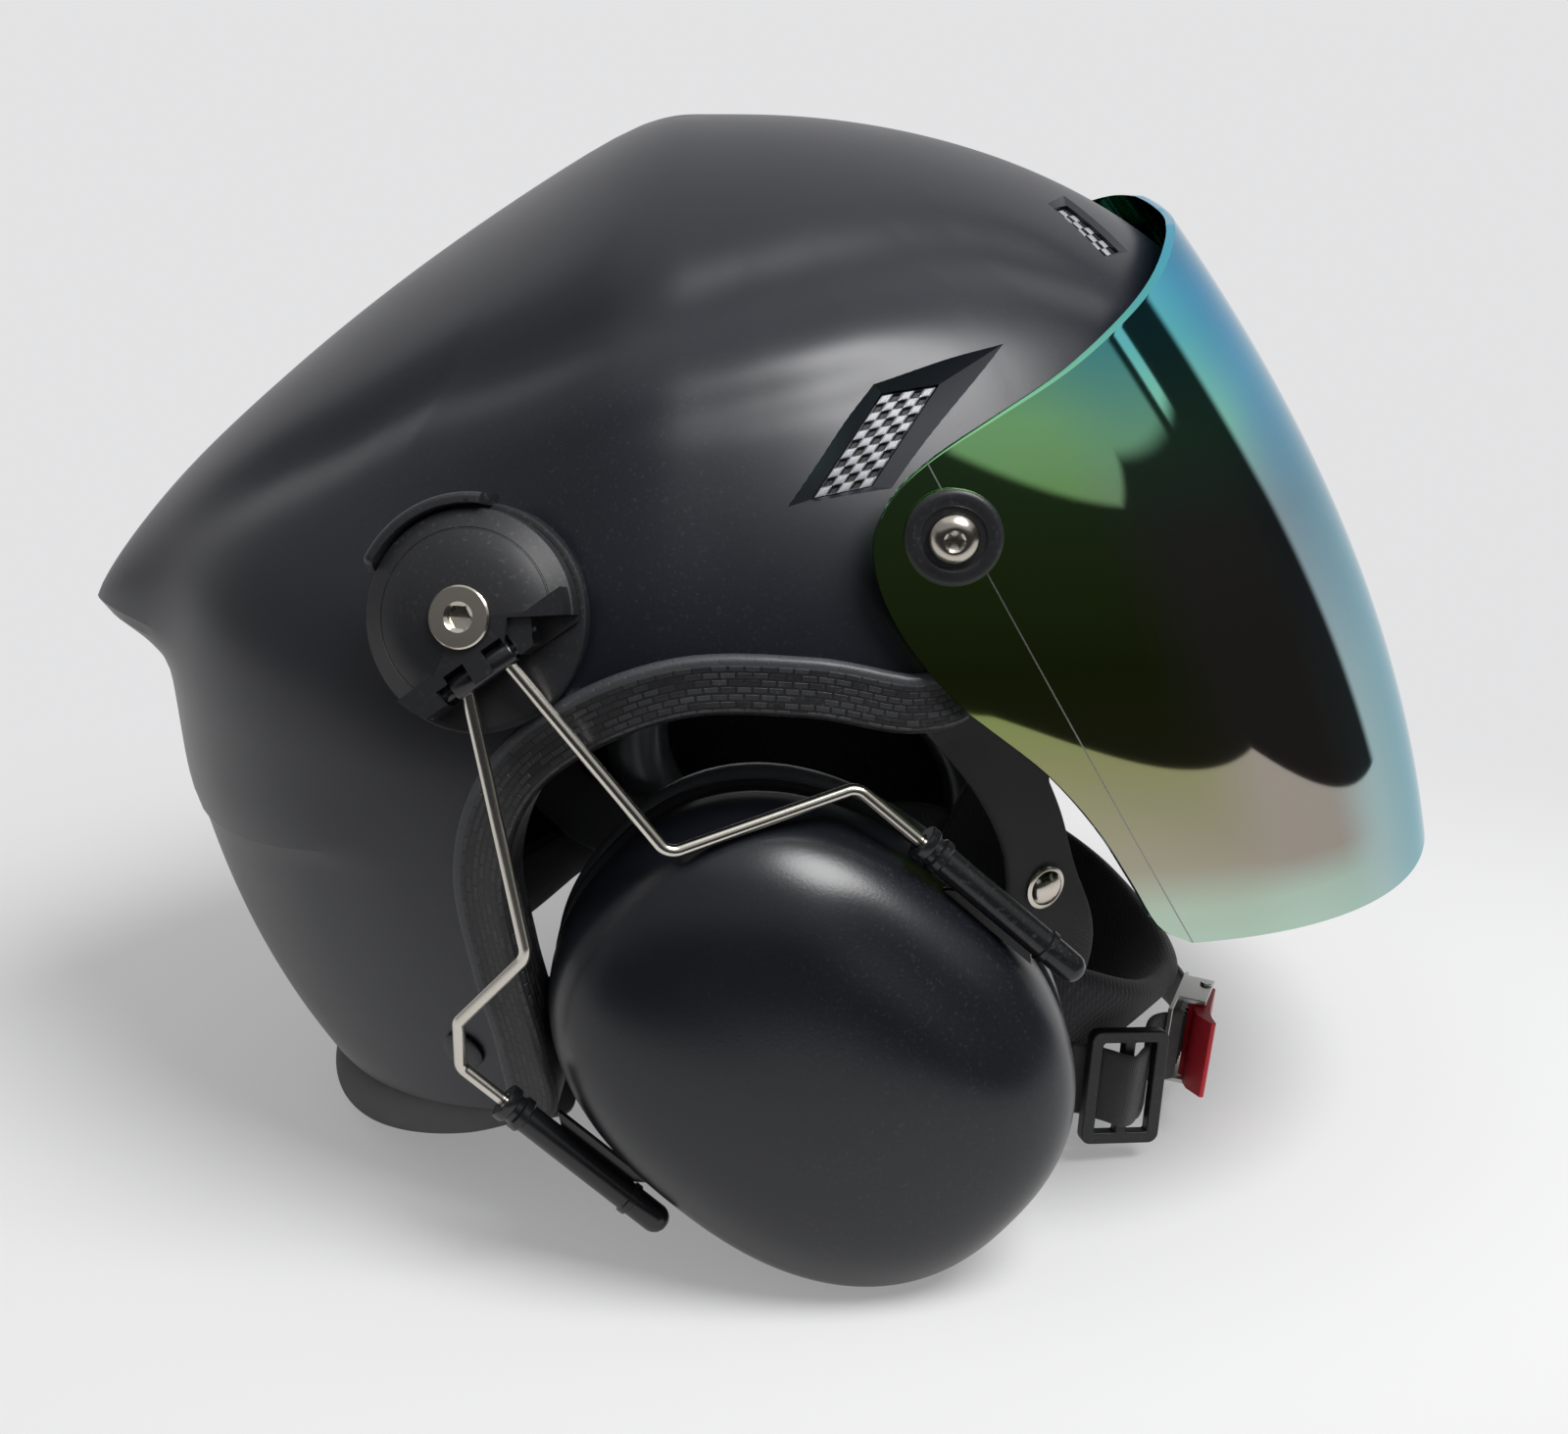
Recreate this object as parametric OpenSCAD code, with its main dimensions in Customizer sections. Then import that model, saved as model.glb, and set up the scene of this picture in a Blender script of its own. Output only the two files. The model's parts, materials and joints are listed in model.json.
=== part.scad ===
// Open-face flying helmet with a mirrored drop visor, hinged ear cups on wire arms and a chin strap.
// +X points to the wearer's front, +Y to the wearer's left and +Z up, with the helmet lying on its
// nape roll and its two ear cups.

/* [Shell] */
// Half width of the shell at the ear line
shell_half_w = 116; // [112:1:118]
// Reach of the shell from the ear line towards the brow
shell_front = 146; // [142:1:150]
// Reach of the shell from the ear line to the back of the head
shell_rear = 131.5; // [127:0.5:136]
// Rise of the shell's flanks above the ear line
flank_rise = 110; // [107:1:113]
// Drop of the shell's skirt below the ear line
skirt_drop = 163; // [158:1:168]
// Wall of the shell
shell_wall = 3; // [2:0.5:4]

/* [Crown hood and tail] */
// Rise of the crown above the ear line
crown_rise = 116.5; // [113:0.5:120]
// Inset of the raised crown hood from the shell's half width
hood_inset = 1; // [0:0.5:5]
// Reach of the tail behind the ear line
tail_reach = 150.5; // [146:0.5:155]
// Depth over which the underside of the tail tucks in
tail_tuck = 47; // [42:1:54]

/* [Liner] */
// Half width of the hollow inside the foam liner
liner_half_w = 86; // [82:1:90]
// Reach of the hollow forwards
liner_front = 104; // [98:1:110]
// Reach of the hollow backwards
liner_rear = 106; // [100:1:110]
// Rise of the hollow above the ear line
liner_rise = 87; // [82:1:92]
// Thickness of the comfort lining
lining_t = 6; // [4:0.5:8]

/* [Edge trim and nape roll] */
// Width of the ear trim on the shell's face
trim_w = 10.5; // [8:0.5:13]
// Thickness of the ear trim
trim_t = 2.4; // [2:0.2:3.2]
// Depth of the ear trim over the liner's edge
trim_depth = 8; // [5:1:10]
// Radius of the padded nape roll
roll_r = 8.5; // [7:0.5:10]

/* [Side and brow vents] */
// Width of a side vent
side_vent_w = 13; // [10:0.5:16]
// Slanted length of a side vent
side_vent_len = 28; // [22:0.5:32]
// Width of a brow vent
brow_vent_w = 9; // [7:0.5:12]
// Length of a brow vent
brow_vent_len = 18; // [14:0.5:22]
// Thickness of a vent insert
vent_insert_t = 1.6; // [1.2:0.1:2.4]

/* [Visor] */
// Thickness of the visor sheet
visor_t = 2; // [1.5:0.1:3]
// Distance of the visor's widest part outside the shell's half width
visor_clear = 2; // [1.5:0.1:3]
// Narrowing of each side of the visor from its pivots to its lower edge
visor_taper = 18; // [14:0.5:22]
// Height of the visor's lower edge
visor_low_z = 75.5; // [72:0.5:80]
// Height of the visor's upper edge at the front
visor_top_z = 220; // [217:0.5:224]
// Distance of the visor's upper edge in front of the shell
visor_brow_gap = 14; // [12:0.5:16]
// Radius of the visor's bulge from top to bottom
visor_bulge_r = 257; // [250:1:270]
// Radius of the visor's pivot washer
washer_r = 10; // [8:0.5:12]
// Radius of the visor screw's head
visor_head_r = 5.2; // [4:0.2:6]
// Radius of the visor screw's shank
visor_shank_r = 2.5; // [2:0.25:3]

/* [Ear cup mount] */
// Radius of the mount's base plate
mount_r = 23.8; // [22:0.2:26]
// Thickness of the mount's base plate
mount_base_t = 3; // [2:0.25:4]
// Height of the turning cap
cap_h = 8.5; // [7.5:0.25:9.5]
// Radius of the mount screw's flange
mount_flange_r = 6.5; // [5.5:0.25:7.5]
// Radius of the mount screw's shank
mount_shank_r = 3; // [2.5:0.25:3.5]
// Distance of the arm hinge from the mount's centre
hinge_off = 11; // [10:0.25:12]
// Radius of the arm's hinge bar
hinge_r = 2.6; // [2.3:0.1:3]
// Length of the arm's hinge bar
hinge_len = 15; // [13:0.5:18]

/* [Wire arms] */
// Diameter of the spring wire
wire_d = 2.8; // [2.4:0.1:3.2]
// Radius of the wire's bends, at its centre line
wire_bend_r = 4; // [3:0.5:5]
// Length of a guide sleeve on the ear cup
sleeve_len = 46; // [38:1:54]
// Outer radius of a guide sleeve
sleeve_r = 3.3; // [2.8:0.1:4]
// Depth of the wire inside its sleeve
wire_insert = 24; // [20:1:28]

/* [Ear cups] */
// Half length of an ear cup
cup_half_l = 60; // [56:1:62]
// Half width of an ear cup
cup_half_w = 47.5; // [44:0.5:48]
// Depth of an ear cup's shell
cup_depth = 42; // [36:1:46]
// Wall of an ear cup's shell
cup_wall = 2.5; // [2:0.25:3.5]
// Thickness of the cushion
cushion_t = 16; // [12:1:18]
// Width of the cushion's ring
cushion_ring = 17; // [14:1:20]
// Half distance between the two cushion faces
cushion_gap = 72; // [70:1:76]
// Tilt of the ear cup's long axis below the horizontal
cup_tilt = 41.5; // [38:0.5:45]
// Distance of an ear cup's centre in front of the ear line
cup_ahead = 26.4; // [24:0.2:29]

/* [Chin strap] */
// Width of the strap webbing
web_w = 20; // [18:0.5:22]
// Thickness of the strap webbing
web_t = 1.8; // [1.4:0.1:2.2]
// Width of the padded chin band
band_w = 42; // [36:1:46]
// Thickness of the padded chin band
band_t = 6; // [4:0.5:8]
// Radius of the strap snap
snap_r = 4.8; // [4:0.2:5.6]
// Length of the quick release buckle's channel
buckle_len = 26; // [24:1:30]
// Width of the buckle's channel
buckle_w = 23; // [21:0.5:25]

/* [Hidden] */

// Height of the ear line above the ground, and the shell's centre on it
ear_line_z = 125;
// Height of the datum above the ground that the cups and the nape roll stand on
stand_z = 3.5;
centre = [-20, 0, ear_line_z];
// Exponents of the shell's plan and sections: 2 is an ellipse, more is squarer, less more pointed
flank_plan = 2.15;
flank_plan_rear = 1.9;
flank_plan_high = 1.35;
flank_section = 2.15;
hood_plan = 2.25;
hood_plan_rear = 1.24;
hood_section = 1.9;
// Reach of the raised hood beyond the flanks at the brow
hood_lead = 3;
// Sharpness of the valley between hood and flanks
valley_sharp = 42;
// Height of the foremost point that the visor's bulge aims at
bulge_z = 27.7;
// Radial clearance of turning and sliding fits, and the gap between parts that lie side by side
run_gap = 0.05;
side_gap = 0.35;

function lerp(a, b, t) = a + (b - a) * t;
function clamp01(t) = min(1, max(0, t));
function ease(t) = let (c = clamp01(t)) c * c * (3 - 2 * c);
function unit(v) = v / norm(v);
function flip_y(p) = [p.x, -p.y, p.z];
function power(v, n) = sign(v) * pow(abs(v), n);
// Absolute value with a rounded bottom, so that the crown has no ridge over the ear line
crown_ease = 0.16;
function soft_abs(v) = abs(v) * abs(v) / (abs(v) + crown_ease * exp(-abs(v) / crown_ease));

// Point at share t along a list of values, on a Catmull-Rom curve
function along(list, t) =
    let (n = len(list) - 1, f = min(n - 0.000001, max(0, t * n)), i = floor(f), k = f - i,
         a = list[max(0, i - 1)], b = list[i], c = list[i + 1], d = list[min(n, i + 2)])
    0.5 * (2 * b + (c - a) * k + (2 * a - 5 * b + 4 * c - d) * k * k
           + (3 * b - a - 3 * c + d) * k * k * k);

// Distance from the centre to a rounded oval in direction d
function oval(d, front, rear, half_w, up, down, plan, section) =
    let (a = d.x > 0 ? front : rear, h = d.z > 0 ? up : down,
         m = pow(pow(abs(d.y) / half_w, section) + pow(abs(d.z) / h, section), 1 / section))
    pow(pow(soft_abs(d.x) / a, plan) + pow(m, plan), -1 / plan);

// Shell surface: rounded flanks and a raised hood that runs back into the pointed tail
function flank_r(d) =
    oval(d, shell_front, shell_rear, shell_half_w, flank_rise, skirt_drop,
         d.x > 0 ? flank_plan : lerp(flank_plan_rear, flank_plan_high, ease((d.z + 0.1) / 0.6)),
         flank_section);
function hood_r(d) =
    oval(d, shell_front + hood_lead, tail_reach, shell_half_w - hood_inset, crown_rise, tail_tuck,
         d.x > 0 ? hood_plan : hood_plan_rear, hood_section);
function shell_r(d) =
    pow(pow(flank_r(d), valley_sharp) + pow(hood_r(d), valley_sharp), 1 / valley_sharp);

// Half rim of the shell from the brow to the nape. Each point has its azimuth, its elevation and
// the azimuth at which its column starts at the crown.
rim = [
    [0, 35, 0], [14, 34.2, 14], [27, 31.6, 27], [39, 27, 39], [49, 20, 48], [56.5, 11, 55],
    [62, 3.6, 62], [68, 2, 69], [78, 4.1, 78], [90, 4.3, 90], [100, 0.3, 102],
    [107, -6, 114], [110.3, -15, 124], [109.6, -25, 133], [108.3, -35, 140],
    [109.6, -43, 146], [120.6, -45.2, 151], [134, -46.8, 157], [150, -47.7, 164],
    [165, -47.7, 172], [180, -47.4, 180]
];
// Share of the half rim at the front corner and at the foot of the ear opening
rim_ear_front = 6.2 / 20;
rim_ear_foot = 14.9 / 20;

function side_of(s) = s > 1 ? 1 : -1;
function half_s(s) = s > 1 ? 2 - s : abs(s);
function aim(azimuth, elevation, side) =
    [cos(elevation) * cos(azimuth), side * cos(elevation) * sin(azimuth), sin(elevation)];
// Direction at rim share s, 0 at the brow and 1 at the nape, and share v from crown to rim
function skin_dir(s, v) =
    let (r = along(rim, half_s(s)))
    aim(lerp(r[2], r[0], v * v * v), lerp(90, r[1], v), side_of(s));
function on_shell(d, off = 0) = centre + d * (shell_r(d) + off);

// Point near the right half of the rim: share s, distance in from the edge, height off the face
function edge_dir(s, in) =
    let (e = 0.004, d = skin_dir(s, 1),
         t = unit(skin_dir(min(1, s + e), 1) - skin_dir(max(0, s - e), 1)))
    unit(d + unit(cross(t, d)) * (in / shell_r(d)));
function edge_pt(s, in, off) =
    s < 0 ? flip_y(edge_pt(-s, in, off)) : s > 1 ? flip_y(edge_pt(2 - s, in, off))
    : on_shell(edge_dir(s, in), off);

// Surface frame: a point of the shell with its outward normal, forward and up directions
function shell_normal(azimuth, elevation) =
    let (e = 0.2, a = on_shell(aim(azimuth, elevation, -1)),
         b = on_shell(aim(azimuth - e, elevation, -1)), c = on_shell(aim(azimuth, elevation + e, -1)))
    unit(cross(b - a, c - a));
function frame_of(p, z, up = [0, 0, 1]) =
    let (y = unit(up - z * (up * z)), x = cross(y, z))
    [[x.x, y.x, z.x, p.x], [x.y, y.y, z.y, p.y], [x.z, y.z, z.z, p.z], [0, 0, 0, 1]];
function point_in(m, p) = let (q = m * [p.x, p.y, p.z, 1]) [q.x, q.y, q.z];

// Distance from point p along n to the shell's face plus off
function to_shell(p, n, off, t = 0, k = 7) =
    k == 0 ? t
    : let (q = p + n * t - centre, d = unit(q))
      to_shell(p, n, off, t - (norm(q) - shell_r(d) - off) / (d * n), k - 1);

// Furthest points of the shell's tail, the visor, the cups and the roll set the model's origin
tail_x = min([for (t = [-12:2:20]) on_shell(aim(180, t, -1)).x]);
start_x = centre.x + shell_front * 0.6;
visor_top_x = start_x + to_shell([start_x, 0, visor_top_z], [1, 0, 0], 0) + visor_brow_gap;
visor_x = visor_top_x + (pow(visor_top_z - bulge_z, 2) - pow(visor_low_z - bulge_z, 2)) / (2 * visor_bulge_r);
stand_x = -(tail_x + visor_x) / 2;
module placed(side = -1)
    translate([stand_x, 0, stand_z]) if (side > 0) mirror([0, 1, 0]) children(); else children();

// Solid from a first pole, rings of equal length and a last pole
module ring_solid(first, rings, last) {
    n = len(rings[0]);
    m = len(rings);
    points = concat([first], [for (r = rings) each r], [last]);
    faces = concat(
        [for (j = [0:n - 1]) [0, 1 + (j + 1) % n, 1 + j]],
        [for (i = [0:m - 2], j = [0:n - 1], k = [0, 1])
            let (a = 1 + i * n + j, b = 1 + i * n + (j + 1) % n)
            k == 0 ? [a, b, b + n] : [a, b + n, a + n]],
        [for (j = [0:n - 1]) [m * n + 1, 1 + (m - 1) * n + j, 1 + (m - 1) * n + (j + 1) % n]]);
    polyhedron(points, faces, convexity = 8);
}

// Tube through rings, closed by a fan from the first point of its end rings
module ring_tube(rings) {
    n = len(rings[0]);
    m = len(rings);
    faces = concat(
        [for (j = [1:n - 2]) [0, j + 1, j]],
        [for (i = [0:m - 2], j = [0:n - 1], k = [0, 1])
            let (a = i * n + j, b = i * n + (j + 1) % n)
            k == 0 ? [a, b, b + n] : [a, b + n, a + n]],
        [for (j = [1:n - 2]) [(m - 1) * n, (m - 1) * n + j, (m - 1) * n + j + 1]]);
    polyhedron([for (r = rings) each r], faces, convexity = 8);
}

// Loop of rings, each joined to the next and the last to the first
module ring_loop(rings) {
    n = len(rings[0]);
    m = len(rings);
    faces = [for (i = [0:m - 1], j = [0:n - 1], k = [0, 1])
        let (i2 = (i + 1) % m, j2 = (j + 1) % n)
        k == 0 ? [i * n + j, i * n + j2, i2 * n + j2] : [i * n + j, i2 * n + j2, i2 * n + j]];
    polyhedron([for (r = rings) each r], faces, convexity = 8);
}

// Sheet between two grids of points, closed round its edges
module sheet_solid(outer, inner) {
    m = len(outer);
    n = len(outer[0]);
    edge = concat([for (j = [0:n - 2]) j], [for (i = [0:m - 2]) i * n + n - 1],
                  [for (j = [n - 1:-1:1]) (m - 1) * n + j], [for (i = [m - 1:-1:1]) i * n]);
    faces = concat(
        [for (i = [0:m - 2], j = [0:n - 2], k = [0, 1])
            let (a = i * n + j) k == 0 ? [a, a + n + 1, a + 1] : [a, a + n, a + n + 1]],
        [for (i = [0:m - 2], j = [0:n - 2], k = [0, 1])
            let (a = m * n + i * n + j) k == 0 ? [a, a + 1, a + n + 1] : [a, a + n + 1, a + n]],
        [for (e = [0:len(edge) - 1], k = [0, 1])
            let (a = edge[e], b = edge[(e + 1) % len(edge)])
            k == 0 ? [a, b, a + m * n] : [b, b + m * n, a + m * n]]);
    polyhedron(concat([for (r = outer) each r], [for (r = inner) each r]), faces, convexity = 8);
}

// Round wire along a list of points, with arcs of the given radii at its bends
wire_sides = 12;
arc_steps = 4;
module bent_rod(p, r, bends) {
    n = len(p);
    way = [for (i = [0:n - 2]) unit(p[i + 1] - p[i])];
    // Stations: each has its place, its direction of travel and the share of its bend that is done
    stations = concat([[p[0], way[0]]],
        [for (i = [1:n - 2], k = [0:arc_steps])
            let (turn = acos(way[i - 1] * way[i]), cut = bends[i] * tan(turn / 2),
                 inward = unit(way[i] - way[i - 1] * (way[i] * way[i - 1])), a = turn * k / arc_steps)
            [p[i] - way[i - 1] * cut + (way[i - 1] * sin(a) + inward * (1 - cos(a))) * bends[i],
             way[i - 1] * cos(a) + inward * sin(a)]],
        [[p[n - 1], way[n - 2]]]);
    ring_tube(carried_rings(stations, r, 0, unit(cross(way[0], [0.3, 0.9, 0.2]))));
}
// Rings of a tube whose cross direction is carried along without twist
function carried_rings(stations, r, i, side) =
    i == len(stations) ? []
    : let (t = stations[i][1], b = unit(side - t * (side * t)), c = cross(t, b))
      concat([[for (k = [0:wire_sides - 1])
                 stations[i][0] + (b * cos(360 * k / wire_sides) - c * sin(360 * k / wire_sides)) * r]],
             carried_rings(stations, r, i + 1, b));

// Flat band with rounded edges along points that each have a width direction
function band_rings(p, wide, w, t, steps) =
    [for (i = [0:steps])
        let (k = i / steps, e = 0.01, c = along(p, k),
             a = unit(along(p, min(1, k + e)) - along(p, max(0, k - e))),
             b0 = along(wide, k), b = unit(b0 - a * (a * b0)), n = cross(a, b))
        [for (q = [[-1, 0.5], [-0.9, 1], [0.9, 1], [1, 0.5], [1, -0.5], [0.9, -1], [-0.9, -1], [-1, -0.5]])
            c + b * (q.x * w / 2) + n * (q.y * t / 2)]];

// Shell
// Rim shares of the shell's columns: few over the brow and the nape, more round the ear openings
brow_columns = 5;
ear_columns = 20;
nape_columns = 6;
half_columns = concat(
    [for (i = [0:brow_columns - 1]) rim_ear_front * i / brow_columns],
    [for (i = [0:ear_columns - 1]) lerp(rim_ear_front, rim_ear_foot, i / ear_columns)],
    [for (i = [0:nape_columns]) lerp(rim_ear_foot, 1, i / nape_columns)]);
last_column = len(half_columns) - 1;
columns = concat([for (k = [0:last_column]) 2 - half_columns[k]],
                 [for (k = [last_column - 1:-1:1]) half_columns[k]]);
// Rows of the shell from the crown to the rim, closer together at the tail's edge
shell_rows = [0.08, 0.16, 0.24, 0.32, 0.4, 0.48, 0.55, 0.6, 0.635, 0.655, 0.69, 0.75, 0.82, 0.89, 0.95, 1];
function skin_ring(v, off) = [for (s = columns) on_shell(skin_dir(s, v), off)];
module shell_skin() {
    ring_solid(on_shell([0, 0, 1]),
        concat([for (v = shell_rows) skin_ring(v, 0)],
               [for (i = [len(shell_rows) - 1:-1:0]) skin_ring(shell_rows[i], -shell_wall)]),
        on_shell([0, 0, 1], -shell_wall));
}
side_vent_aim = [68, 30];
brow_vent_aim = [17, 45.5];
// Slant of the side vents and lean of the brow vents against the wearer's front
side_vent_slant = 52;
side_vent_lean = 8;
brow_vent_lean = 12;
function vent_frame(a) = frame_of(on_shell(aim(a[0], a[1], -1)), shell_normal(a[0], a[1]));
// Slanted outline with level ends, grown by g
module vent_outline(w, length, slant, g) {
    dy = length * sin(slant) / 2 + g;
    dx = dy / tan(slant);
    half = w / 2 + g / sin(slant);
    polygon([[-dx - half, -dy], [half - dx, -dy], [dx + half, dy], [dx - half, dy]]);
}
module side_vent_area(g)
    rotate([0, 0, side_vent_lean])
        vent_outline(side_vent_w, side_vent_len, side_vent_slant - side_vent_lean, g);
module brow_vent_area(g)
    vent_outline(brow_vent_w, brow_vent_len, 90 - brow_vent_lean, g);
module shell()
    color([0.13, 0.13, 0.14]) placed() difference() {
        shell_skin();
        for (side = [0, 1]) mirror([0, side, 0]) {
            multmatrix(vent_frame(side_vent_aim))
                translate([0, 0, -9]) linear_extrude(15) side_vent_area(0);
            multmatrix(vent_frame(brow_vent_aim))
                translate([0, 0, -9]) linear_extrude(15) brow_vent_area(0);
            multmatrix(mount_frame)
                translate([0, 0, -9]) cylinder(r = mount_shank_r + run_gap, h = 15, $fn = 32);
            translate([pivot_pt.x, -80, pivot_pt.z]) rotate([90, 0, 0])
                cylinder(r = visor_shank_r + run_gap, h = 50, $fn = 32);
        }
    }

// Foam liner, comfort lining and edge trims
function liner_in(d) =
    oval(d, liner_front, liner_rear, liner_half_w, liner_rise, skirt_drop, 2.1, 2.2);
function liner_out(d) =
    min(shell_r(d) - shell_wall - liner_fit,
        oval(d, shell_front, shell_rear - shell_wall, shell_half_w, flank_rise, skirt_drop, 2.1, 2.1));
// Rows of the liner, and how far its edge stands back from the rim at the ears and at the nape
liner_rows = [0.14, 0.28, 0.42, 0.54, 0.655, 0.76, 0.88, 1];
liner_fit = 1.4;
lining_fit = 1.5;
function ear_zone(h) = ease((h - rim_ear_front + 0.04) / 0.04) * ease((rim_ear_foot + 0.04 - h) / 0.04);
function nape_zone(h) = ease((h - rim_ear_foot + 0.03) / 0.06);
function liner_reach(h, inner) =
    1 - max(ear_zone(h) * (inner ? 0.16 : 0.025), nape_zone(h) * (inner ? 0.09 : 0.075));
function liner_ring(v, inner, off, step = 1) =
    [for (k = [0:step:len(columns) - 1])
        let (s = columns[k], d = skin_dir(s, v * liner_reach(half_s(s), inner)))
        centre + d * ((inner ? min(liner_in(d), liner_out(d) - 8) : liner_out(d)) + off)];
module liner() {
    up = [0, 0, 1];
    n = len(liner_rows);
    color([0.16, 0.16, 0.17]) placed()
        ring_solid(centre + up * liner_out(up),
            concat([for (v = liner_rows) liner_ring(v, false, 0)],
                   [for (i = [n - 1:-1:0]) liner_ring(liner_rows[i], true, 0)]),
            centre + up * liner_in(up));
}
module comfort_lining() {
    up = [0, 0, 1];
    n = len(liner_rows) - 1;
    color([0.1, 0.1, 0.11]) placed()
        ring_solid(centre + up * (liner_in(up) - lining_fit),
            concat([for (i = [0:n - 1]) liner_ring(liner_rows[i], true, -lining_fit, 2)],
                   [for (i = [n - 1:-1:0]) liner_ring(liner_rows[i], true, -lining_t, 2)]),
            centre + up * (liner_in(up) - lining_t));
}

// Rubber edge of an ear opening: how far in from the rim and how high off the face each point lies
trim_fit = 0.7;
ear_trim_profile = [
    [-trim_fit, trim_fit], [-trim_fit, -trim_depth], [-trim_fit - 1.1, -trim_depth],
    [-trim_fit - 1.3, -trim_depth / 2], [-trim_fit - 1.3, 0], [-trim_t * 0.6, trim_t * 0.8],
    [-0.5, trim_t + 0.4], [trim_w - 1.2, trim_t], [trim_w, trim_t * 0.6], [trim_w, trim_fit]
];
module ear_trim(side)
    color([0.09, 0.09, 0.1]) placed(side)
        ring_tube([for (k = [brow_columns + ear_columns:-1:brow_columns])
            [for (q = ear_trim_profile) edge_pt(half_columns[k], q.x, q.y)]]);
module ear_trim_r() ear_trim(-1);
module ear_trim_l() ear_trim(1);

// Thin edging of the face opening, which stops short of the ear trims
brow_trim_t = 1.8;
brow_trim_profile = [
    [-trim_fit, trim_fit], [-trim_fit, -shell_wall], [-brow_trim_t, -shell_wall],
    [-brow_trim_t, brow_trim_t * 0.7], [-0.5, brow_trim_t], [3, brow_trim_t], [3, trim_fit]
];
module brow_trim() {
    ends = rim_ear_front - 0.008;
    half = [for (k = [1:brow_columns - 1]) half_columns[k]];
    color([0.06, 0.06, 0.07]) placed()
        ring_tube([for (s = concat([ends], [for (k = [brow_columns - 2:-1:0]) half[k]], [0], -half, [-ends]))
            [for (q = brow_trim_profile) edge_pt(s, q.x, q.y)]]);
}

// Padded roll under the shell's lower edge, from one ear opening round the nape to the other
roll_steps = 30;
roll_in = shell_wall + 2 + roll_r;
// Drop of the roll below the rim at the ears, and the deeper drop at the nape that meets the ground
roll_drop = 8.5;
roll_dip = edge_pt(1, 0, -roll_in).z - roll_r + stand_z;
function roll_centre(s) =
    edge_pt(s, 0, -roll_in) - [0, 0, lerp(roll_drop, roll_dip, ease(1 - abs(1 - s) * 4.2))];
module nape_roll() {
    color([0.1, 0.1, 0.11]) placed()
        ring_tube([for (i = [0:roll_steps])
            let (s = lerp(rim_ear_foot + 0.012, 2 - rim_ear_foot - 0.012, i / roll_steps), e = 0.01,
                 c = roll_centre(s), a = unit(roll_centre(s + e) - roll_centre(s - e)),
                 b = unit(cross(a, [0, 0, 1])), n = cross(b, a),
                 r = roll_r * (0.72 + 0.28 * ease(6 * min(i, roll_steps - i) / roll_steps)))
            [for (q = [0:40:320]) c + b * (r * cos(q)) + n * (r * sin(q))]]);
}

module side_vent_insert(side)
    color([0.62, 0.63, 0.65]) placed(side) multmatrix(vent_frame(side_vent_aim))
        translate([0, 0, -1.4 - vent_insert_t]) linear_extrude(vent_insert_t) side_vent_area(-side_gap);
module side_vent_insert_r() side_vent_insert(-1);
module side_vent_insert_l() side_vent_insert(1);
module brow_vent_inserts()
    for (side = [-1, 1]) color([0.62, 0.63, 0.65]) placed(side) multmatrix(vent_frame(brow_vent_aim))
        translate([0, 0, -1.4 - vent_insert_t]) linear_extrude(vent_insert_t) brow_vent_area(-side_gap);

// Round caps over the strap rivets, one at the foot of each ear opening
rivet_aim = [119.2, -37];
rivet_r = 5;
rivet_h = 1.8;
module shell_rivets()
    for (side = [-1, 1]) color([0.1, 0.1, 0.11]) placed(side)
        multmatrix(frame_of(on_shell(aim(rivet_aim[0], rivet_aim[1], -1)),
                            shell_normal(rivet_aim[0], rivet_aim[1])))
            translate([0, 0, side_gap]) rotate_extrude($fn = 48)
                polygon([[0, 0], [rivet_r, 0], [rivet_r, 0.5], [rivet_r * 0.8, rivet_h * 0.8], [0, rivet_h]]);

// Ear cup mount. Its frame has z out of the shell, x forwards and y up.
mount_aim = [112, 12];
// The mount faces more to the side than the shell under it, so its base is a wedge
mount_side = [-0.05, -0.98, 0.18];
mount_turn_in = 0.55;
mount_n = unit(lerp(shell_normal(mount_aim[0], mount_aim[1]), mount_side, mount_turn_in));
mount_foot = on_shell(aim(mount_aim[0], mount_aim[1], -1));
mount_raw = frame_of(mount_foot, mount_n);
mount_lift = max([for (a = [0:15:345])
    to_shell(point_in(mount_raw, [mount_r * cos(a), mount_r * sin(a), 0]), mount_n, 0)]);
mount_frame = frame_of(mount_foot + mount_n * mount_lift, mount_n);
mount_seat = 0.3;
base_top = mount_seat + mount_base_t;
cap_low = base_top + side_gap;
cap_top = cap_low + cap_h;
cap_r = mount_r - 1;
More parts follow.
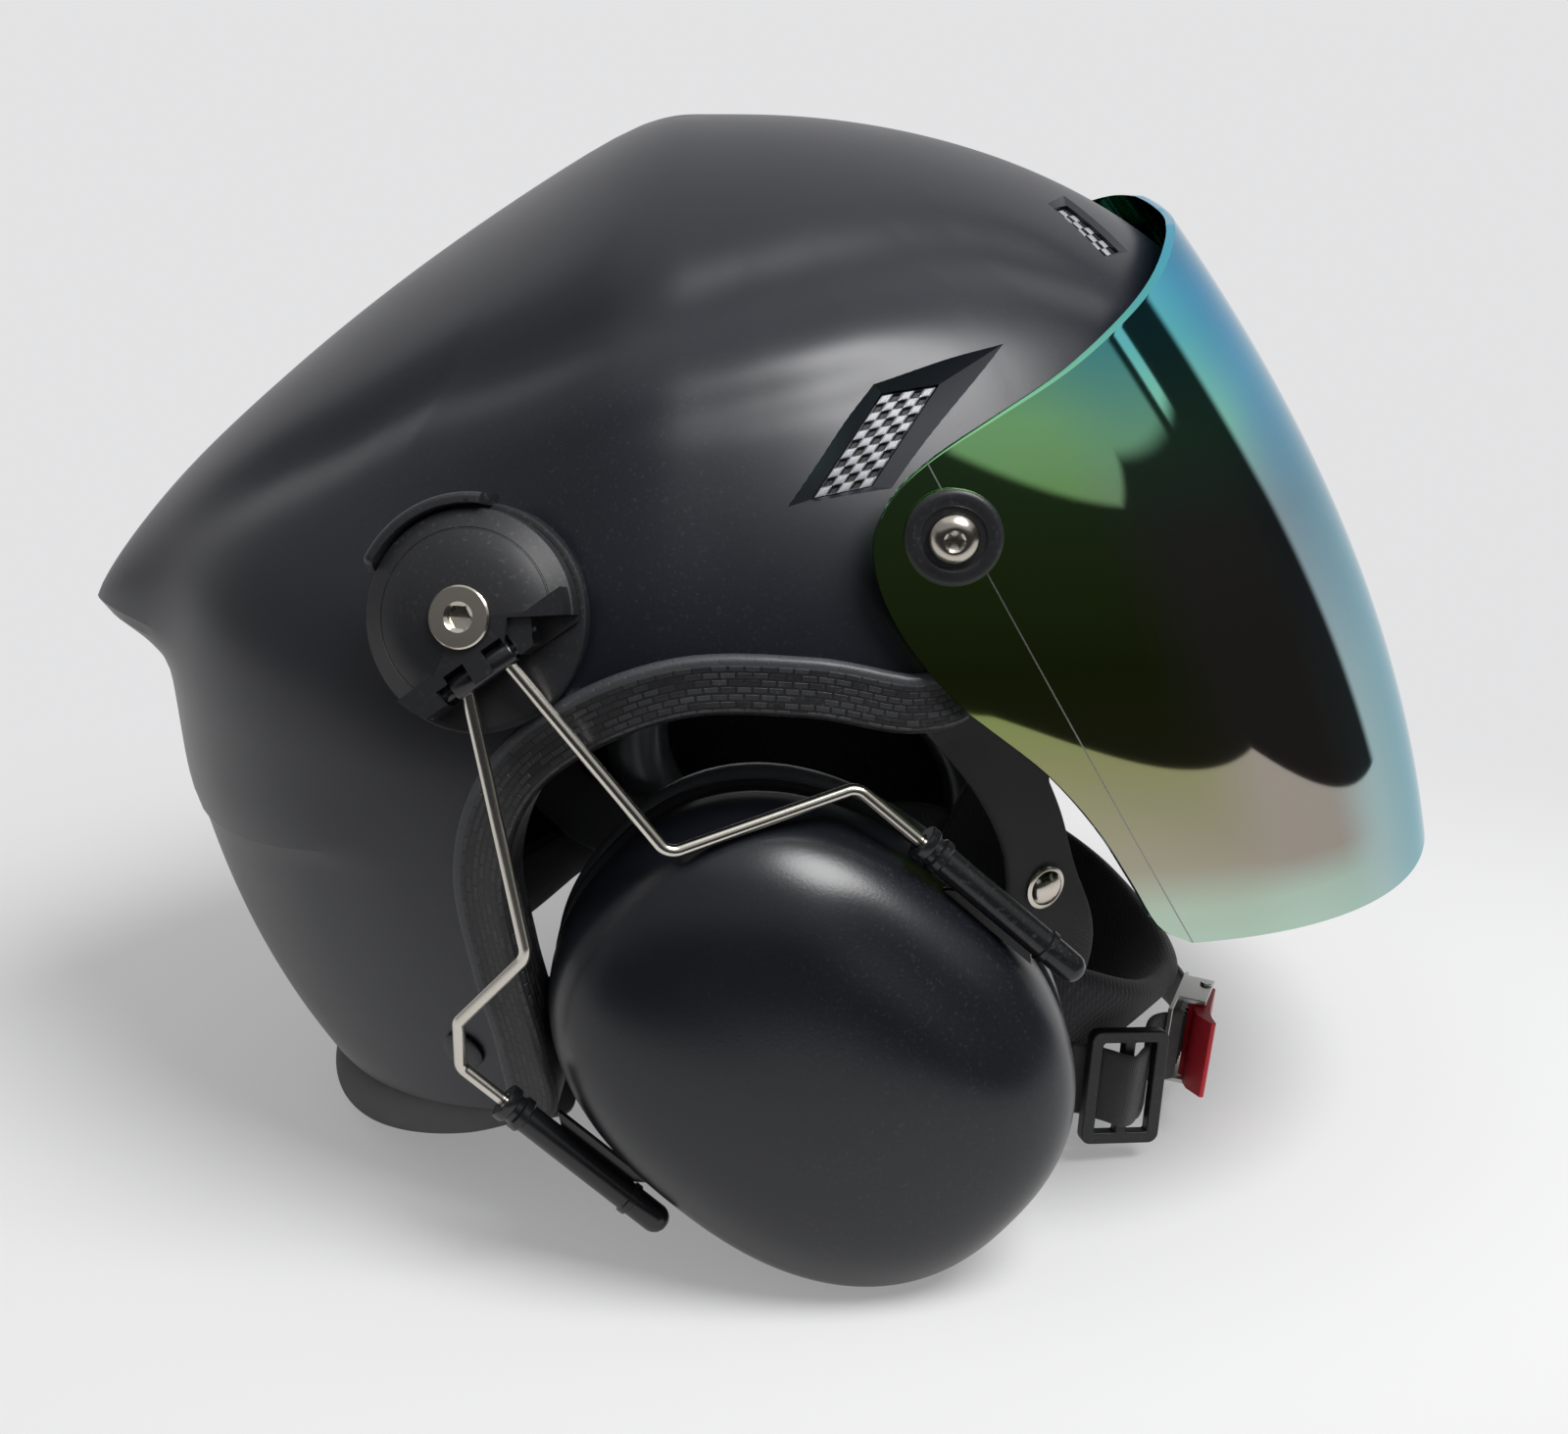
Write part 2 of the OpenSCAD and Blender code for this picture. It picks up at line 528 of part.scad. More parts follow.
// Direction of the hinge line and of the side on which the arms leave, in the mount's frame
hinge_turn = 37.4;
hinge_way = [cos(hinge_turn), sin(hinge_turn), 0];
hinge_out = [sin(hinge_turn), -cos(hinge_turn), 0];
hinge_slip = -2.6;
hinge_z = cap_top - hinge_r - 0.6;
hinge_pin_r = 1.5;
hinge_pin_len = 4;
ear_gap = 1;
lip_w = 1.8;
skirt_r = mount_r - 0.4;
function skirt_pt(a, r) =
    let (p = [r * cos(a), r * sin(a), 0])
    [p.x, p.y, min(0, to_shell(point_in(mount_frame, p), mount_n, 0.6))];
module mount_base(side) {
    turn = [350:-10:0];
    color([0.07, 0.07, 0.08]) placed(side) multmatrix(mount_frame) {
        difference() {
            ring_solid(skirt_pt(0, 0),
                       [[for (a = turn) skirt_pt(a, skirt_r * 0.36)],
                        [for (a = turn) skirt_pt(a, skirt_r * 0.7)],
                        [for (a = turn) skirt_pt(a, skirt_r)],
                        [for (a = turn) [skirt_r * cos(a), skirt_r * sin(a), mount_seat]],
                        [for (a = turn) [mount_r * cos(a), mount_r * sin(a), mount_seat]],
                        [for (a = turn) [mount_r * cos(a), mount_r * sin(a), base_top]]],
                       [0, 0, base_top]);
            translate([0, 0, -20]) cylinder(r = mount_shank_r + run_gap, h = 40, $fn = 48);
        }
        rotate([0, 0, 84]) rotate_extrude(angle = 96, $fn = 96)
            polygon([[mount_r - 0.6, mount_seat + 0.4], [mount_r + lip_w, mount_seat + 0.4],
                     [mount_r + lip_w, cap_low + cap_h * 0.5], [mount_r + lip_w - 0.8, cap_low + cap_h * 0.62],
                     [mount_r - 0.6, cap_low + cap_h * 0.62]]);
    }
}
module mount_base_r() mount_base(-1);
module mount_base_l() mount_base(1);

module mount_cap(side)
    color([0.09, 0.09, 0.1]) placed(side) multmatrix(mount_frame)
        difference() {
            rotate_extrude($fn = 96)
                polygon([[0, cap_low], [cap_r - side_gap, cap_low], [cap_r - side_gap, cap_low + cap_h * 0.45],
                         [cap_r * 0.62, cap_top - 1.2], [cap_r * 0.55, cap_top], [0, cap_top]]);
            translate([0, 0, cap_low - 1]) cylinder(r = mount_shank_r + run_gap, h = cap_h + 2, $fn = 48);
            rotate([0, 0, hinge_turn - 90]) {
                translate([hinge_off + hinge_r + 1.6, -mount_r, cap_low - 1])
                    cube([mount_r, 2 * mount_r, cap_h + 2]);
                translate([hinge_off - hinge_r - side_gap, hinge_slip - hinge_len / 2 - ear_gap, cap_low - 1])
                    cube([mount_r, hinge_len + 2 * ear_gap, cap_h + 2]);
                translate([hinge_off, hinge_slip + hinge_len / 2 + hinge_pin_len + 0.5, hinge_z])
                    rotate([90, 0, 0])
                        cylinder(r = hinge_pin_r + run_gap, h = hinge_len + 2 * hinge_pin_len + 1, $fn = 32);
            }
        }
module mount_cap_r() mount_cap(-1);
module mount_cap_l() mount_cap(1);

module mount_screw(side)
    color([0.75, 0.75, 0.73]) placed(side) multmatrix(mount_frame)
        difference() {
            rotate_extrude($fn = 64)
                polygon([[0, 0.6 - shell_wall], [mount_shank_r - run_gap, 0.6 - shell_wall],
                         [mount_shank_r - run_gap, cap_top + side_gap],
                         [mount_flange_r, cap_top + side_gap], [mount_flange_r, cap_top + side_gap + 1],
                         [mount_flange_r - 0.4, cap_top + side_gap + 1.4], [0, cap_top + side_gap + 1.4]]);
            translate([0, 0, cap_top - 1.5]) cylinder(r = 2.9, h = 6, $fn = 6);
        }
module mount_screw_r() mount_screw(-1);
module mount_screw_l() mount_screw(1);

// Hinge of the arms, in the mount's frame: its centre and the ends of its wire bend
hinge_mid = hinge_out * hinge_off + hinge_way * hinge_slip + [0, 0, hinge_z];
leg_apart = 9.6;
module hinge_bar(side)
    color([0.05, 0.05, 0.06]) placed(side) multmatrix(mount_frame)
        translate(hinge_mid) rotate([0, 0, hinge_turn]) rotate([0, 90, 0]) {
            translate([0, 0, -hinge_len / 2]) cylinder(r = hinge_r, h = hinge_len, $fn = 48);
            translate([0, 0, -hinge_len / 2 - hinge_pin_len])
                cylinder(r = hinge_pin_r, h = hinge_len + 2 * hinge_pin_len, $fn = 32);
        }
module hinge_bar_r() hinge_bar(-1);
module hinge_bar_l() hinge_bar(1);

// Ear cup frame: origin in the middle of the cushion's face, x along the slide, z out
cup_squareness = 2.35;
plate_t = 2;
plate_low = cushion_t + side_gap;
cup_low = plate_low + plate_t + side_gap;
cup_high = cup_low + cup_depth;
function oval_pt(l, w, a) = [l * power(cos(a), 2 / cup_squareness), w * power(sin(a), 2 / cup_squareness)];
// Share of the full outline at height w above the cup's rim: straight wall, then a domed face
cup_wall_h = 11;
dome_roundness = 2.7;
function cup_share(w) =
    w < cup_wall_h ? 0.985 + 0.015 * w / cup_wall_h
    : pow(1 - pow((w - cup_wall_h) / (cup_depth - cup_wall_h), dome_roundness), 1 / dome_roundness);
// Lowest reach of the tilted outline below the cup's middle, which stands on the ground
cup_reach = max([for (a = [0:2:358]) let (q = oval_pt(cup_half_l, cup_half_w, a))
                 q.x * sin(cup_tilt) - q.y * cos(cup_tilt)]);
cushion_reach = max([for (a = [0:2:358])
    let (q = oval_pt(cup_half_l, cup_half_w, a))
    q.x * sin(cup_tilt) - q.y * cos(cup_tilt)]);
cup_mid = [centre.x + cup_ahead, -cushion_gap, max(cup_reach, cushion_reach) - stand_z];
cup_frame = [[cos(cup_tilt), sin(cup_tilt), 0, cup_mid.x], [0, 0, -1, cup_mid.y],
             [-sin(cup_tilt), cos(cup_tilt), 0, cup_mid.z], [0, 0, 0, 1]];
cup_columns = 36;
// Levels of the cup's outer face, closer together where the dome turns over
cup_levels = [0, 0.12, 0.28, 0.5, 0.68, 0.8, 0.88, 0.935, 0.97, 0.99];
function cup_ring(level, wall) =
    let (w = level * cup_depth, k = cup_share(w))
    [for (j = [0:cup_columns - 1])
        let (q = oval_pt(cup_half_l * k, cup_half_w * k, 360 * j / cup_columns), f = 1 - wall / norm(q))
        [q.x * f, q.y * f, cup_low + w - (level > 0 ? wall * min(1, level * 1.6) : 0)]];
module cup_shell(side) {
    n = len(cup_levels);
    color([0.06, 0.06, 0.07]) placed(side) multmatrix(cup_frame)
        ring_solid([0, 0, cup_high],
            concat([for (i = [n - 1:-1:0]) cup_ring(cup_levels[i], 0)],
                   [for (i = [0:n - 2]) cup_ring(cup_levels[i], cup_wall)]),
            [0, 0, cup_high - cup_wall]);
}
module cup_shell_r() cup_shell(-1);
module cup_shell_l() cup_shell(1);

foam_t = 10;
foam_low = 16.8;
foam_fit = 0.5;
module cup_foam(side)
    color([0.2, 0.2, 0.21]) placed(side) multmatrix(cup_frame)
        translate([0, 0, cup_low + foam_low]) linear_extrude(foam_t) {
            k = cup_share(foam_low + foam_t + cup_wall);
            inset = cup_wall + foam_fit;
            polygon([for (a = [0:10:350]) oval_pt(cup_half_l * k - inset, cup_half_w * k - inset, a)]);
        }
module cup_foam_r() cup_foam(-1);
module cup_foam_l() cup_foam(1);

module cushion_plate(side)
    color([0.1, 0.1, 0.1]) placed(side) multmatrix(cup_frame)
        translate([0, 0, plate_low]) linear_extrude(plate_t) difference() {
            polygon([for (a = [0:7.5:352.5]) oval_pt(cup_half_l, cup_half_w, a)]);
            polygon([for (a = [0:7.5:352.5])
                oval_pt(cup_half_l - cushion_ring + 2, cup_half_w - cushion_ring + 2, a)]);
        }
module cushion_plate_r() cushion_plate(-1);
module cushion_plate_l() cushion_plate(1);

// Soft cushion: a plump ring, drawn in where it meets the plate
cushion_section = [
    [-0.02, 0.65], [0.03, 0.35], [0.2, 0.1], [0.5, 0.0], [0.8, 0.1], [0.97, 0.32], [1, 0.6],
    [0.95, 0.86], [0.72, 1], [0.28, 1], [0, 0.98]
];
module ear_cushion(side) {
    l = cup_half_l;
    w = cup_half_w;
    color([0.11, 0.11, 0.12]) placed(side) multmatrix(cup_frame)
        ring_loop([for (j = [0:cup_columns - 1])
            let (a = 360 * j / cup_columns, o = oval_pt(l, w, a),
                 i = oval_pt(l - cushion_ring, w - cushion_ring, a))
            [for (q = cushion_section)
                let (p = i + (o - i) * q.x) [p.x, p.y, cushion_t * q.y]]]);
}
module ear_cushion_r() ear_cushion(-1);
module ear_cushion_l() ear_cushion(1);

// Guide sleeves on both long sides of the cup, with the place of their mouths along the slide
sleeve_off = cup_half_w + sleeve_r + 1.3;
sleeve_w = cup_low + 21;
front_mouth = -16.3;
rear_mouth = -43.7;
sleeve_bore = wire_insert + 0.5;
module guide_sleeve(x, y) {
    inner = cup_half_w * cup_share(sleeve_w - cup_low) + side_gap;
    side = sign(y);
    difference() {
        union() {
            translate([x, y, sleeve_w]) rotate([0, 90, 0]) rotate_extrude($fn = 32)
                polygon([[0, 0], [sleeve_r + 0.9, 0], [sleeve_r + 0.9, 2.2], [sleeve_r, 2.6], [sleeve_r, 4],
                         [sleeve_r + 0.7, 4.4], [sleeve_r + 0.7, 6], [sleeve_r, 6.4],
                         [sleeve_r, sleeve_len - 2], [sleeve_r - 1.6, sleeve_len], [0, sleeve_len]]);
            // Foot that ties the sleeve to the cup's side
            translate([x + 14, side > 0 ? inner : y, sleeve_w - 2.6]) cube([20, sleeve_off - inner, 1.8]);
        }
        translate([x - 1, y, sleeve_w]) rotate([0, 90, 0])
            cylinder(r = wire_d / 2 + run_gap, h = sleeve_bore + 1, $fn = 32);
    }
}
module guide_sleeves(side)
    color([0.08, 0.08, 0.09]) placed(side) multmatrix(cup_frame) {
        guide_sleeve(front_mouth, sleeve_off);
        guide_sleeve(rear_mouth, -sleeve_off);
    }
module guide_sleeves_r() guide_sleeves(-1);
module guide_sleeves_l() guide_sleeves(1);

// Spring wire from one sleeve over the hinge to the other. Its free bends lie outside the cup.
front_lead = 18;
rear_lead = 12;
front_knee = [-23.9, -121.5, 103.3];
rear_heel = [-69.3, -116, 63];
rear_knee = [-53.6, -122.5, 81];
module arm_wire(side) {
    f = front_mouth;
    g = rear_mouth;
    hinge_a = point_in(mount_frame, hinge_mid - hinge_way * leg_apart / 2);
    hinge_b = point_in(mount_frame, hinge_mid + hinge_way * leg_apart / 2);
    route = [
        point_in(cup_frame, [g + wire_insert, -sleeve_off, sleeve_w]),
        point_in(cup_frame, [g - rear_lead, -sleeve_off, sleeve_w]),
        rear_heel, rear_knee, hinge_a, hinge_b, front_knee,
        point_in(cup_frame, [f - front_lead, sleeve_off, sleeve_w]),
        point_in(cup_frame, [f + wire_insert, sleeve_off, sleeve_w])
    ];
    color([0.78, 0.77, 0.74]) placed(side)
        bent_rod(route, wire_d / 2, [0, 3, 3, wire_bend_r, 2.2, 2.2, wire_bend_r, wire_bend_r, 0]);
}
module arm_wire_r() arm_wire(-1);
module arm_wire_l() arm_wire(1);

// Visor: rows of its height, each from one rear edge round the front to the other
visor_fill = 2.3;
pivot_z = 169.7;
visor_slope = 0.5;
visor_half_w = shell_half_w + visor_clear;
visor_low_half_w = visor_half_w - visor_taper;
function visor_front(z) =
    visor_top_x + (pow(visor_top_z - bulge_z, 2) - pow(z - bulge_z, 2)) / (2 * visor_bulge_r);
function visor_mid(z) = 20 + visor_slope * (pivot_z - z);
function visor_half(z) =
    z < pivot_z
    ? visor_half_w - (visor_half_w - visor_low_half_w) * pow((pivot_z - z) / (pivot_z - bulge_z - 35), 2)
    : visor_half_w - 10 * pow((z - pivot_z) / 50, 1.5);
// Point at angle a round the visor, 0 at the front and minus on the right, off its outer face
function visor_pt(a, z, off) =
    let (m = visor_mid(z), b = visor_half(z) + off, f = visor_front(z) - m + off)
    [m + f * power(cos(a), 2 / visor_fill), b * power(sin(a), 2 / visor_fill), z];
// Outline of the right half: height share from the lower to the upper edge, and rear angle
visor_edge = [
    [0, 79], [0.03, 82.3], [0.11, 83.2], [0.2, 84.2], [0.29, 86.4], [0.38, 90], [0.48, 92.1],
    [0.57, 92.3], [0.65, 90.6], [0.71, 87.6], [0.76, 82], [0.81, 73], [0.86, 61.5], [0.91, 49],
    [0.955, 35], [0.985, 23], [1, 12]
];
visor_rows = 18;
visor_columns = 20;
function visor_z(k) = lerp(visor_low_z, visor_top_z, k);
function visor_row(i, off) =
    let (e = along(visor_edge, i / visor_rows))
    [for (j = [0:visor_columns]) visor_pt(lerp(-e[1], e[1], j / visor_columns), visor_z(e[0]), off)];
// Pivot of the visor: a point of its right outer face
pivot_angle = -84.3;
pivot_pt = visor_pt(pivot_angle, pivot_z, 0);
module visor() {
    outer = [for (i = [0:visor_rows]) visor_row(i, 0)];
    inner = [for (i = [0:visor_rows]) visor_row(i, -visor_t)];
    color([0.2, 0.42, 0.4, 0.7]) placed() difference() {
        sheet_solid(outer, inner);
        translate([pivot_pt.x, 0, pivot_pt.z]) rotate([90, 0, 0])
            cylinder(r = visor_shank_r + run_gap, h = 3 * visor_half_w, center = true, $fn = 48);
    }
}
// Stack on each pivot, from the shell outwards, along the wearer's side to side line
side_start = shell_half_w * 0.9;
stack_in = -side_depth(pivot_pt.x, pivot_pt.z, 0);
stack_visor = -pivot_pt.y;
module turned_side(side, profile, segments)
    placed(side) translate([pivot_pt.x, 0, pivot_pt.z]) rotate([90, 0, 0])
        rotate_extrude($fn = segments) polygon(profile);
function side_depth(x, z, off) = -side_start - to_shell([x, -side_start, z], [0, -1, 0], off);
module visor_spacers() {
    top = stack_visor - visor_t - 1.9;
    r = washer_r - 1.2;
    circle_pts = [for (a = [345:-15:0]) [pivot_pt.x + r * cos(a), pivot_pt.z + r * sin(a)]];
    color([0.06, 0.06, 0.07]) for (side = [-1, 1]) placed(side) difference() {
        ring_solid([pivot_pt.x, side_depth(pivot_pt.x, pivot_pt.z, side_gap), pivot_pt.z],
                   [[for (p = circle_pts) [p.x, side_depth(p.x, p.y, side_gap), p.y]],
                    [for (p = circle_pts) [p.x, -top, p.y]]],
                   [pivot_pt.x, -top, pivot_pt.z]);
        translate([pivot_pt.x, 0, pivot_pt.z]) rotate([90, 0, 0])
            cylinder(r = visor_shank_r + run_gap, h = 3 * visor_half_w, center = true, $fn = 48);
    }
}
module visor_washers() {
    low = stack_visor + 0.5;
    color([0.04, 0.04, 0.05]) for (side = [-1, 1])
        turned_side(side, [[visor_shank_r + run_gap, low], [washer_r - 0.6, low], [washer_r, low + 0.5],
                           [washer_r, low + 1.1], [washer_r - 1, low + 1.8], [washer_r - 3.2, low + 1.8],
                           [washer_r - 3.6, low + 1.3], [visor_shank_r + run_gap, low + 1.3]], 64);
}
module visor_screws() {
    low = stack_visor + 0.5 + 1.3 + 0.1;
    color([0.72, 0.72, 0.7]) for (side = [-1, 1])
        difference() {
            turned_side(side, [[0, stack_in - 2], [visor_shank_r, stack_in - 2], [visor_shank_r, low],
                               [visor_head_r, low], [visor_head_r, low + 0.8], [visor_head_r - 1.4, low + 2.4],
                               [visor_head_r - 2.4, low + 2.8], [0, low + 2.8]], 48);
            placed(side) translate([pivot_pt.x, -low - 1, pivot_pt.z]) rotate([90, 0, 0])
                cylinder(r = 1.9, h = 4, $fn = 6);
        }
}

// Chin strap: straps from both sides of the liner, a padded band and a quick release buckle
// Shift of the straps' upper ends with the shell's width
strap_in = 116 - shell_half_w;
front_strap_route = [
    [26, strap_in - 91, 146], [36, strap_in - 84.5, 127], [43, strap_in * 0.5 - 78, 115.6],
    [50.4, -72, 102], [56.8, -67, 86.4], [60, -62.5, 71],
    [63.5, -57, 57], [62, -54, 45], [60, -53.2, 36]
];
front_strap_wide = [
    [1, -0.2, 0.2], [1, -0.2, 0.2], [0.95, -0.1, 0.3], [0.95, -0.1, 0.3], [1, -0.15, 0.1], [1, 0, 0],
    [0.95, 0.2, -0.1], [0.9, 0.35, -0.2], [0.9, 0.35, -0.2]
];
rear_strap_route = [
    [-74, strap_in - 83, 58], [-64, strap_in - 76, 47.5], [-51, strap_in * 0.5 - 67.5, 41.5],
    [-15, -63.5, 36], [20, -60.5, 38], [38, -56.5, 40], [50, -54, 35.5]
];
module strap(side, route, wide, steps)
    color([0.08, 0.08, 0.09]) placed(side) ring_tube(band_rings(route, wide, web_w, web_t, steps));
module front_strap_r() strap(-1, front_strap_route, front_strap_wide, 16);
module front_strap_l() strap(1, front_strap_route, front_strap_wide, 16);
module rear_strap_r() strap(-1, rear_strap_route, [for (p = rear_strap_route) [0.15, 0, 1]], 14);
module rear_strap_l() strap(1, rear_strap_route, [for (p = rear_strap_route) [0.15, 0, 1]], 14);

// Snap on the outer face of a front strap, at this share of its length
snap_share = 0.62;
module strap_snaps() {
    e = 0.01;
    a = unit(along(front_strap_route, snap_share + e) - along(front_strap_route, snap_share - e));
    b = along(front_strap_wide, snap_share);
    n = unit(cross(a, unit(b - a * (a * b))));
    out = n.y < 0 ? n : -n;
    for (side = [-1, 1]) color([0.8, 0.8, 0.8]) placed(side)
        multmatrix(frame_of(along(front_strap_route, snap_share) + out * (web_t / 2 + 0.15), out))
            rotate_extrude($fn = 48)
                polygon([[0, 0], [snap_r, 0], [snap_r + 0.6, 0.5], [snap_r, 1],
                         [snap_r * 0.8, 1.8], [snap_r * 0.45, 2.5], [0, 2.8]]);
}

band_half_route = [[42, -55, 38], [58, -53, 31], [73, -40, 24], [82, -20, 19]];
band_route = concat(band_half_route, [[85, 0, 17.5]],
                    [for (i = [len(band_half_route) - 1:-1:0]) flip_y(band_half_route[i])]);
band_half_wide = [[0.3, 0, 0.95], [0.4, -0.1, 0.9], [0.6, -0.2, 0.75], [0.7, -0.1, 0.68]];
band_wide = concat(band_half_wide, [[0.74, 0, 0.66]],
                   [for (i = [len(band_half_wide) - 1:-1:0]) flip_y(band_half_wide[i])]);
module chin_band()
    color([0.05, 0.05, 0.06]) placed() ring_tube(band_rings(band_route, band_wide, band_w, band_t, 32));

// Slider: a frame with two slots, standing on its end by the band's right side
slider_at = [82, -52.5, 17];
slider_size = [20, 29, 3.4];
slider_frame = frame_of(slider_at, unit([0.25, -0.96, 0.05]), unit([0.1, 0, 1]));
module strap_slider()
    color([0.07, 0.07, 0.08]) placed() multmatrix(slider_frame)
        translate([0, 0, -slider_size.z / 2]) linear_extrude(slider_size.z) difference() {
            union() {
                square([slider_size.x - 5, slider_size.y], center = true);
                square([slider_size.x, slider_size.y - 5], center = true);
                for (e = [-1, 1], f = [-1, 1])
                    translate([e * (slider_size.x / 2 - 2.5), f * (slider_size.y / 2 - 2.5)])
                        circle(r = 2.5, $fn = 24);
            }
            translate([-4.1, 0]) square([5.4, slider_size.y - 6], center = true);
            translate([4.1, 0]) square([5.4, slider_size.y - 6], center = true);
        }

// Buckle: frame with x along the strap, y across it and z out
buckle_at = [97, -26, 19];
buckle_frame = frame_of(buckle_at, unit([0.93, -0.3, -0.1]), unit([0.12, 0, 1]));
// Webbing from the band, folded through the slider's slots, to the buckle's slot
fold = [[-12.5, -5.4], [-8.5, -4.9], [-4.4, -0.6], [0, 3.8], [4.4, -0.6], [7.4, -5]];
slot_fold = [[-14.7, -2.7], [-9.7, 0.5], [-6.9, 2.7]];
module buckle_strap() {
    route = concat([for (q = fold) point_in(slider_frame, [q.x, 0, q.y])],
                   [for (q = slot_fold) point_in(buckle_frame, [q.x, 0, q.y])]);
    color([0.09, 0.09, 0.1]) placed()
        ring_tube(band_rings(route, [for (p = route) [0.1, 0, 1]], web_w - 1.5, web_t, 34));
}

plate_h = 1.2;
wall_h = 8;
pin_x = 7.5;
pin_z = 6.2;
pin_r = 1.5;
module buckle_body()
    color([0.7, 0.7, 0.7]) placed() multmatrix(buckle_frame) difference() {
        union() {
            translate([-buckle_len / 2, -buckle_w / 2, 0]) cube([buckle_len, buckle_w, plate_h]);
            for (e = [-1, 1]) translate([-4, e > 0 ? buckle_w / 2 - plate_h : -buckle_w / 2, 0])
                cube([15, plate_h, wall_h]);
        }
        translate([-buckle_len / 2 + 1.3, -buckle_w / 2 + 1.6, -1]) cube([4.4, buckle_w - 3.2, 4]);
        translate([pin_x, buckle_w, pin_z]) rotate([90, 0, 0])
            cylinder(r = pin_r, h = 2 * buckle_w, $fn = 32);
    }
module lever_pin()
    color([0.75, 0.75, 0.75]) placed() multmatrix(buckle_frame)
        translate([pin_x, buckle_w / 2 + 0.5, pin_z]) rotate([90, 0, 0])
            cylinder(r = pin_r - 0.02, h = buckle_w + 1, $fn = 32);
lever_w = buckle_w - 2 * plate_h - 2 * side_gap;
lever_top = 8.6;
lever_floor = plate_h + 3.4;
module release_lever()
    color([0.85, 0.07, 0.07]) placed() multmatrix(buckle_frame) difference() {
        translate([0, lever_w / 2, 0]) rotate([90, 0, 0]) linear_extrude(lever_w) union() {
            polygon([[pin_x + 3, pin_z], [pin_x + 2, lever_top], [-6, lever_top + 1], [-12, lever_top + 3.4],
                     [-13, lever_top + 2.4], [-6.5, lever_floor + 1], [-2.6, lever_floor + 0.4],
                     [-1.8, plate_h + 2.5], [-0.4, lever_floor + 0.2],
                     [pin_x - 2.5, lever_floor + 0.1], [pin_x + 2, pin_z - 2.2]]);
        }
        translate([pin_x, buckle_w, pin_z]) rotate([90, 0, 0])
            cylinder(r = pin_r + run_gap, h = 2 * buckle_w, $fn = 32);
        translate([pin_x - 3.4, -spring_len / 2 - 0.4, 0]) cube([8, spring_len + 0.8, 12]);
    }
spring_len = 6;
spring_wire = 0.7;
spring_turns = 4;
turn_steps = 8;
coil_r = pin_r + run_gap + spring_wire / 2 + 0.25;
module lever_spring()
    color([0.6, 0.6, 0.6]) placed() multmatrix(buckle_frame) translate([pin_x, 0, pin_z])
        ring_tube([for (i = [0:spring_turns * turn_steps]) [for (k = [0:5]) coil_pt(i, k)]]);
// Least gap between points of the spring's surface that lie a turn or more apart along its wire
function coil_pt(i, k) =
    let (a = 360 / turn_steps * i,
         y = lerp(-spring_len / 2 + 0.5, spring_len / 2 - 0.5, i / (spring_turns * turn_steps)),
         reach = coil_r + spring_wire / 2 * cos(60 * k))
    [reach * cos(a), y - spring_wire / 2 * sin(60 * k), reach * sin(a)];
coil_gap = min([for (i = [0:turn_steps - 1], m = [i + turn_steps - 2:i + turn_steps + 2],
                     k = [0:5], q = [0:5]) norm(coil_pt(i, k) - coil_pt(m, q))]);
echo(spring_gap_mm = coil_gap);

// Toothed strap from the band's left side into the buckle
ladder_w = 12;
ladder_t = 1.4;
tooth_pitch = 2.6;
tooth_count = 7;
ladder_end = 15;
// Bend of the ladder's plain end, past the buckle, back to the left side of the band
ladder_bend = [[101.5, -10.8, 19.6], [102.5, 2, 18.5], [99, 17, 17.5], [92, 31, 17], [82, 43, 17]];
module buckle_ladder()
    color([0.08, 0.08, 0.09]) placed() {
        multmatrix(buckle_frame)
            translate([0, ladder_w / 2, plate_h + 0.1]) rotate([90, 0, 0]) linear_extrude(ladder_w) {
                translate([-6, 0]) square([ladder_end + 6, ladder_t]);
                for (i = [0:tooth_count - 1]) translate([-5 + i * tooth_pitch, ladder_t - 0.01])
                    polygon([[0, 0], [1.8, 0], [0, 0.8]]);
            }
        start = [for (x = [-4, 0]) point_in(buckle_frame, [ladder_end + x, 0, plate_h + 0.1 + ladder_t / 2])];
        route = concat(start, [for (k = [1:len(ladder_bend) - 1]) ladder_bend[k]]);
        ring_tube(band_rings(route, [for (p = route) [0.1, 0, 1]], ladder_w - 0.4, ladder_t - 0.1, 16));
    }

shell();
liner();
comfort_lining();
nape_roll();
ear_trim_r();
ear_trim_l();
brow_trim();
side_vent_insert_r();
side_vent_insert_l();
brow_vent_inserts();
shell_rivets();
mount_base_r();
mount_base_l();
mount_cap_r();
mount_cap_l();
mount_screw_r();
mount_screw_l();
hinge_bar_r();
hinge_bar_l();
arm_wire_r();
arm_wire_l();
guide_sleeves_r();
guide_sleeves_l();
cup_shell_r();
cup_shell_l();
cup_foam_r();
cup_foam_l();
cushion_plate_r();
cushion_plate_l();
ear_cushion_r();
ear_cushion_l();
visor();
visor_spacers();
visor_washers();
visor_screws();
front_strap_r();
front_strap_l();
rear_strap_r();
rear_strap_l();
strap_snaps();
chin_band();
strap_slider();
buckle_strap();
buckle_body();
buckle_ladder();
lever_pin();
release_lever();
lever_spring();
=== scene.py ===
"""Looks of an open-face flying helmet with a mirrored drop visor, hinged ear cups and a chin strap.

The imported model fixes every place. Meshes are worked out in millimetres in the maker's own frame, whose
origin lies on the wearer's middle plane under the ears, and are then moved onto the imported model.
The wearer's right side is built, and the left side is its mirror image.
"""

from __future__ import annotations

import json
import logging
import math
from dataclasses import dataclass, field
from enum import Enum
from typing import Callable, Sequence

import bmesh
import bpy
import numpy as np
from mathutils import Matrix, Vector
from mathutils.kdtree import KDTree

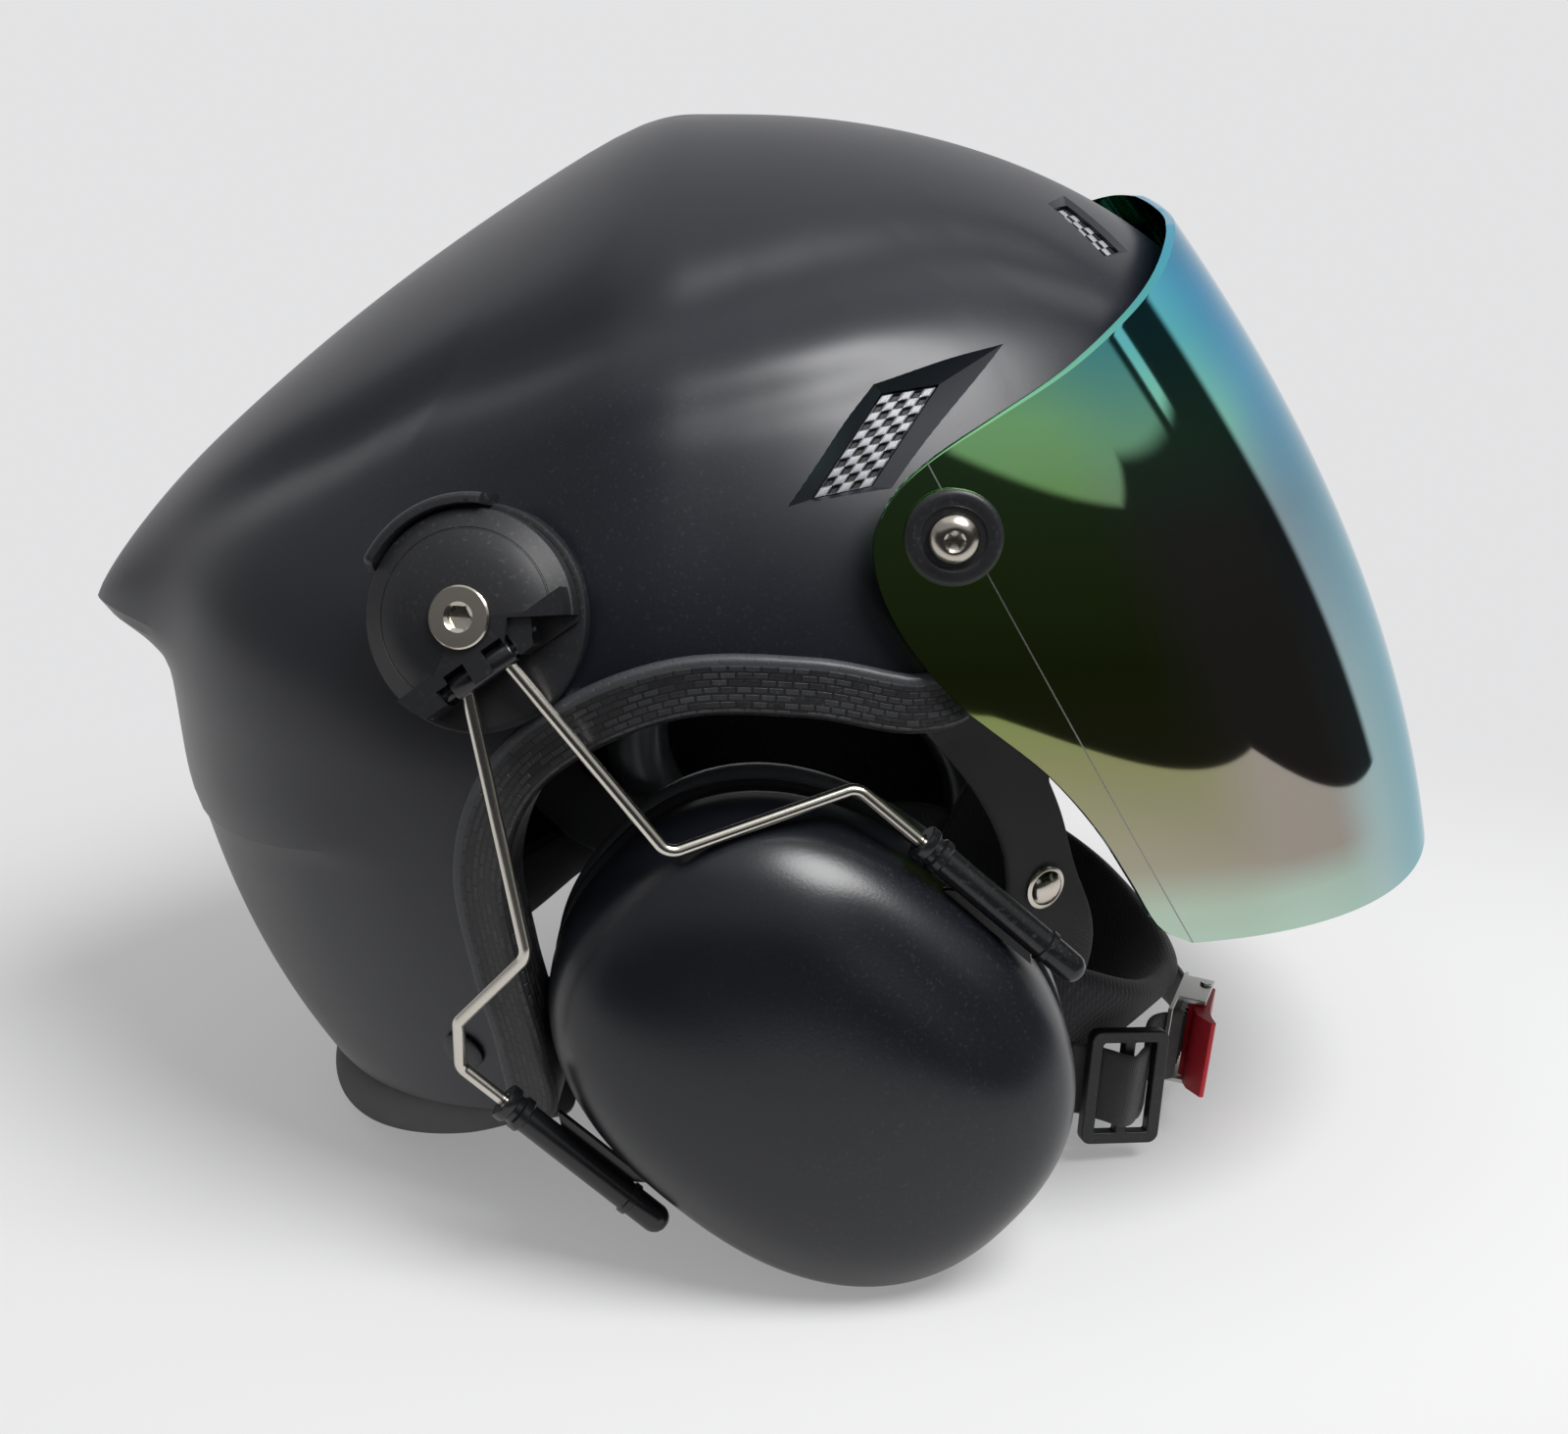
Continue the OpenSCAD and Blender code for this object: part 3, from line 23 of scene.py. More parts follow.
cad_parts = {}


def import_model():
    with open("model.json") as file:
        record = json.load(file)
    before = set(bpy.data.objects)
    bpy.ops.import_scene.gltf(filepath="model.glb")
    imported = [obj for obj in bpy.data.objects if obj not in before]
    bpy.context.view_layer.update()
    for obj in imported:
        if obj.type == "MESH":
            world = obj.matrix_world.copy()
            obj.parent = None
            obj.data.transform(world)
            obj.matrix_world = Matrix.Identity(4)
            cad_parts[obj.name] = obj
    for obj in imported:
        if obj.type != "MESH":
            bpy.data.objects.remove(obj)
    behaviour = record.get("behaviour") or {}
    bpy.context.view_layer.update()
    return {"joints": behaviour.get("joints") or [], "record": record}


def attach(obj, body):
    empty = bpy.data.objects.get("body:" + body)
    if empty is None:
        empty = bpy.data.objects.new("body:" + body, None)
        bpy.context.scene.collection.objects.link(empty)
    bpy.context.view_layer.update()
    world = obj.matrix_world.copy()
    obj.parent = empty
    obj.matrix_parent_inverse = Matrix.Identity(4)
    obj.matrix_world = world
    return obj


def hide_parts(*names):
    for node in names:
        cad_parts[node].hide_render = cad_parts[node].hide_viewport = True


LOG = logging.getLogger("helmet")
MM = 0.001
Array = np.ndarray
Face = tuple[int, ...]
Color = tuple[float, float, float]
Piece = bpy.types.Object
Material = bpy.types.Material
Tree = bpy.types.NodeTree
Node = bpy.types.Node
Socket = bpy.types.NodeSocket


class Side(Enum):
    """Side of the wearer's head, with the sign of its Y axis."""

    RIGHT = -1
    LEFT = 1

    @property
    def mark(self) -> str:
        """Last part of the names of a side's pieces."""
        return "r" if self is Side.RIGHT else "l"


def lerp(a: Array | float, b: Array | float, t: Array | float) -> Array | float:
    """Value at share t of the way from a to b."""
    return a + (b - a) * t


def ease(t: Array | float) -> Array:
    """Smooth step from 0 to 1, held outside that range."""
    c = np.clip(t, 0.0, 1.0)
    return c * c * (3.0 - 2.0 * c)


def unit(v: Array) -> Array:
    """Vectors of length one along the last axis."""
    v = np.asarray(v, float)
    return v / np.linalg.norm(v, axis=-1, keepdims=True)


def power(v: Array, n: float) -> Array:
    """Power that keeps the sign."""
    return np.sign(v) * np.abs(v) ** n


def bump(x: Array, width: float) -> Array:
    """Bell of height one at zero."""
    return np.exp(-((x / width) ** 2))


def circle(count: int) -> Array:
    """Flat points at even turns round the unit circle."""
    turn = np.linspace(0.0, 2.0 * math.pi, count, endpoint=False)
    return np.stack([np.cos(turn), np.sin(turn)], -1)


def level(flat: Array, height: float) -> Array:
    """Flat points raised to one height."""
    return np.column_stack([flat, np.full(len(flat), height)])


def run_of(points: Array) -> Array:
    """Length run along a line at each of its points."""
    return np.concatenate([[0], np.cumsum(np.linalg.norm(np.diff(points, axis=0), axis=1))])


def along(points: Sequence, t: Array | float) -> Array:
    """Points at shares t, from 0 to 1, of a Catmull-Rom curve through points or plain numbers."""
    p = np.asarray(points, float)
    n = len(p) - 1
    f = np.clip(np.asarray(t, float) * n, 0.0, n - 1e-6)
    i = np.floor(f).astype(int)
    k = f - i
    if p.ndim > 1:
        k = k[..., None]
    a, b = p[np.maximum(0, i - 1)], p[i]
    c, d = p[i + 1], p[np.minimum(n, i + 2)]
    return 0.5 * (2 * b + (c - a) * k + (2 * a - 5 * b + 4 * c - d) * k**2 + (3 * b - a - 3 * c + d) * k**3)


def frame_of(place: Sequence, z: Sequence, up: Sequence = (0.0, 0.0, 1.0)) -> Array:
    """Matrix of a frame at a place, with z along the given direction and y towards up."""
    z = unit(z)
    y = unit(np.asarray(up, float) - z * np.dot(up, z))
    return turned(np.cross(y, z), y, z, place)


def turned(x: Sequence, y: Sequence, z: Sequence, place: Sequence = (0.0, 0.0, 0.0)) -> Array:
    """Matrix of a frame from its axes and its place."""
    m = np.eye(4)
    m[:3] = np.column_stack([x, y, z, place])
    return m


def point_in(m: Array, points: Sequence) -> Array:
    """Points of a frame, in the maker's frame."""
    return np.asarray(points, float) @ m[:3, :3].T + m[:3, 3]


def box(low: tuple[float, float, float], high: tuple[float, float, float]) -> Form:
    """Block between two corners."""
    (a, b, c), (d, e, f) = low, high
    return Form.prism([(a, b), (d, b), (d, e), (a, e)], c, f)


@dataclass
class Form:
    """A mesh in the making: points in millimetres, faces and, where a pattern needs it, a map."""

    points: Array
    faces: list[Face]
    uv: Array | None = None

    @staticmethod
    def loft(rings: Sequence[Array], loop: bool = False, uv: Array | None = None) -> Form:
        """Skin through closed rings of equal length.

        Args:
            rings: The rings, in order.
            loop: Whether the last ring joins the first, instead of a fan of faces at each end.
            uv: Map of the points, in the rings' own order.

        Returns:
            The skin.
        """
        m, n = len(rings), len(rings[0])
        faces: list[Face] = []
        for i in range(m if loop else m - 1):
            a, b = i * n, ((i + 1) % m) * n
            for j in range(n):
                k = (j + 1) % n
                faces.append((a + j, a + k, b + k, b + j))
        points = np.concatenate([np.asarray(r, float) for r in rings])
        if not loop:
            points = np.concatenate([points, [points[:n].mean(0), points[-n:].mean(0)]])
            faces += [(m * n, (j + 1) % n, j) for j in range(n)]
            base = (m - 1) * n
            faces += [(m * n + 1, base + j, base + (j + 1) % n) for j in range(n)]
            if uv is not None:
                uv = np.concatenate([uv, [uv[:n].mean(0), uv[-n:].mean(0)]])
        return Form(points, faces, uv)

    @staticmethod
    def mapped(rings: Sequence[Array], lengths: Sequence[float], across: Array) -> Form:
        """Skin through rings, with a map in decimetres of the length run and the way round each ring."""
        uv = [np.column_stack([np.full(len(across), run), across]) * 0.01 for run in lengths]
        return Form.loft(rings, uv=np.concatenate(uv))

    @staticmethod
    def lathe(profile: Sequence, segments: int = 64) -> Form:
        """Turned solid about z from (radius, height) pairs that run from the axis back to the axis."""
        return Form.loft([level(circle(segments) * max(r, 1e-4), h) for r, h in profile])

    @staticmethod
    def rod(radius: float, low: float, high: float, segments: int = 40) -> Form:
        """Plain rod along z."""
        return Form.lathe([(0, low), (radius, low), (radius, high), (0, high)], segments)

    @staticmethod
    def key_screw(profile: Sequence, key: float, depth: float, segments: int = 72) -> Form:
        """Turned screw along z with a hexagon recess in its face.

        Args:
            profile: (radius, height) pairs from the axis at the tip to the rim of the recess.
            key: Radius of the recess over its corners.
            depth: Depth of the recess.
            segments: Number of points round it.
        """
        flat = circle(segments)
        turn = np.linspace(0.0, 2.0 * math.pi, segments, endpoint=False)
        six = key * math.cos(math.pi / 6) / np.cos(turn % (math.pi / 3) - math.pi / 6)
        top = profile[-1][1]
        rings = [level(flat * max(r, 1e-4), h) for r, h in profile]
        for share, h in ((1.0, top - 0.35), (1.0, top - depth), (0.35, top - depth - 0.4)):
            rings.append(level(flat * (six * share)[:, None], h))
        return Form.loft(rings)

    @staticmethod
    def tube_ring(profile: Sequence, segments: int = 64) -> Form:
        """Turned ring about z from a closed section of (radius, height) pairs."""
        section = np.asarray(profile, float)
        return Form.loft([np.column_stack([section[:, :1] * c, section[:, 1]]) for c in circle(segments)],
                         loop=True)

    @staticmethod
    def prism(outline: Sequence, low: float, high: float) -> Form:
        """Straight solid between two heights over a flat outline."""
        o = np.asarray(outline, float)
        n = len(o)
        faces: list[Face] = [(j, (j + 1) % n, n + (j + 1) % n, n + j) for j in range(n)]
        faces += [tuple(range(n - 1, -1, -1)), tuple(range(n, 2 * n))]
        return Form(np.concatenate([level(o, low), level(o, high)]), faces)

    def moved(self, *frames: Array) -> Form:
        """The same form in another frame, or through several in turn."""
        points = self.points
        for m in frames:
            points = point_in(m, points)
        return Form(points, self.faces, self.uv)

    def mirrored(self) -> Form:
        """The same form on the wearer's other side."""
        return Form(self.points * [1.0, -1.0, 1.0], [tuple(reversed(f)) for f in self.faces], self.uv)

    def __add__(self, other: Form) -> Form:
        """Both forms, which have no map, in one mesh."""
        n = len(self.points)
        return Form(np.concatenate([self.points, other.points]),
                    self.faces + [tuple(i + n for i in f) for f in other.faces])


def smooth(data: bpy.types.Mesh, sharp: float) -> None:
    """Shades a mesh smooth but for the edges past an angle in degrees."""
    data.polygons.foreach_set("use_smooth", [True] * len(data.polygons))
    data.set_sharp_from_angle(angle=math.radians(sharp))


def rework(piece: Piece, sharp: float, *steps: Callable[[bmesh.types.BMesh], object]) -> None:
    """Takes a piece's mesh through steps, and shades it."""
    made = bmesh.new()
    made.from_mesh(piece.data)
    for step in steps:
        step(made)
    made.to_mesh(piece.data)
    made.free()
    smooth(piece.data, sharp)


def merge(distance: float) -> Callable[[bmesh.types.BMesh], object]:
    """Step that merges doubles."""
    return lambda made: bmesh.ops.remove_doubles(made, verts=made.verts, dist=distance)


def face_out(made: bmesh.types.BMesh) -> None:
    """Step that turns a closed mesh's faces outwards."""
    bmesh.ops.recalc_face_normals(made, faces=made.faces)
    if made.calc_volume(signed=True) < 0:
        bmesh.ops.reverse_faces(made, faces=made.faces)


def drop_slivers(made: bmesh.types.BMesh) -> None:
    """Step that merges the slivers that a cut or a join leaves."""
    merge(3e-6)(made)
    bmesh.ops.dissolve_degenerate(made, edges=made.edges, dist=3e-6)


def repeat_left(made: bmesh.types.BMesh) -> None:
    """Step that makes the wearer's left half the mirror image of the right half."""
    bmesh.ops.symmetrize(made, input=made.verts[:] + made.edges[:] + made.faces[:], direction="-Y",
                         dist=1e-5)


def settle(piece: Piece) -> None:
    """Applies the modifiers of a piece to its mesh."""
    graph = bpy.context.evaluated_depsgraph_get()
    made = bpy.data.meshes.new_from_object(piece.evaluated_get(graph))
    piece.modifiers.clear()
    piece.data = made


def soften(piece: Piece, width: float, segments: int, angle: float) -> None:
    """Rounds the edges of a piece past an angle by a width in millimetres."""
    mod = piece.modifiers.new("edges", "BEVEL")
    mod.width, mod.segments, mod.limit_method = width * MM, segments, "ANGLE"
    mod.angle_limit = math.radians(angle)
    mod.harden_normals = True
    settle(piece)


def places(data: bpy.types.Mesh) -> Array:
    """Places of a mesh's points, in metres."""
    flat = np.empty(len(data.vertices) * 3)
    data.vertices.foreach_get("co", flat)
    return flat.reshape(-1, 3)


def link(name: str, data: bpy.types.ID) -> Piece:
    """New object in the scene."""
    piece = bpy.data.objects.new(name, data)
    bpy.context.scene.collection.objects.link(piece)
    return piece


@dataclass
class Puff:
    """Lets a padded piece swell as stuffed cloth, and keeps each point near where it was."""

    # Size of the simulated mesh and furthest move of a point, in millimetres
    voxel: float
    most: float
    pressure: float = 4.0
    quality: int = 6
    frames: int = 20
    neighbours: int = 6

    def __call__(self, piece: Piece, _: Side) -> None:
        """Simulates a coarser copy of a piece and carries the moves over to its own mesh."""
        pad = link("pad", piece.data.copy())
        remesh = pad.modifiers.new("voxels", "REMESH")
        remesh.mode, remesh.voxel_size = "VOXEL", self.voxel * MM
        settle(pad)
        rest = places(pad.data)
        cloth = pad.modifiers.new("cloth", "CLOTH")
        cloth.settings.quality = self.quality
        cloth.settings.use_pressure = True
        cloth.settings.uniform_pressure_force = self.pressure
        cloth.settings.effector_weights.gravity = 0.0
        cloth.point_cache.frame_start, cloth.point_cache.frame_end = 1, self.frames
        for frame in range(1, self.frames + 1):
            bpy.context.scene.frame_set(frame)
        graph = bpy.context.evaluated_depsgraph_get()
        move = places(bpy.data.meshes.new_from_object(pad.evaluated_get(graph))) - rest
        far = np.linalg.norm(move, axis=1, keepdims=True)
        move *= np.minimum(1.0, self.most * MM / np.maximum(far, 1e-12))
        bpy.data.objects.remove(pad)
        bpy.context.scene.frame_set(1)
        self.carry(piece, rest, move)
        finer = piece.modifiers.new("smooth", "SUBSURF")
        finer.levels = finer.render_levels = 1
        settle(piece)
        smooth(piece.data, 70)
        LOG.info("%s: swelled by up to %.2f mm", piece.name, float(np.linalg.norm(move, axis=1).max()) / MM)

    def carry(self, piece: Piece, rest: Array, move: Array) -> None:
        """Moves each point of a piece as the simulated points nearest to it moved."""
        tree = KDTree(len(rest))
        for k, place in enumerate(rest):
            tree.insert(place, k)
        tree.balance()
        for vertex in piece.data.vertices:
            near = tree.find_n(vertex.co, self.neighbours)
            share = np.array([1.0 / (d + 1e-4) for _, _, d in near])
            vertex.co += Vector((move[[k for _, k, _ in near]] * share[:, None]).sum(0) / share.sum())


@dataclass
class Bench:
    """Turns forms into pieces of the scene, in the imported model's place."""

    stand: Array
    finishes: FinishShelf

    def mesh(self, name: str, form: Form, side: Side = Side.RIGHT, sharp: float = 38.0,
             solid: bool = True) -> Piece:
        """Makes an object from a form.

        Args:
            name: The piece's name.
            form: The form, on the wearer's right side.
            side: The side of the wearer that it is for.
            sharp: Angle in degrees past which an edge stays sharp.
            solid: Whether the form is closed, so that its faces are turned outwards.

        Returns:
            The object, at the origin.
        """
        if side is Side.LEFT:
            form = form.mirrored()
        data = bpy.data.meshes.new(name)
        data.from_pydata(((form.points + self.stand) * MM).tolist(), [], form.faces)
        if form.uv is not None:
            layer = data.uv_layers.new(name="UVMap")
            corner = np.empty(len(data.loops), np.int32)
            data.loops.foreach_get("vertex_index", corner)
            layer.data.foreach_set("uv", form.uv[corner].astype(np.float32).ravel())
        piece = link(name, data)
        rework(piece, sharp, merge(1e-7), *([face_out] if solid else []))
        return piece

    def join(self, piece: Piece, form: Form, side: Side = Side.RIGHT, sharp: float = 35.0,
             way: str = "UNION") -> None:
        """Fuses a form with a piece, or takes it out of it when the way is DIFFERENCE."""
        other = self.mesh("tool", form, side)
        mod = piece.modifiers.new("boolean", "BOOLEAN")
        mod.operation, mod.solver, mod.object = way, "EXACT", other
        settle(piece)
        rework(piece, sharp, drop_slivers)
        bpy.data.objects.remove(other)

    def cut(self, piece: Piece, tools: Sequence[Form], side: Side = Side.RIGHT, sharp: float = 35.0) -> None:
        """Takes the tools' shapes out of a piece."""
        for tool in tools:
            self.join(piece, tool, side, sharp, "DIFFERENCE")

    def dress(self, piece: Piece, body: str, slot: str, finish: str, node: str,
              pad: float | None = None) -> None:
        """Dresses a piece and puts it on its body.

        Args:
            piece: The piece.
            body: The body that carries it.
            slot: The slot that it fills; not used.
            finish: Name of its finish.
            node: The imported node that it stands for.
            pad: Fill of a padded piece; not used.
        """
        piece.data.materials.clear()
        piece.data.materials.append(self.finishes.take(finish))
        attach(piece, body)
        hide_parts(node)
        LOG.info("%s: %d faces on %s", piece.name, len(piece.data.polygons), body)

    def make(self, name: str, form: Form, dress: tuple[str, str, str, str], sharp: float = 38.0,
             solid: bool = True, work: Callable[[Piece, Side], object] | None = None,
             pad: float | None = None) -> None:
        """Makes a piece, or one on each side when its name has a * for the side's mark.

        Args:
            name: The piece's name.
            form: The form, on the wearer's right side.
            dress: Body, slot, finish and node, each of which may have a *.
            sharp: Angle in degrees past which an edge stays sharp.
            solid: Whether the form is closed.
            work: Further work on each piece.
            pad: Fill of a padded piece.
        """
        for side in Side if "*" in name else (Side.RIGHT,):
            piece = self.mesh(name.replace("*", side.mark), form, side, sharp, solid)
            if work is not None:
                work(piece, side)
            self.dress(piece, *(part.replace("*", side.mark) for part in dress), pad=pad)


class Nodes:
    """Short hand for one node tree."""

    def __init__(self, tree: Tree) -> None:
        """Keeps the tree and the first part of its nodes' types."""
        self.tree = tree
        self.prefix = tree.bl_idname.removesuffix("Tree")

    def add(self, kind: str, settings: dict | None = None, **inputs: object) -> Node:
        """Adds a node.

        Args:
            kind: The node's type, without the part that all nodes of the tree share.
            settings: Values of the node's own properties.
            inputs: Values or sockets for its inputs, by name with _ for a space.
        """
        node = self.tree.nodes.new(self.prefix + kind)
        for key, value in (settings or {}).items():
            setattr(node, key, value)
        return self.feed(node, **inputs)

    def feed(self, node: Node, **inputs: object) -> Node:
        """Feeds a node's inputs, named with _ for a space."""
        for name, value in inputs.items():
            self.plug(node.inputs[name.replace("_", " ")], value)
        return node

    def plug(self, socket: Socket, value: object) -> None:
        """Links a socket or sets its value."""
        if isinstance(value, Socket):
            self.tree.links.new(value, socket)
        elif socket.type == "RGBA" and len(value) == 3:
            socket.default_value = (*value, 1.0)
        else:
            socket.default_value = value

    def effect(self, group: Tree, **inputs: object) -> Node:
        """Places a shared effect group."""
        return self.feed(self.add("Group", {"node_tree": group}), **inputs)

    def mix(self, share: object, a: object, b: object) -> Socket:
        """Colour that goes from a to b with share."""
        node = self.add("Mix", {"data_type": "RGBA"})
        for k, value in ((0, share), (6, a), (7, b)):
            self.plug(node.inputs[k], value)
        return node.outputs[2]

    def sum(self, kind: str, *values: object) -> Socket:
        """Result of a Math node of a kind."""
        node = self.add("Math", {"operation": kind})
        for socket, value in zip(node.inputs, values):
            self.plug(socket, value)
        return node.outputs[0]

    def span(self, value: object, low: object = 0.0, high: object = 1.0, to: tuple = (0.0, 1.0),
             soft: bool = False) -> Socket:
        """Number taken from one range to another, held at its ends."""
        settings = {"interpolation_type": "SMOOTHSTEP"} if soft else None
        return self.add("MapRange", settings, Value=value, From_Min=low, From_Max=high, To_Min=to[0],
                        To_Max=to[1]).outputs[0]

    def noise(self, place: Socket, scale: object, detail: float) -> Socket:
        """Height of a noise."""
        return self.add("TexNoise", None, Vector=place, Scale=scale, Detail=detail).outputs[0]

    def vector(self, kind: str, a: Socket, b: tuple = (0.0, 0.0, 0.0), out: str = "Vector") -> Socket:
        """Result of a Vector Math node of a kind."""
        node = self.add("VectorMath", {"operation": kind})
        self.plug(node.inputs[0], a)
        node.inputs[1].default_value = b
        return node.outputs[out]

    def parts(self, vector: Socket) -> Sequence[Socket]:
        """The three numbers of a vector."""
        return self.add("SeparateXYZ", None, Vector=vector).outputs

    def ramp(self, share: Socket, stops: Sequence[tuple[float, Color]]) -> Socket:
        """Colour of a ramp at a share."""
        node = self.add("ValToRGB", None, Fac=share)
        elements = node.color_ramp.elements
        while len(elements) < len(stops):
            elements.new(0.5)
        for element, (at, color) in zip(elements, stops):
            element.position = at
            element.color = (*color, 1.0)
        return node.outputs[0]

    def blend(self, share: Socket, a: Socket, b: Socket, name: str = "Surface") -> None:
        """Feeds the tree's output from shader a to shader b with share."""
        node = self.add("MixShader")
        for socket, source in zip(node.inputs, (share, a, b)):
            self.plug(socket, source)
        end = next(n for n in self.tree.nodes if n.type in ("OUTPUT_MATERIAL", "OUTPUT_WORLD"))
        self.plug(end.inputs[name], node.outputs[0])


class Surface(Nodes):
    """Short hand for a material's tree, with its shader and the place on the object."""

    def __init__(self, name: str) -> None:
        """Starts a material with a Principled shader and a position output."""
        self.material = bpy.data.materials.new(name)
        self.material.use_nodes = True
        super().__init__(self.material.node_tree)
        self.shader = self.tree.nodes["Principled BSDF"]
        coordinates = self.add("TexCoord").outputs
        self.place, self.map = coordinates["Object"], coordinates["UV"]

    def relief(self, *heights: tuple[object, float]) -> None:
        """Feeds the normal from heights, each with its depth in millimetres."""
        normal = None
        for height, depth in heights:
            node = self.add("Bump", None, Height=height, Strength=1.0, Distance=depth * MM)
            if normal is not None:
                self.plug(node.inputs["Normal"], normal)
            normal = node.outputs[0]
        self.plug(self.shader.inputs["Normal"], normal)

    def set(self, **inputs: object) -> None:
        """Sets inputs of the shader itself."""
        self.feed(self.shader, **inputs)


class Effects:
    """Node groups of the effects that several materials share."""

    def __init__(self) -> None:
        """Builds each group once."""
        self.grain = self.group("moulded_grain", {"Scale": 900.0, "Cells": 0.5}, self.draw_grain)
        self.dust = self.group("dust", {"Amount": 0.5}, self.draw_dust)
        self.weave = self.group("plain_weave", {"Threads": 900.0, "Ribs": 0.5}, self.draw_weave)

    @staticmethod
    def group(name: str, values: dict[str, float],
              draw: Callable[[Nodes, Sequence[Socket]], dict[str, Socket]]) -> Tree:
        """Builds a group that takes a place and numbers, and puts out what draw returns."""
        tree = bpy.data.node_groups.new(name, "ShaderNodeTree")
        tree.interface.new_socket(name="Place", in_out="INPUT", socket_type="NodeSocketVector")
        for label, value in values.items():
            socket = tree.interface.new_socket(name=label, in_out="INPUT", socket_type="NodeSocketFloat")
            socket.default_value = value
        masks = draw(Nodes(tree), tree.nodes.new("NodeGroupInput").outputs)
        for label in masks:
            tree.interface.new_socket(name=label, in_out="OUTPUT", socket_type="NodeSocketFloat")
        end = tree.nodes.new("NodeGroupOutput")
        for label, source in masks.items():
            tree.links.new(source, end.inputs[label])
        return tree

    @staticmethod
    def draw_grain(n: Nodes, start: Sequence[Socket]) -> dict[str, Socket]:
        """Moulded or leathery grain: a height and a slow tone."""
        fine = n.noise(start["Place"], start["Scale"], 3.0)
        cells = n.add("TexVoronoi", {"feature": "SMOOTH_F1"}, Vector=start["Place"], Scale=start["Scale"])
        height = n.add("Mix", None, Factor=start["Cells"], A=fine, B=cells.outputs[0])
        return {"Height": height.outputs[0], "Tone": n.span(n.noise(start["Place"], 22.0, 4.0), 0.3, 0.7)}

    @staticmethod
    def draw_dust(n: Nodes, start: Sequence[Socket]) -> dict[str, Socket]:
        """Thin dust and handling marks: a mask of fine specks within soft clouds."""
        cloud = n.span(n.noise(start["Place"], 11.0, 3.0), 0.42, 0.75)
        speck = n.span(n.noise(start["Place"], 1100.0, 1.0), 0.6, 0.78)
        return {"Mask": n.sum("MULTIPLY", n.sum("MULTIPLY", cloud, speck), start["Amount"])}

    @staticmethod
    def draw_weave(n: Nodes, start: Sequence[Socket]) -> dict[str, Socket]:
        """Plain weave on a map or a place: a height and a thread mask."""
        x, y = (n.add("TexWave", {"bands_direction": way}, Vector=start["Place"],
                      Scale=start["Threads"]).outputs["Fac"]
                for way in "XY")
        both = n.add("Mix", None, Factor=start["Ribs"], A=x, B=y).outputs[0]
        height = n.add("Mix", None, Factor=0.25, A=both, B=n.noise(start["Place"], 1600.0, 2.0))
        return {"Height": height.outputs[0], "Thread": both}


@dataclass(frozen=True)
class Coat:
    """A plain surface with grain, a slow change of tone and some dust."""

    name: str
    color: Color
    tone: Color
    roughness: float
    spread: float = 0.08
    grain: float = 900.0
    cells: float = 0.4
    depth: float = 0.02
    dust: float = 0.3
    dust_color: Color = (0.3, 0.31, 0.32)
    metallic: float = 0.0
    coat: float = 0.0
    coat_roughness: float = 0.1

    def make(self, fx: Effects) -> Material:
        """Makes the material."""
        n = Surface(self.name)
        grain = n.effect(fx.grain, Place=n.place, Scale=self.grain, Cells=self.cells).outputs
        dust = n.effect(fx.dust, Place=n.place, Amount=self.dust).outputs["Mask"]
        rough = n.span(grain["Tone"], to=(self.roughness - self.spread, self.roughness + self.spread))
        n.set(Base_Color=n.mix(dust, n.mix(grain["Tone"], self.color, self.tone), self.dust_color),
              Roughness=rough,
              Metallic=self.metallic, Coat_Weight=self.coat, Coat_Roughness=self.coat_roughness)
        n.relief((grain["Height"], self.depth))
        return n.material


@dataclass(frozen=True)
class Cloth:
    """A woven or knitted cloth, on the piece's map or on its place."""

    name: str
    color: Color
    thread: Color
    threads: float
    ribs: float = 0.5
    depth: float = 0.15
    mapped: bool = True
    roughness: float = 0.85
    sheen: float = 0.4
    dust: float = 0.25
    dust_color: Color = (0.25, 0.25, 0.26)

    def make(self, fx: Effects) -> Material:
        """Makes the material."""
        n = Surface(self.name)
        place = n.map if self.mapped else n.place
        weave = n.effect(fx.weave, Place=place, Threads=self.threads, Ribs=self.ribs).outputs
        dust = n.effect(fx.dust, Place=n.place, Amount=self.dust).outputs["Mask"]
        n.set(Base_Color=n.mix(dust, n.mix(weave["Thread"], self.color, self.thread), self.dust_color),
              Roughness=self.roughness, Sheen_Weight=self.sheen)
        n.relief((weave["Height"], self.depth))
        return n.material


@dataclass(frozen=True)
class Squares:
    """Basket weave on a map that counts its squares: pale bands, and sunk squares painted nearly black as
    their shade.
    """

    name: str
    band: Color = (0.42, 0.43, 0.46)
    band_tone: Color = (0.24, 0.245, 0.26)
    # Near black of the sunk squares: painted shade in the hollows
    hollow: Color = (0.02, 0.021, 0.024)
    dust_color: Color = (0.1, 0.1, 0.1)
    threads: float = 1.6

    def make(self, fx: Effects) -> Material:
        """Makes the material."""
        n = Surface(self.name)
        squares = n.add("TexChecker", None, Vector=n.map, Scale=1.0, Color1=(1, 1, 1),
                        Color2=(0, 0, 0)).outputs["Fac"]
        threads = n.add("TexWave", {"bands_direction": "X"}, Vector=n.map, Scale=self.threads).outputs["Fac"]
        dust = n.effect(fx.dust, Place=n.place, Amount=0.3).outputs["Mask"]
        # Painted shade: the sunk squares take the near-black colour
        body = n.mix(squares, n.mix(threads, self.band_tone, self.band), self.hollow)
        n.set(Base_Color=n.mix(dust, body, self.dust_color), Roughness=0.4, Metallic=0.35)
        n.relief((threads, 0.05))
        return n.material


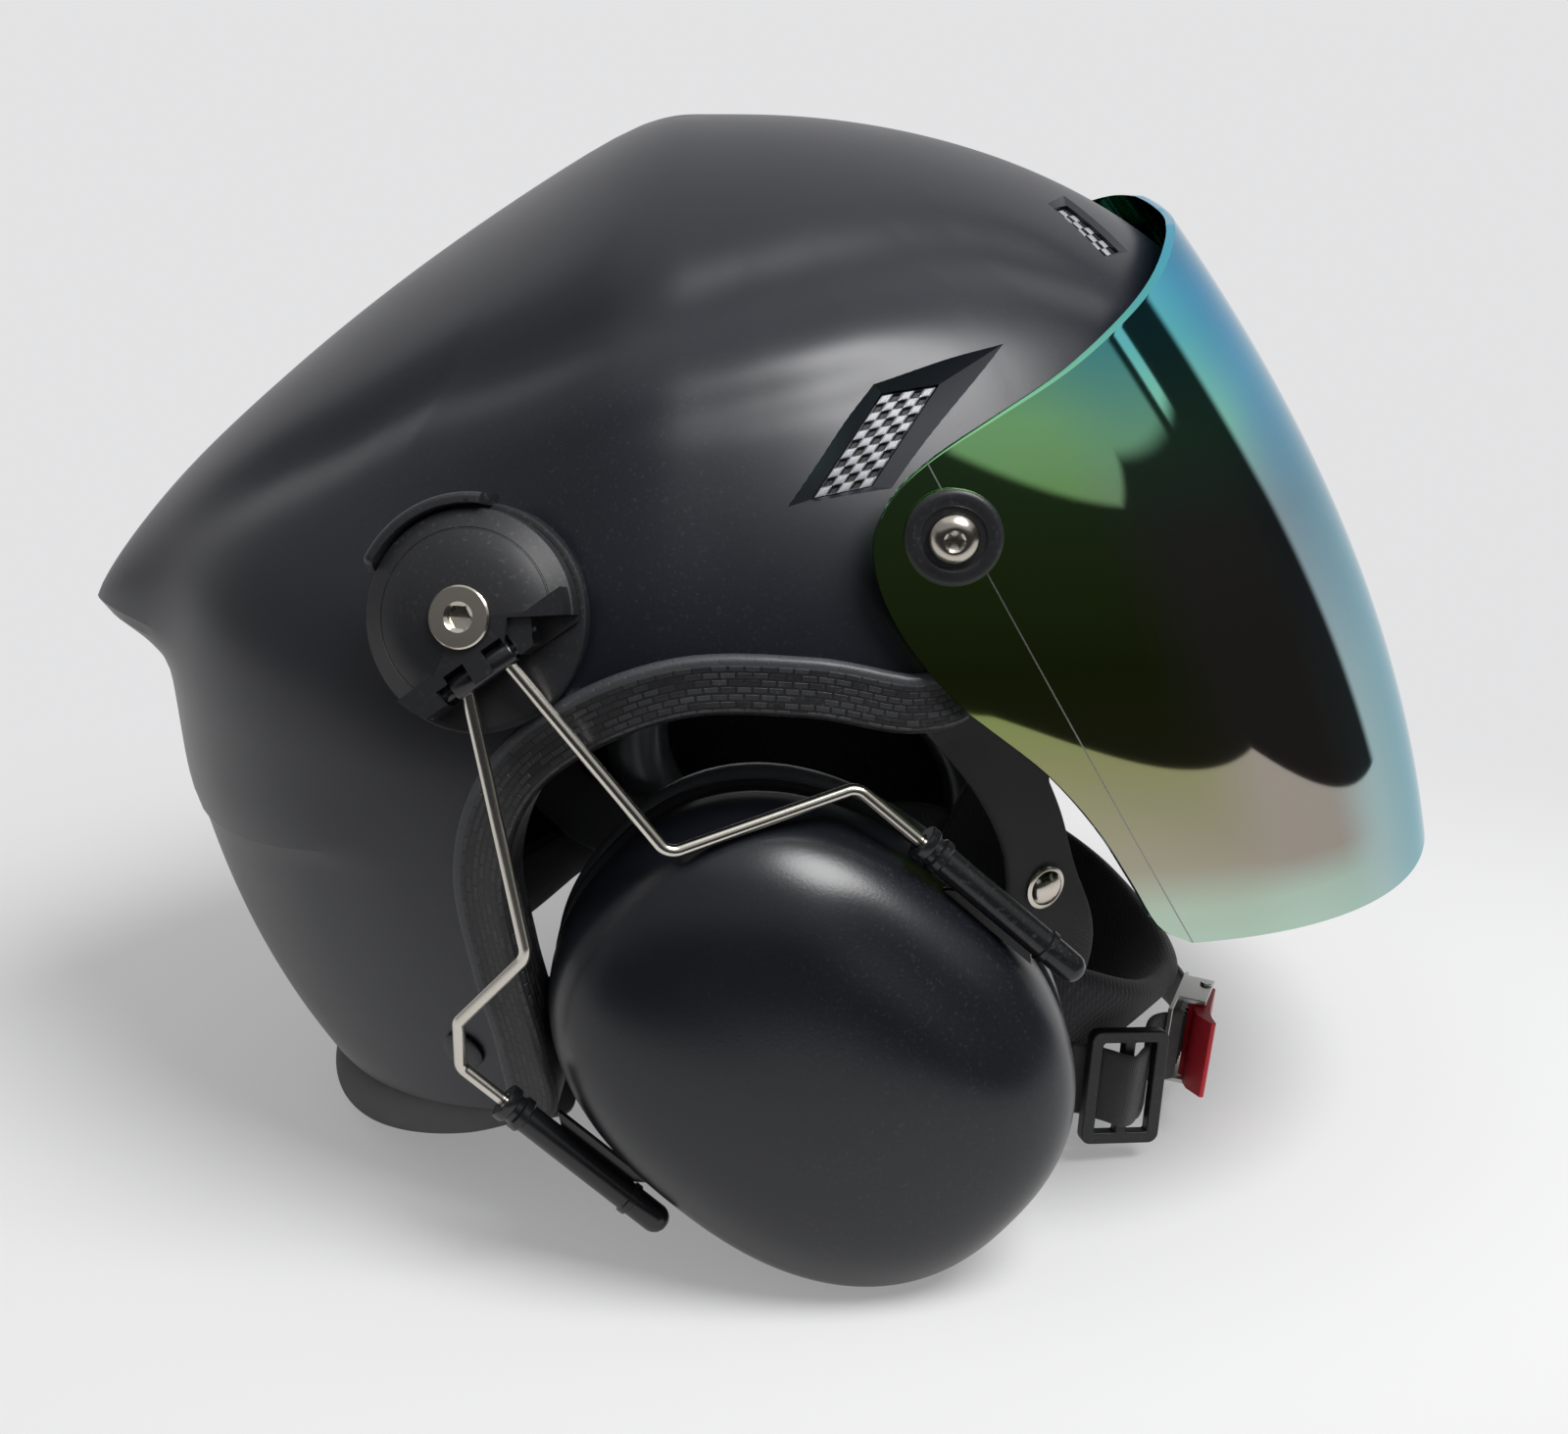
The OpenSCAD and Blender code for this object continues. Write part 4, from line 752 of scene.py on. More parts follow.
@dataclass(frozen=True)
class Stitched:
    """Ribbed edging on a map along its run: rows of fine dashes under a smooth top ridge, along which a
    lighter strip is painted as its highlight.
    """

    name: str
    color: Color = (0.005, 0.005, 0.006)
    dash: Color = (0.028, 0.029, 0.032)
    # Lighter colour painted along the top of the trim as its highlight
    bead: Color = (0.045, 0.047, 0.052)
    dust_color: Color = (0.2, 0.2, 0.21)
    dash_l: float = 3.2
    row_h: float = 1.45
    gap: float = 0.3
    # Share of the section's run where the painted highlight lies
    bead_from: float = 0.298
    bead_to: float = 0.305

    def make(self, fx: Effects) -> Material:
        """Makes the material."""
        n = Surface(self.name)
        bricks = n.add("TexBrick", {"offset": 0.5}, Vector=n.map, Scale=100.0, Mortar_Size=self.gap,
                       Mortar_Smooth=0.3,
                       Brick_Width=self.dash_l, Row_Height=self.row_h, Color1=(1, 1, 1),
                       Color2=(0.1, 0.1, 0.1),
                       Mortar=(0, 0, 0)).outputs["Color"]
        grain = n.effect(fx.grain, Place=n.place, Scale=900.0, Cells=0.6).outputs["Height"]
        dust = n.effect(fx.dust, Place=n.place, Amount=0.2).outputs["Mask"]
        # Painted highlight: a thin lighter strip along the top of the section
        top = n.span(n.parts(n.map)["Y"], self.bead_from, self.bead_to, soft=True)
        edged = n.mix(top, n.mix(bricks, self.color, self.dash), self.bead)
        n.set(Base_Color=n.mix(dust, edged, self.dust_color), Roughness=0.45)
        n.relief((bricks, 0.12), (grain, 0.03))
        return n.material


@dataclass(frozen=True)
class Mirror:
    """Mirror coating of the visor, green at its sides and blue and teal towards its edges, with the floor
    and the room painted into its colour as pale, taupe and olive bands of painted reflection.
    """

    name: str
    low: float = 0.079
    high: float = 0.2235
    # How far the face looks forwards where the sides' tint takes over, and then the front's
    sides_at: tuple = (0.3, 0.55)
    front_at: tuple = (0.66, 0.82)
    # Plane that the scribed line lies in, as its direction and its distance
    line_way: tuple = (0.8754, 0.0, 0.4834)
    line_at: float = 0.12122
    line_w: float = 0.0003
    line_color: Color = (0.3, 0.32, 0.28)
    dust_color: Color = (0.5, 0.55, 0.53)
    rim_tint: Color = (0.45, 0.68, 0.78)
    # Tints from the lower to the upper edge: behind, on the sides and in front. The green, teal and blue are
    # the coating's tint; the pale lower band and the taupe, grey and olive bands above it are painted
    # reflections of the floor and the room.
    back: tuple = (
        (0.0, (0.42, 0.55, 0.45)), (0.06, (0.42, 0.52, 0.42)), (0.13, (0.36, 0.33, 0.25)),
        (0.3, (0.3, 0.3, 0.14)),
        (0.45, (0.2, 0.3, 0.06)), (0.62, (0.3, 0.52, 0.14)),
        (0.8, (0.36, 0.8, 0.34)), (0.93, (0.14, 0.54, 0.5)), (1.0, (0.1, 0.5, 0.7)),
    )
    sides: tuple = (
        (0.0, (0.45, 0.6, 0.5)), (0.06, (0.45, 0.58, 0.48)), (0.12, (0.38, 0.335, 0.28)),
        (0.45, (0.38, 0.34, 0.3)),
        (0.62, (0.4, 0.4, 0.34)), (0.76, (0.3, 0.7, 0.42)), (0.88, (0.14, 0.55, 0.55)),
        (1.0, (0.12, 0.52, 0.72)),
    )
    front: tuple = (
        (0.0, (0.52, 0.64, 0.6)), (0.35, (0.42, 0.52, 0.52)), (0.62, (0.25, 0.33, 0.38)),
        (0.8, (0.15, 0.38, 0.58)),
        (0.92, (0.08, 0.28, 0.56)), (1.0, (0.05, 0.16, 0.36)),
    )

    def make(self, fx: Effects) -> Material:
        """Makes the material."""
        n = Surface(self.name)
        # Painted reflections: the colour rises from the floor's pale reflection through the room's taupe and
        # olive to the coating's green and blue
        rise = n.span(n.parts(n.place)["Z"], self.low, self.high)
        back, sides, front = (n.ramp(rise, stops) for stops in (self.back, self.sides, self.front))
        facing = n.parts(n.add("NewGeometry").outputs["Normal"])["X"]
        near = n.mix(n.span(facing, *self.sides_at, soft=True), back, sides)
        body = n.mix(n.span(facing, *self.front_at, soft=True), near, front)
        reach = n.vector("DOT_PRODUCT", n.place, self.line_way, "Value")
        line = n.sum("COMPARE", reach, self.line_at, self.line_w / 2)
        dust = n.effect(fx.dust, Place=n.place, Amount=0.12).outputs["Mask"]
        n.set(Base_Color=n.mix(dust, n.mix(line, body, self.line_color), self.dust_color), Metallic=1.0,
              Roughness=n.span(n.sum("MAXIMUM", dust, line), to=(0.045, 0.45)), Coat_Weight=0.15,
              Coat_Roughness=0.02,
              Specular_Tint=self.rim_tint)
        n.relief((n.noise(n.place, 9.0, 1.0), 0.25))
        return n.material


FINISHES = (
    Coat("satin_lacquer", (0.0045, 0.0055, 0.01), (0.006, 0.007, 0.0125), 0.36, 0.025, 1400, 0.2, 0.008,
         0.05),
    Coat("moulded_black", (0.009, 0.0095, 0.011), (0.013, 0.0135, 0.0155), 0.42, 0.05, 1500, depth=0.012,
         dust=0.12),
    Coat("gloss_black", (0.006, 0.0065, 0.008), (0.009, 0.0095, 0.011), 0.24, 0.05, 1200, depth=0.004,
         dust=0.12),
    Coat("cup_shell_black", (0.005, 0.006, 0.009), (0.007, 0.008, 0.011), 0.3, 0.02, 1300, 0.25, dust=0.06),
    Coat("edge_rubber", (0.01, 0.01, 0.011), (0.015, 0.015, 0.0165), 0.5, grain=800, dust=0.15),
    Coat("bead_foam", (0.016, 0.016, 0.018), (0.03, 0.03, 0.033), 0.8, grain=320, cells=1.0, depth=0.25,
         dust=0.2),
    # Base colour lightened well past the cushion's black, painting in the sheen of light from above on the
    # glossy leatherette
    Coat("soft_leatherette", (0.11, 0.12, 0.138), (0.14, 0.15, 0.17), 0.36, grain=650, cells=0.8, depth=0.05,
         dust=0.1,
         coat=0.5, coat_roughness=0.25),
    Coat("polished_nickel", (0.62, 0.57, 0.5), (0.5, 0.46, 0.4), 0.2, 0.05, 300, depth=0.004, dust=0.25,
         metallic=1.0),
    Coat("spring_wire", (0.68, 0.65, 0.58), (0.55, 0.52, 0.46), 0.22, 0.04, 500, depth=0.004, dust=0.2,
         metallic=1.0),
    Coat("stamped_steel", (0.62, 0.61, 0.58), (0.5, 0.5, 0.48), 0.28, 0.07, depth=0.008, dust=0.2,
         metallic=1.0),
    Coat("lever_red", (0.68, 0.02, 0.035), (0.6, 0.015, 0.03), 0.38, grain=1200, depth=0.008, dust=0.15),
    Squares("vent_weave"),
    Stitched("ribbed_edge"),
    Cloth("lining_cloth", (0.012, 0.012, 0.013), (0.035, 0.035, 0.038), 300.0, mapped=False),
    Cloth("roll_cloth", (0.03, 0.029, 0.031), (0.07, 0.068, 0.07), 230.0, depth=0.12),
    Cloth("webbing", (0.012, 0.012, 0.014), (0.07, 0.07, 0.078), 130.0, ribs=0.4, depth=0.35),
    Cloth("band_knit", (0.006, 0.006, 0.009), (0.016, 0.016, 0.02), 300.0, mapped=False),
    Mirror("visor_mirror"),
)


class FinishShelf:
    """Every finish of the helmet, each made once when it is first asked for."""

    def __init__(self) -> None:
        """Builds the shared effects."""
        self.fx = Effects()
        self.made: dict[str, Material] = {}

    def take(self, name: str) -> Material:
        """The material of a finish."""
        if name not in self.made:
            self.made[name] = next(finish for finish in FINISHES if finish.name == name).make(self.fx)
        return self.made[name]


@dataclass
class Skin:
    """Outer surface of the shell, with its rim, as distances from a centre."""

    centre: Array = field(default_factory=lambda: np.array([-20.0, 0.0, 125.0]))
    half_w: float = 116.0
    front: float = 146.0
    rear: float = 131.5
    rise: float = 110.0
    drop: float = 163.0
    crown_rise: float = 116.5
    hood_half_w: float = 115.0
    hood_lead: float = 3.0
    tail_reach: float = 150.5
    tail_tuck: float = 47.0
    wall: float = 3.0
    crown_ease: float = 0.16
    valley: float = 42.0
    ear_front: float = 6.2 / 20
    ear_foot: float = 14.9 / 20
    # Half rim from the brow to the nape: azimuth, elevation and azimuth at the crown, in degrees
    rim: tuple = (
        (0, 35, 0), (14, 34.2, 14), (27, 31.6, 27), (39, 27, 39), (49, 20, 48), (56.5, 11, 55),
        (62, 3.6, 62), (68, 2, 69), (78, 4.1, 78), (90, 4.3, 90), (100, 0.3, 102),
        (107, -6, 114), (110.3, -15, 124), (109.6, -25, 133), (108.3, -35, 140),
        (109.6, -43, 146), (120.6, -45.2, 151), (134, -46.8, 157), (150, -47.7, 164),
        (165, -47.7, 172), (180, -47.4, 180),
    )
    # Upper crease between crown and flank, lower crease that runs into the side vent, and the fold
    # behind the ears, each as azimuths and elevations
    crown_crease: tuple = (
        (172, 6.5), (167.7, 10.8), (153.6, 20.5), (139.6, 30.4), (131.6, 35), (105.7, 41.1), (92.6, 43.7),
        (80.7, 46.5), (67.8, 48), (51.1, 47.7), (41.9, 45.6), (32.4, 40.8), (27, 36),
    )
    vent_crease: tuple = ((112, 27.6), (102, 30.6), (94.4, 32.7), (80.5, 34.9), (67, 36.4), (55, 37.2))
    rear_fold: tuple = ((122, -15.4), (127.2, -16.2), (138.7, -17.3), (148.2, -18.8), (163, -18.6),
                        (180, -18.4))

    def oval(self, d: Array, lengths: tuple[float, float], half_w: float, heights: tuple[float, float],
             plan: Array | float, section: float) -> Array:
        """Distance to a rounded oval in directions d.

        Args:
            d: The directions.
            lengths: Reach forwards and backwards.
            half_w: Half width.
            heights: Reach upwards and downwards.
            plan: Power of the outline seen from above.
            section: Power of the cross section.
        """
        x, y, z = d[..., 0], d[..., 1], d[..., 2]
        a, h = np.where(x > 0, *lengths), np.where(z > 0, *heights)
        m = (np.abs(y / half_w) ** section + np.abs(z / h) ** section) ** (1 / section)
        soft = np.abs(x) ** 2 / (np.abs(x) + self.crown_ease * np.exp(-np.abs(x) / self.crown_ease))
        return ((soft / a) ** plan + m**plan) ** (-1 / plan)

    def radius(self, d: Array) -> Array:
        """Distance from the centre to the plain surface in directions d."""
        fore = d[..., 0] > 0
        plan = np.where(fore, 2.15, lerp(1.9, 1.35, ease((d[..., 2] + 0.1) / 0.6)))
        flank = self.oval(d, (self.front, self.rear), self.half_w, (self.rise, self.drop), plan, 2.15)
        lead = self.front + self.hood_lead
        hood = self.oval(d, (lead, self.tail_reach), self.hood_half_w, (self.crown_rise, self.tail_tuck),
                         np.where(fore, 2.25, 1.24), 1.9)
        return (flank**self.valley + hood**self.valley) ** (1 / self.valley)

    @staticmethod
    def aim(azimuth: Array, elevation: Array, side: Array | float = -1.0) -> Array:
        """Directions at angles in degrees, azimuth 0 forwards."""
        a, e = np.radians(azimuth), np.radians(elevation)
        return np.stack([np.cos(e) * np.cos(a), side * np.cos(e) * np.sin(a), np.sin(e) + 0 * a], -1)

    def way(self, s: Array, v: Array) -> Array:
        """Directions at rim share s, past 1 on the left side, and share v from the crown to the rim."""
        s = np.asarray(s, float)
        r = along(self.rim, np.where(s > 1, 2 - s, np.abs(s)))
        azimuth = lerp(r[..., 2], r[..., 0], v**3)
        return self.aim(azimuth, lerp(90.0, r[..., 1], v), np.where(s > 1, 1.0, -1.0))

    def on(self, d: Array, off: Array | float = 0.0) -> Array:
        """Points of the surface in directions d, raised by off."""
        return self.centre + d * (self.radius(d) + off)[..., None]

    def normal(self, azimuth: float, elevation: float) -> Array:
        """Outward normal of the right side at an azimuth and elevation."""
        e = 0.2
        a, b, c = (self.on(self.aim(np.array(x), np.array(y))) for x, y in
                   ((azimuth, elevation), (azimuth - e, elevation), (azimuth, elevation + e)))
        return unit(np.cross(b - a, c - a))

    def dropped(self, m: Array, flat: Array, off: float) -> Array:
        """Points of a frame's plane, moved along its z to lie off the surface."""
        points, n = point_in(m, level(flat, 0.0)), m[:3, 2]
        t = np.zeros(len(points))
        for _ in range(8):
            q = points + n * t[:, None] - self.centre
            d = unit(q)
            t -= (np.linalg.norm(q, axis=1) - self.radius(d) - off) / (d @ n)
        return points + n * t[:, None]

    def edge(self, s: Array, inset: Array | float, off: Array | float) -> Array:
        """Points near the rim at shares s, inset from the edge over the face and raised by off."""
        s = np.asarray(s, float)
        turned = (s < 0) | (s > 1)
        h = np.where(s < 0, -s, np.where(s > 1, 2 - s, s))
        e = 0.004
        d = self.way(h, 1.0)
        t = unit(self.way(np.minimum(1, h + e), 1.0) - self.way(np.maximum(0, h - e), 1.0))
        d = unit(d + unit(np.cross(t, d)) * (np.asarray(inset) / self.radius(d))[..., None])
        p = self.on(d, off)
        p[..., 1] = np.where(turned, -p[..., 1], p[..., 1])
        return p

    def off_line(self, azimuth: Array, elevation: Array, line: tuple) -> tuple[Array, Array]:
        """Height in millimetres above a crease, and the share of the crease's length, at given angles."""
        x, y = np.asarray(sorted(line), float).T
        across = (elevation - np.interp(azimuth, x, y)) * math.radians(self.half_w)
        return across, (azimuth - x[0]) / (x[-1] - x[0])

    def relief(self, azimuth: Array, elevation: Array) -> Array:
        """Height in millimetres of the creases and folds over the plain surface.

        Args:
            azimuth: Angles from the front, without sign.
            elevation: Angles above the ear line.
        """
        up, share = self.off_line(azimuth, elevation, self.crown_crease)
        fade = ease((share + 0.03) / 0.1) * ease((1.0 - share) / 0.12)
        height = -2.2 * bump(up - 5.0, 11.0) * fade
        height += 1.7 * bump(up + 17.0, 16.0) * fade * ease((1.0 - share) / 0.55)
        up, share = self.off_line(azimuth, elevation, self.vent_crease)
        height -= 0.9 * bump(up, 5.0) * ease(share / 0.3) * ease((1.0 - share) / 0.6)
        up, share = self.off_line(azimuth, elevation, self.rear_fold)
        fold = np.where(up > 0, bump(up - 3.0, 13.0), bump(up - 3.0, 4.0))
        return height + 1.2 * (fold - 0.5) * ease(share / 0.25) * bump(up, 30.0)


@dataclass
class VentSpec:
    """A vent's place on the shell and the outline of its opening, in millimetres and degrees."""

    name: str
    azimuth: float
    elevation: float
    width: float
    length: float
    slant: float
    lean: float
    corner_moves: tuple[tuple[float, float], ...]
    cells: tuple[int, int]
    dish: float = 1.3

    def frame(self, skin: Skin) -> Array:
        """Frame at the vent, with z out of the shell."""
        place = skin.on(skin.aim(np.array(self.azimuth), np.array(self.elevation)))
        return frame_of(place, skin.normal(self.azimuth, self.elevation))

    def outline(self, grow: float) -> Array:
        """Slanted outline with level ends, grown by a margin."""
        slant = math.radians(self.slant - self.lean)
        dy = self.length * math.sin(slant) / 2 + grow
        dx, half = dy / math.tan(slant), self.width / 2 + grow / math.sin(slant)
        flat = np.array([[-dx - half, -dy], [half - dx, -dy], [dx + half, dy], [dx - half, dy]])
        c, s = math.cos(math.radians(self.lean)), math.sin(math.radians(self.lean))
        return flat @ np.array([[c, s], [-s, c]])

    def tool(self, skin: Skin, steps: int = 14) -> Form:
        """Tool that cuts the opening and the pointed recess round it, bent to the shell's face."""
        m, inner = self.frame(skin), self.outline(0.0)
        moves = np.asarray(self.corner_moves, float)
        share = np.arange(steps)[:, None] / steps
        rings = []
        for off, spread in ((-9.0, 0.0), (-self.dish, 0.0), (2.0, 1.0 + 2.0 / self.dish)):
            corners = inner + moves * spread
            flat = np.concatenate([lerp(corners[k], corners[(k + 1) % 4], share) for k in range(4)])
            rings.append(skin.dropped(m, flat, off))
        rings.append(skin.dropped(m, flat * 0.02, 4.0))
        return Form.loft(rings)


def border_of(rows: int, columns: int) -> list[int]:
    """Numbers of the points round a grid, in order."""
    n = columns
    return ([*range(n)] + [i * n + n - 1 for i in range(1, rows)]
            + [(rows - 1) * n + j for j in range(n - 2, -1, -1)] + [i * n for i in range(rows - 2, 0, -1)])


def grid_faces(rows: int, columns: int) -> list[Face]:
    """Faces of a grid of points."""
    starts = (i * columns + j for i in range(rows - 1) for j in range(columns - 1))
    return [(k, k + 1, k + columns + 1, k + columns) for k in starts]


@dataclass
class ShellWorks:
    """The moulded shell with its vents, edge trims, rivets, liner and nape roll."""

    bench: Bench
    skin: Skin
    roll_r: float = 8.5
    trim_w: float = 10.5
    trim_t: float = 2.4
    trim_depth: float = 8.0
    trim_fit: float = 0.7
    liner_half_w: float = 86.0
    liner_front: float = 104.0
    liner_rear: float = 106.0
    liner_rise: float = 87.0
    liner_fit: float = 1.4
    lining_t: float = 6.0
    insert_t: float = 1.6
    insert_deep: float = 1.9
    side_gap: float = 0.35
    rim_round: float = 0.25
    # Azimuth and elevation of the strap rivets
    rivet_at: tuple = (119.2, -37.0)
    vents: tuple[VentSpec, ...] = (
        VentSpec("side", 68, 30, 13, 28, 52, 8, ((-4.5, -1.4), (3.4, -0.9), (6.6, 3.8), (-1.2, 0.9)),
                 (5, 11)),
        VentSpec("brow", 17, 45.5, 9, 18, 78, 0, ((-1.2, -1.4), (1.4, -1.2), (2.4, 2.6), (-0.8, 1.0)),
                 (4, 7), 1.0),
    )

    def columns(self) -> Array:
        """Rim shares of the shell's columns, closest together at the side vents."""
        half = np.concatenate([
            np.linspace(0.0, 0.215, 34, endpoint=False),
            np.linspace(0.215, 0.43, 74, endpoint=False),
            np.linspace(0.43, 1.0, 74),
        ])
        return np.concatenate([2.0 - half, half[-2:0:-1]])

    def shell(self) -> None:
        """Shell with creases, dished vents and a rounded rim."""
        skin, s = self.skin, self.columns()
        rows = np.concatenate([np.linspace(0.03, 0.34, 13, endpoint=False),
                               np.linspace(0.34, 0.86, 58, endpoint=False),
                               np.linspace(0.86, 0.993, 16), [1.0]])
        rings = []
        for v in rows:
            d = skin.way(s, np.full_like(s, v))
            azimuth = np.degrees(np.arctan2(np.abs(d[:, 1]), d[:, 0]))
            elevation = np.degrees(np.arcsin(d[:, 2]))
            calm = ease((0.995 - v) / 0.1)
            rings.append(skin.on(d, skin.relief(azimuth, elevation) * calm - self.rim_round * (v == 1.0)))
        for v in np.linspace(1.0, 0.05, 22):
            rings.append(skin.on(skin.way(s, np.full_like(s, v)), -skin.wall + self.rim_round * (v == 1.0)))
        piece = self.bench.mesh("helmet_shell", Form.loft(rings))
        self.bench.cut(piece, [spec.tool(skin) for spec in self.vents], sharp=14)
        rework(piece, 14, repeat_left)
        self.bench.dress(piece, "helmet", "shell_paint", "satin_lacquer", "shell")

    def inserts(self) -> None:
        """Woven inserts set back in the vents."""
        for spec in self.vents:
            form = self.weave_plate(spec)
            node = "side_vent_insert_*" if spec.name == "side" else "brow_vent_inserts"
            self.bench.make(f"{spec.name}_vent_weave_*", form, ("helmet", "vent_mesh", "vent_weave", node),
                            30,
                            solid=False)

    def weave_plate(self, spec: VentSpec) -> Form:
        """Plate in a vent whose top is a basket weave of pillows, with sunk squares between them."""
        m, skin, cells = spec.frame(self.skin), self.skin, spec.cells
        nu, nv = cells[0] * 8 + 1, cells[1] * 8 + 1
        u, v = np.meshgrid(np.linspace(0, 1, nu), np.linspace(0, 1, nv))
        a, b, c, d = spec.outline(-self.side_gap)
        u, v = u[..., None], v[..., None]
        flat = lerp(lerp(a, b, u), lerp(d, c, u), v)
        x, y = u[..., 0] * cells[0], v[..., 0] * cells[1]
        sunk = (np.floor(x) + np.floor(y)) % 2
        across, ahead = np.abs(x % 1 - 0.5) * 2, np.abs(y % 1 - 0.5) * 2
        pillow = (1 - across**4) * (1 - 0.4 * ahead**4)
        hole = ease((0.8 - np.maximum(across, ahead)) / 0.25)
        rise = np.where(sunk > 0, -0.6 * hole, 0.3 * pillow).reshape(-1, 1)
        face = skin.dropped(m, flat.reshape(-1, 2), -self.insert_deep)
        border = border_of(nv, nu)
        n, base = len(border), len(face)
        faces = grid_faces(nv, nu)
        faces += [(border[(k + 1) % n], border[k], base + k, base + (k + 1) % n) for k in range(n)]
        faces.append(tuple(range(base + n - 1, base - 1, -1)))
        uv = np.column_stack([x.ravel(), y.ravel()])
        points = np.concatenate([face + m[:3, 2] * rise, face[border] - m[:3, 2] * self.insert_t])
        return Form(points, faces, np.concatenate([uv, uv[border]]))

    def trim(self) -> None:
        """Edge trims of the ear openings: rubber behind, ribbed leatherette over the top."""
        skin, w, t, fit, depth = self.skin, self.trim_w, self.trim_t, self.trim_fit, self.trim_depth
        section = np.array([
            [-fit, fit], [-fit, -depth], [-fit - 0.5, -depth - 0.4], [-fit - 1.1, -depth],
            [-fit - 1.3, -depth / 2],
            [-fit - 1.3, 0], [-t * 0.85, t * 0.5], [-t * 0.6, t * 0.85], [-1.0, t + 0.15], [-0.4, t + 0.35],
            [1.2, t + 0.1], [w * 0.4, t - 0.25], [w * 0.7, t - 0.15], [w - 1.6, t + 0.25],
            [w - 0.9, t + 0.2],
            [w - 0.25, t * 0.8], [w, t * 0.5], [w, fit],
        ])
        top, rings = 9, self.edging(np.linspace(skin.ear_foot, skin.ear_front, 150), section)
        form = Form.mapped(rings, run_of(np.array([ring[top] for ring in rings])), run_of(section))
        self.bench.make("ear_edge_*", form, ("helmet", "edge_rubber", "ribbed_edge", "ear_trim_*"), 50)
        section = np.array([[-fit, fit], [-fit, -3.0], [-1.5, -3.1], [-1.8, -2.6], [-1.8, 1.0], [-1.4, 1.5],
                            [-0.6, 1.8], [2.4, 1.8], [2.9, 1.4], [3.0, fit]])
        brow = skin.ear_front - 0.008
        self.bench.make("brow_edge", Form.loft(self.edging(np.linspace(-brow, brow, 90)[::-1], section)),
                        ("helmet", "edge_rubber", "edge_rubber", "brow_trim"), 50)

    def edging(self, shares: Array, section: Array) -> list[Array]:
        """Rings of a section carried along the rim."""
        return [self.skin.edge(np.full(len(section), s), section[:, 0], section[:, 1]) for s in shares]

    def inner_radius(self, d: Array) -> Array:
        """Distance to the hollow of the liner."""
        return self.skin.oval(d, (self.liner_front, self.liner_rear), self.liner_half_w,
                              (self.liner_rise, self.skin.drop), 2.1, 2.2)

    def outer_radius(self, d: Array) -> Array:
        """Distance to the liner's outer face."""
        s = self.skin
        oval = s.oval(d, (s.front, s.rear - s.wall), s.half_w, (s.rise, s.drop), 2.1, 2.1)
        return np.minimum(s.radius(d) - s.wall - self.liner_fit, oval)

    def liner_ring(self, s: Array, v: float, inner: bool, off: float) -> Array:
        """One ring of the liner, drawn back from the rim at the ears and the nape."""
        skin = self.skin
        h = np.where(s > 1, 2 - s, np.abs(s))
        ear = ease((h - skin.ear_front + 0.04) / 0.04) * ease((skin.ear_foot + 0.04 - h) / 0.04)
        nape = ease((h - skin.ear_foot + 0.03) / 0.06)
        reach = 1 - np.maximum(ear * (0.16 if inner else 0.025), nape * (0.09 if inner else 0.075))
        d = skin.way(s, v * reach)
        out = self.outer_radius(d)
        r = np.minimum(self.inner_radius(d), out - 8) if inner else out
        return skin.centre + d * (r + off)[:, None]

    def liner(self) -> None:
        """Foam liner, and the padded cloth lining inside it."""
        half = np.linspace(0, 1, 80)
        s = np.concatenate([2 - half, half[-2:0:-1]])
        rows = np.linspace(0.06, 1.0, 34)
        rings = [self.liner_ring(s, v, False, 0) for v in rows]
        rings += [self.liner_ring(s, v, True, 0) for v in rows[::-1]]
        self.bench.make("liner_foam", Form.loft(rings), ("helmet", "foam", "bead_foam", "liner"), 45)
        rows = np.linspace(0.06, 0.88, 30)
        folds = 1.2 * np.abs(np.sin(s * math.pi * 9)) ** 0.7
        rings = [self.liner_ring(s, v, True, -1.5) for v in rows]
        for v in rows[::-1]:
            ring = self.liner_ring(s, v, True, -self.lining_t)
            rings.append(ring + unit(ring - self.skin.centre)
                         * (1.4 - folds * ease((0.9 - v) / 0.2))[:, None] * 0.8)
        self.bench.make("head_lining", Form.loft(rings),
                        ("helmet", "lining_cloth", "lining_cloth", "comfort_lining"), 60, pad=0.5)

    def roll_centre(self, s: Array) -> Array:
        """Middle line of the nape roll."""
        skin, r_in = self.skin, self.skin.wall + 2 + self.roll_r
        p = skin.edge(s, np.zeros_like(s), np.full_like(s, -r_in))
        edge = skin.edge(np.array([1.0]), np.zeros(1), np.full(1, -r_in))[0, 2]
        nape = edge - self.roll_r + self.bench.stand[2]
        p[:, 2] -= lerp(8.5, nape, ease(1 - np.abs(1 - s) * 4.2))
        return p

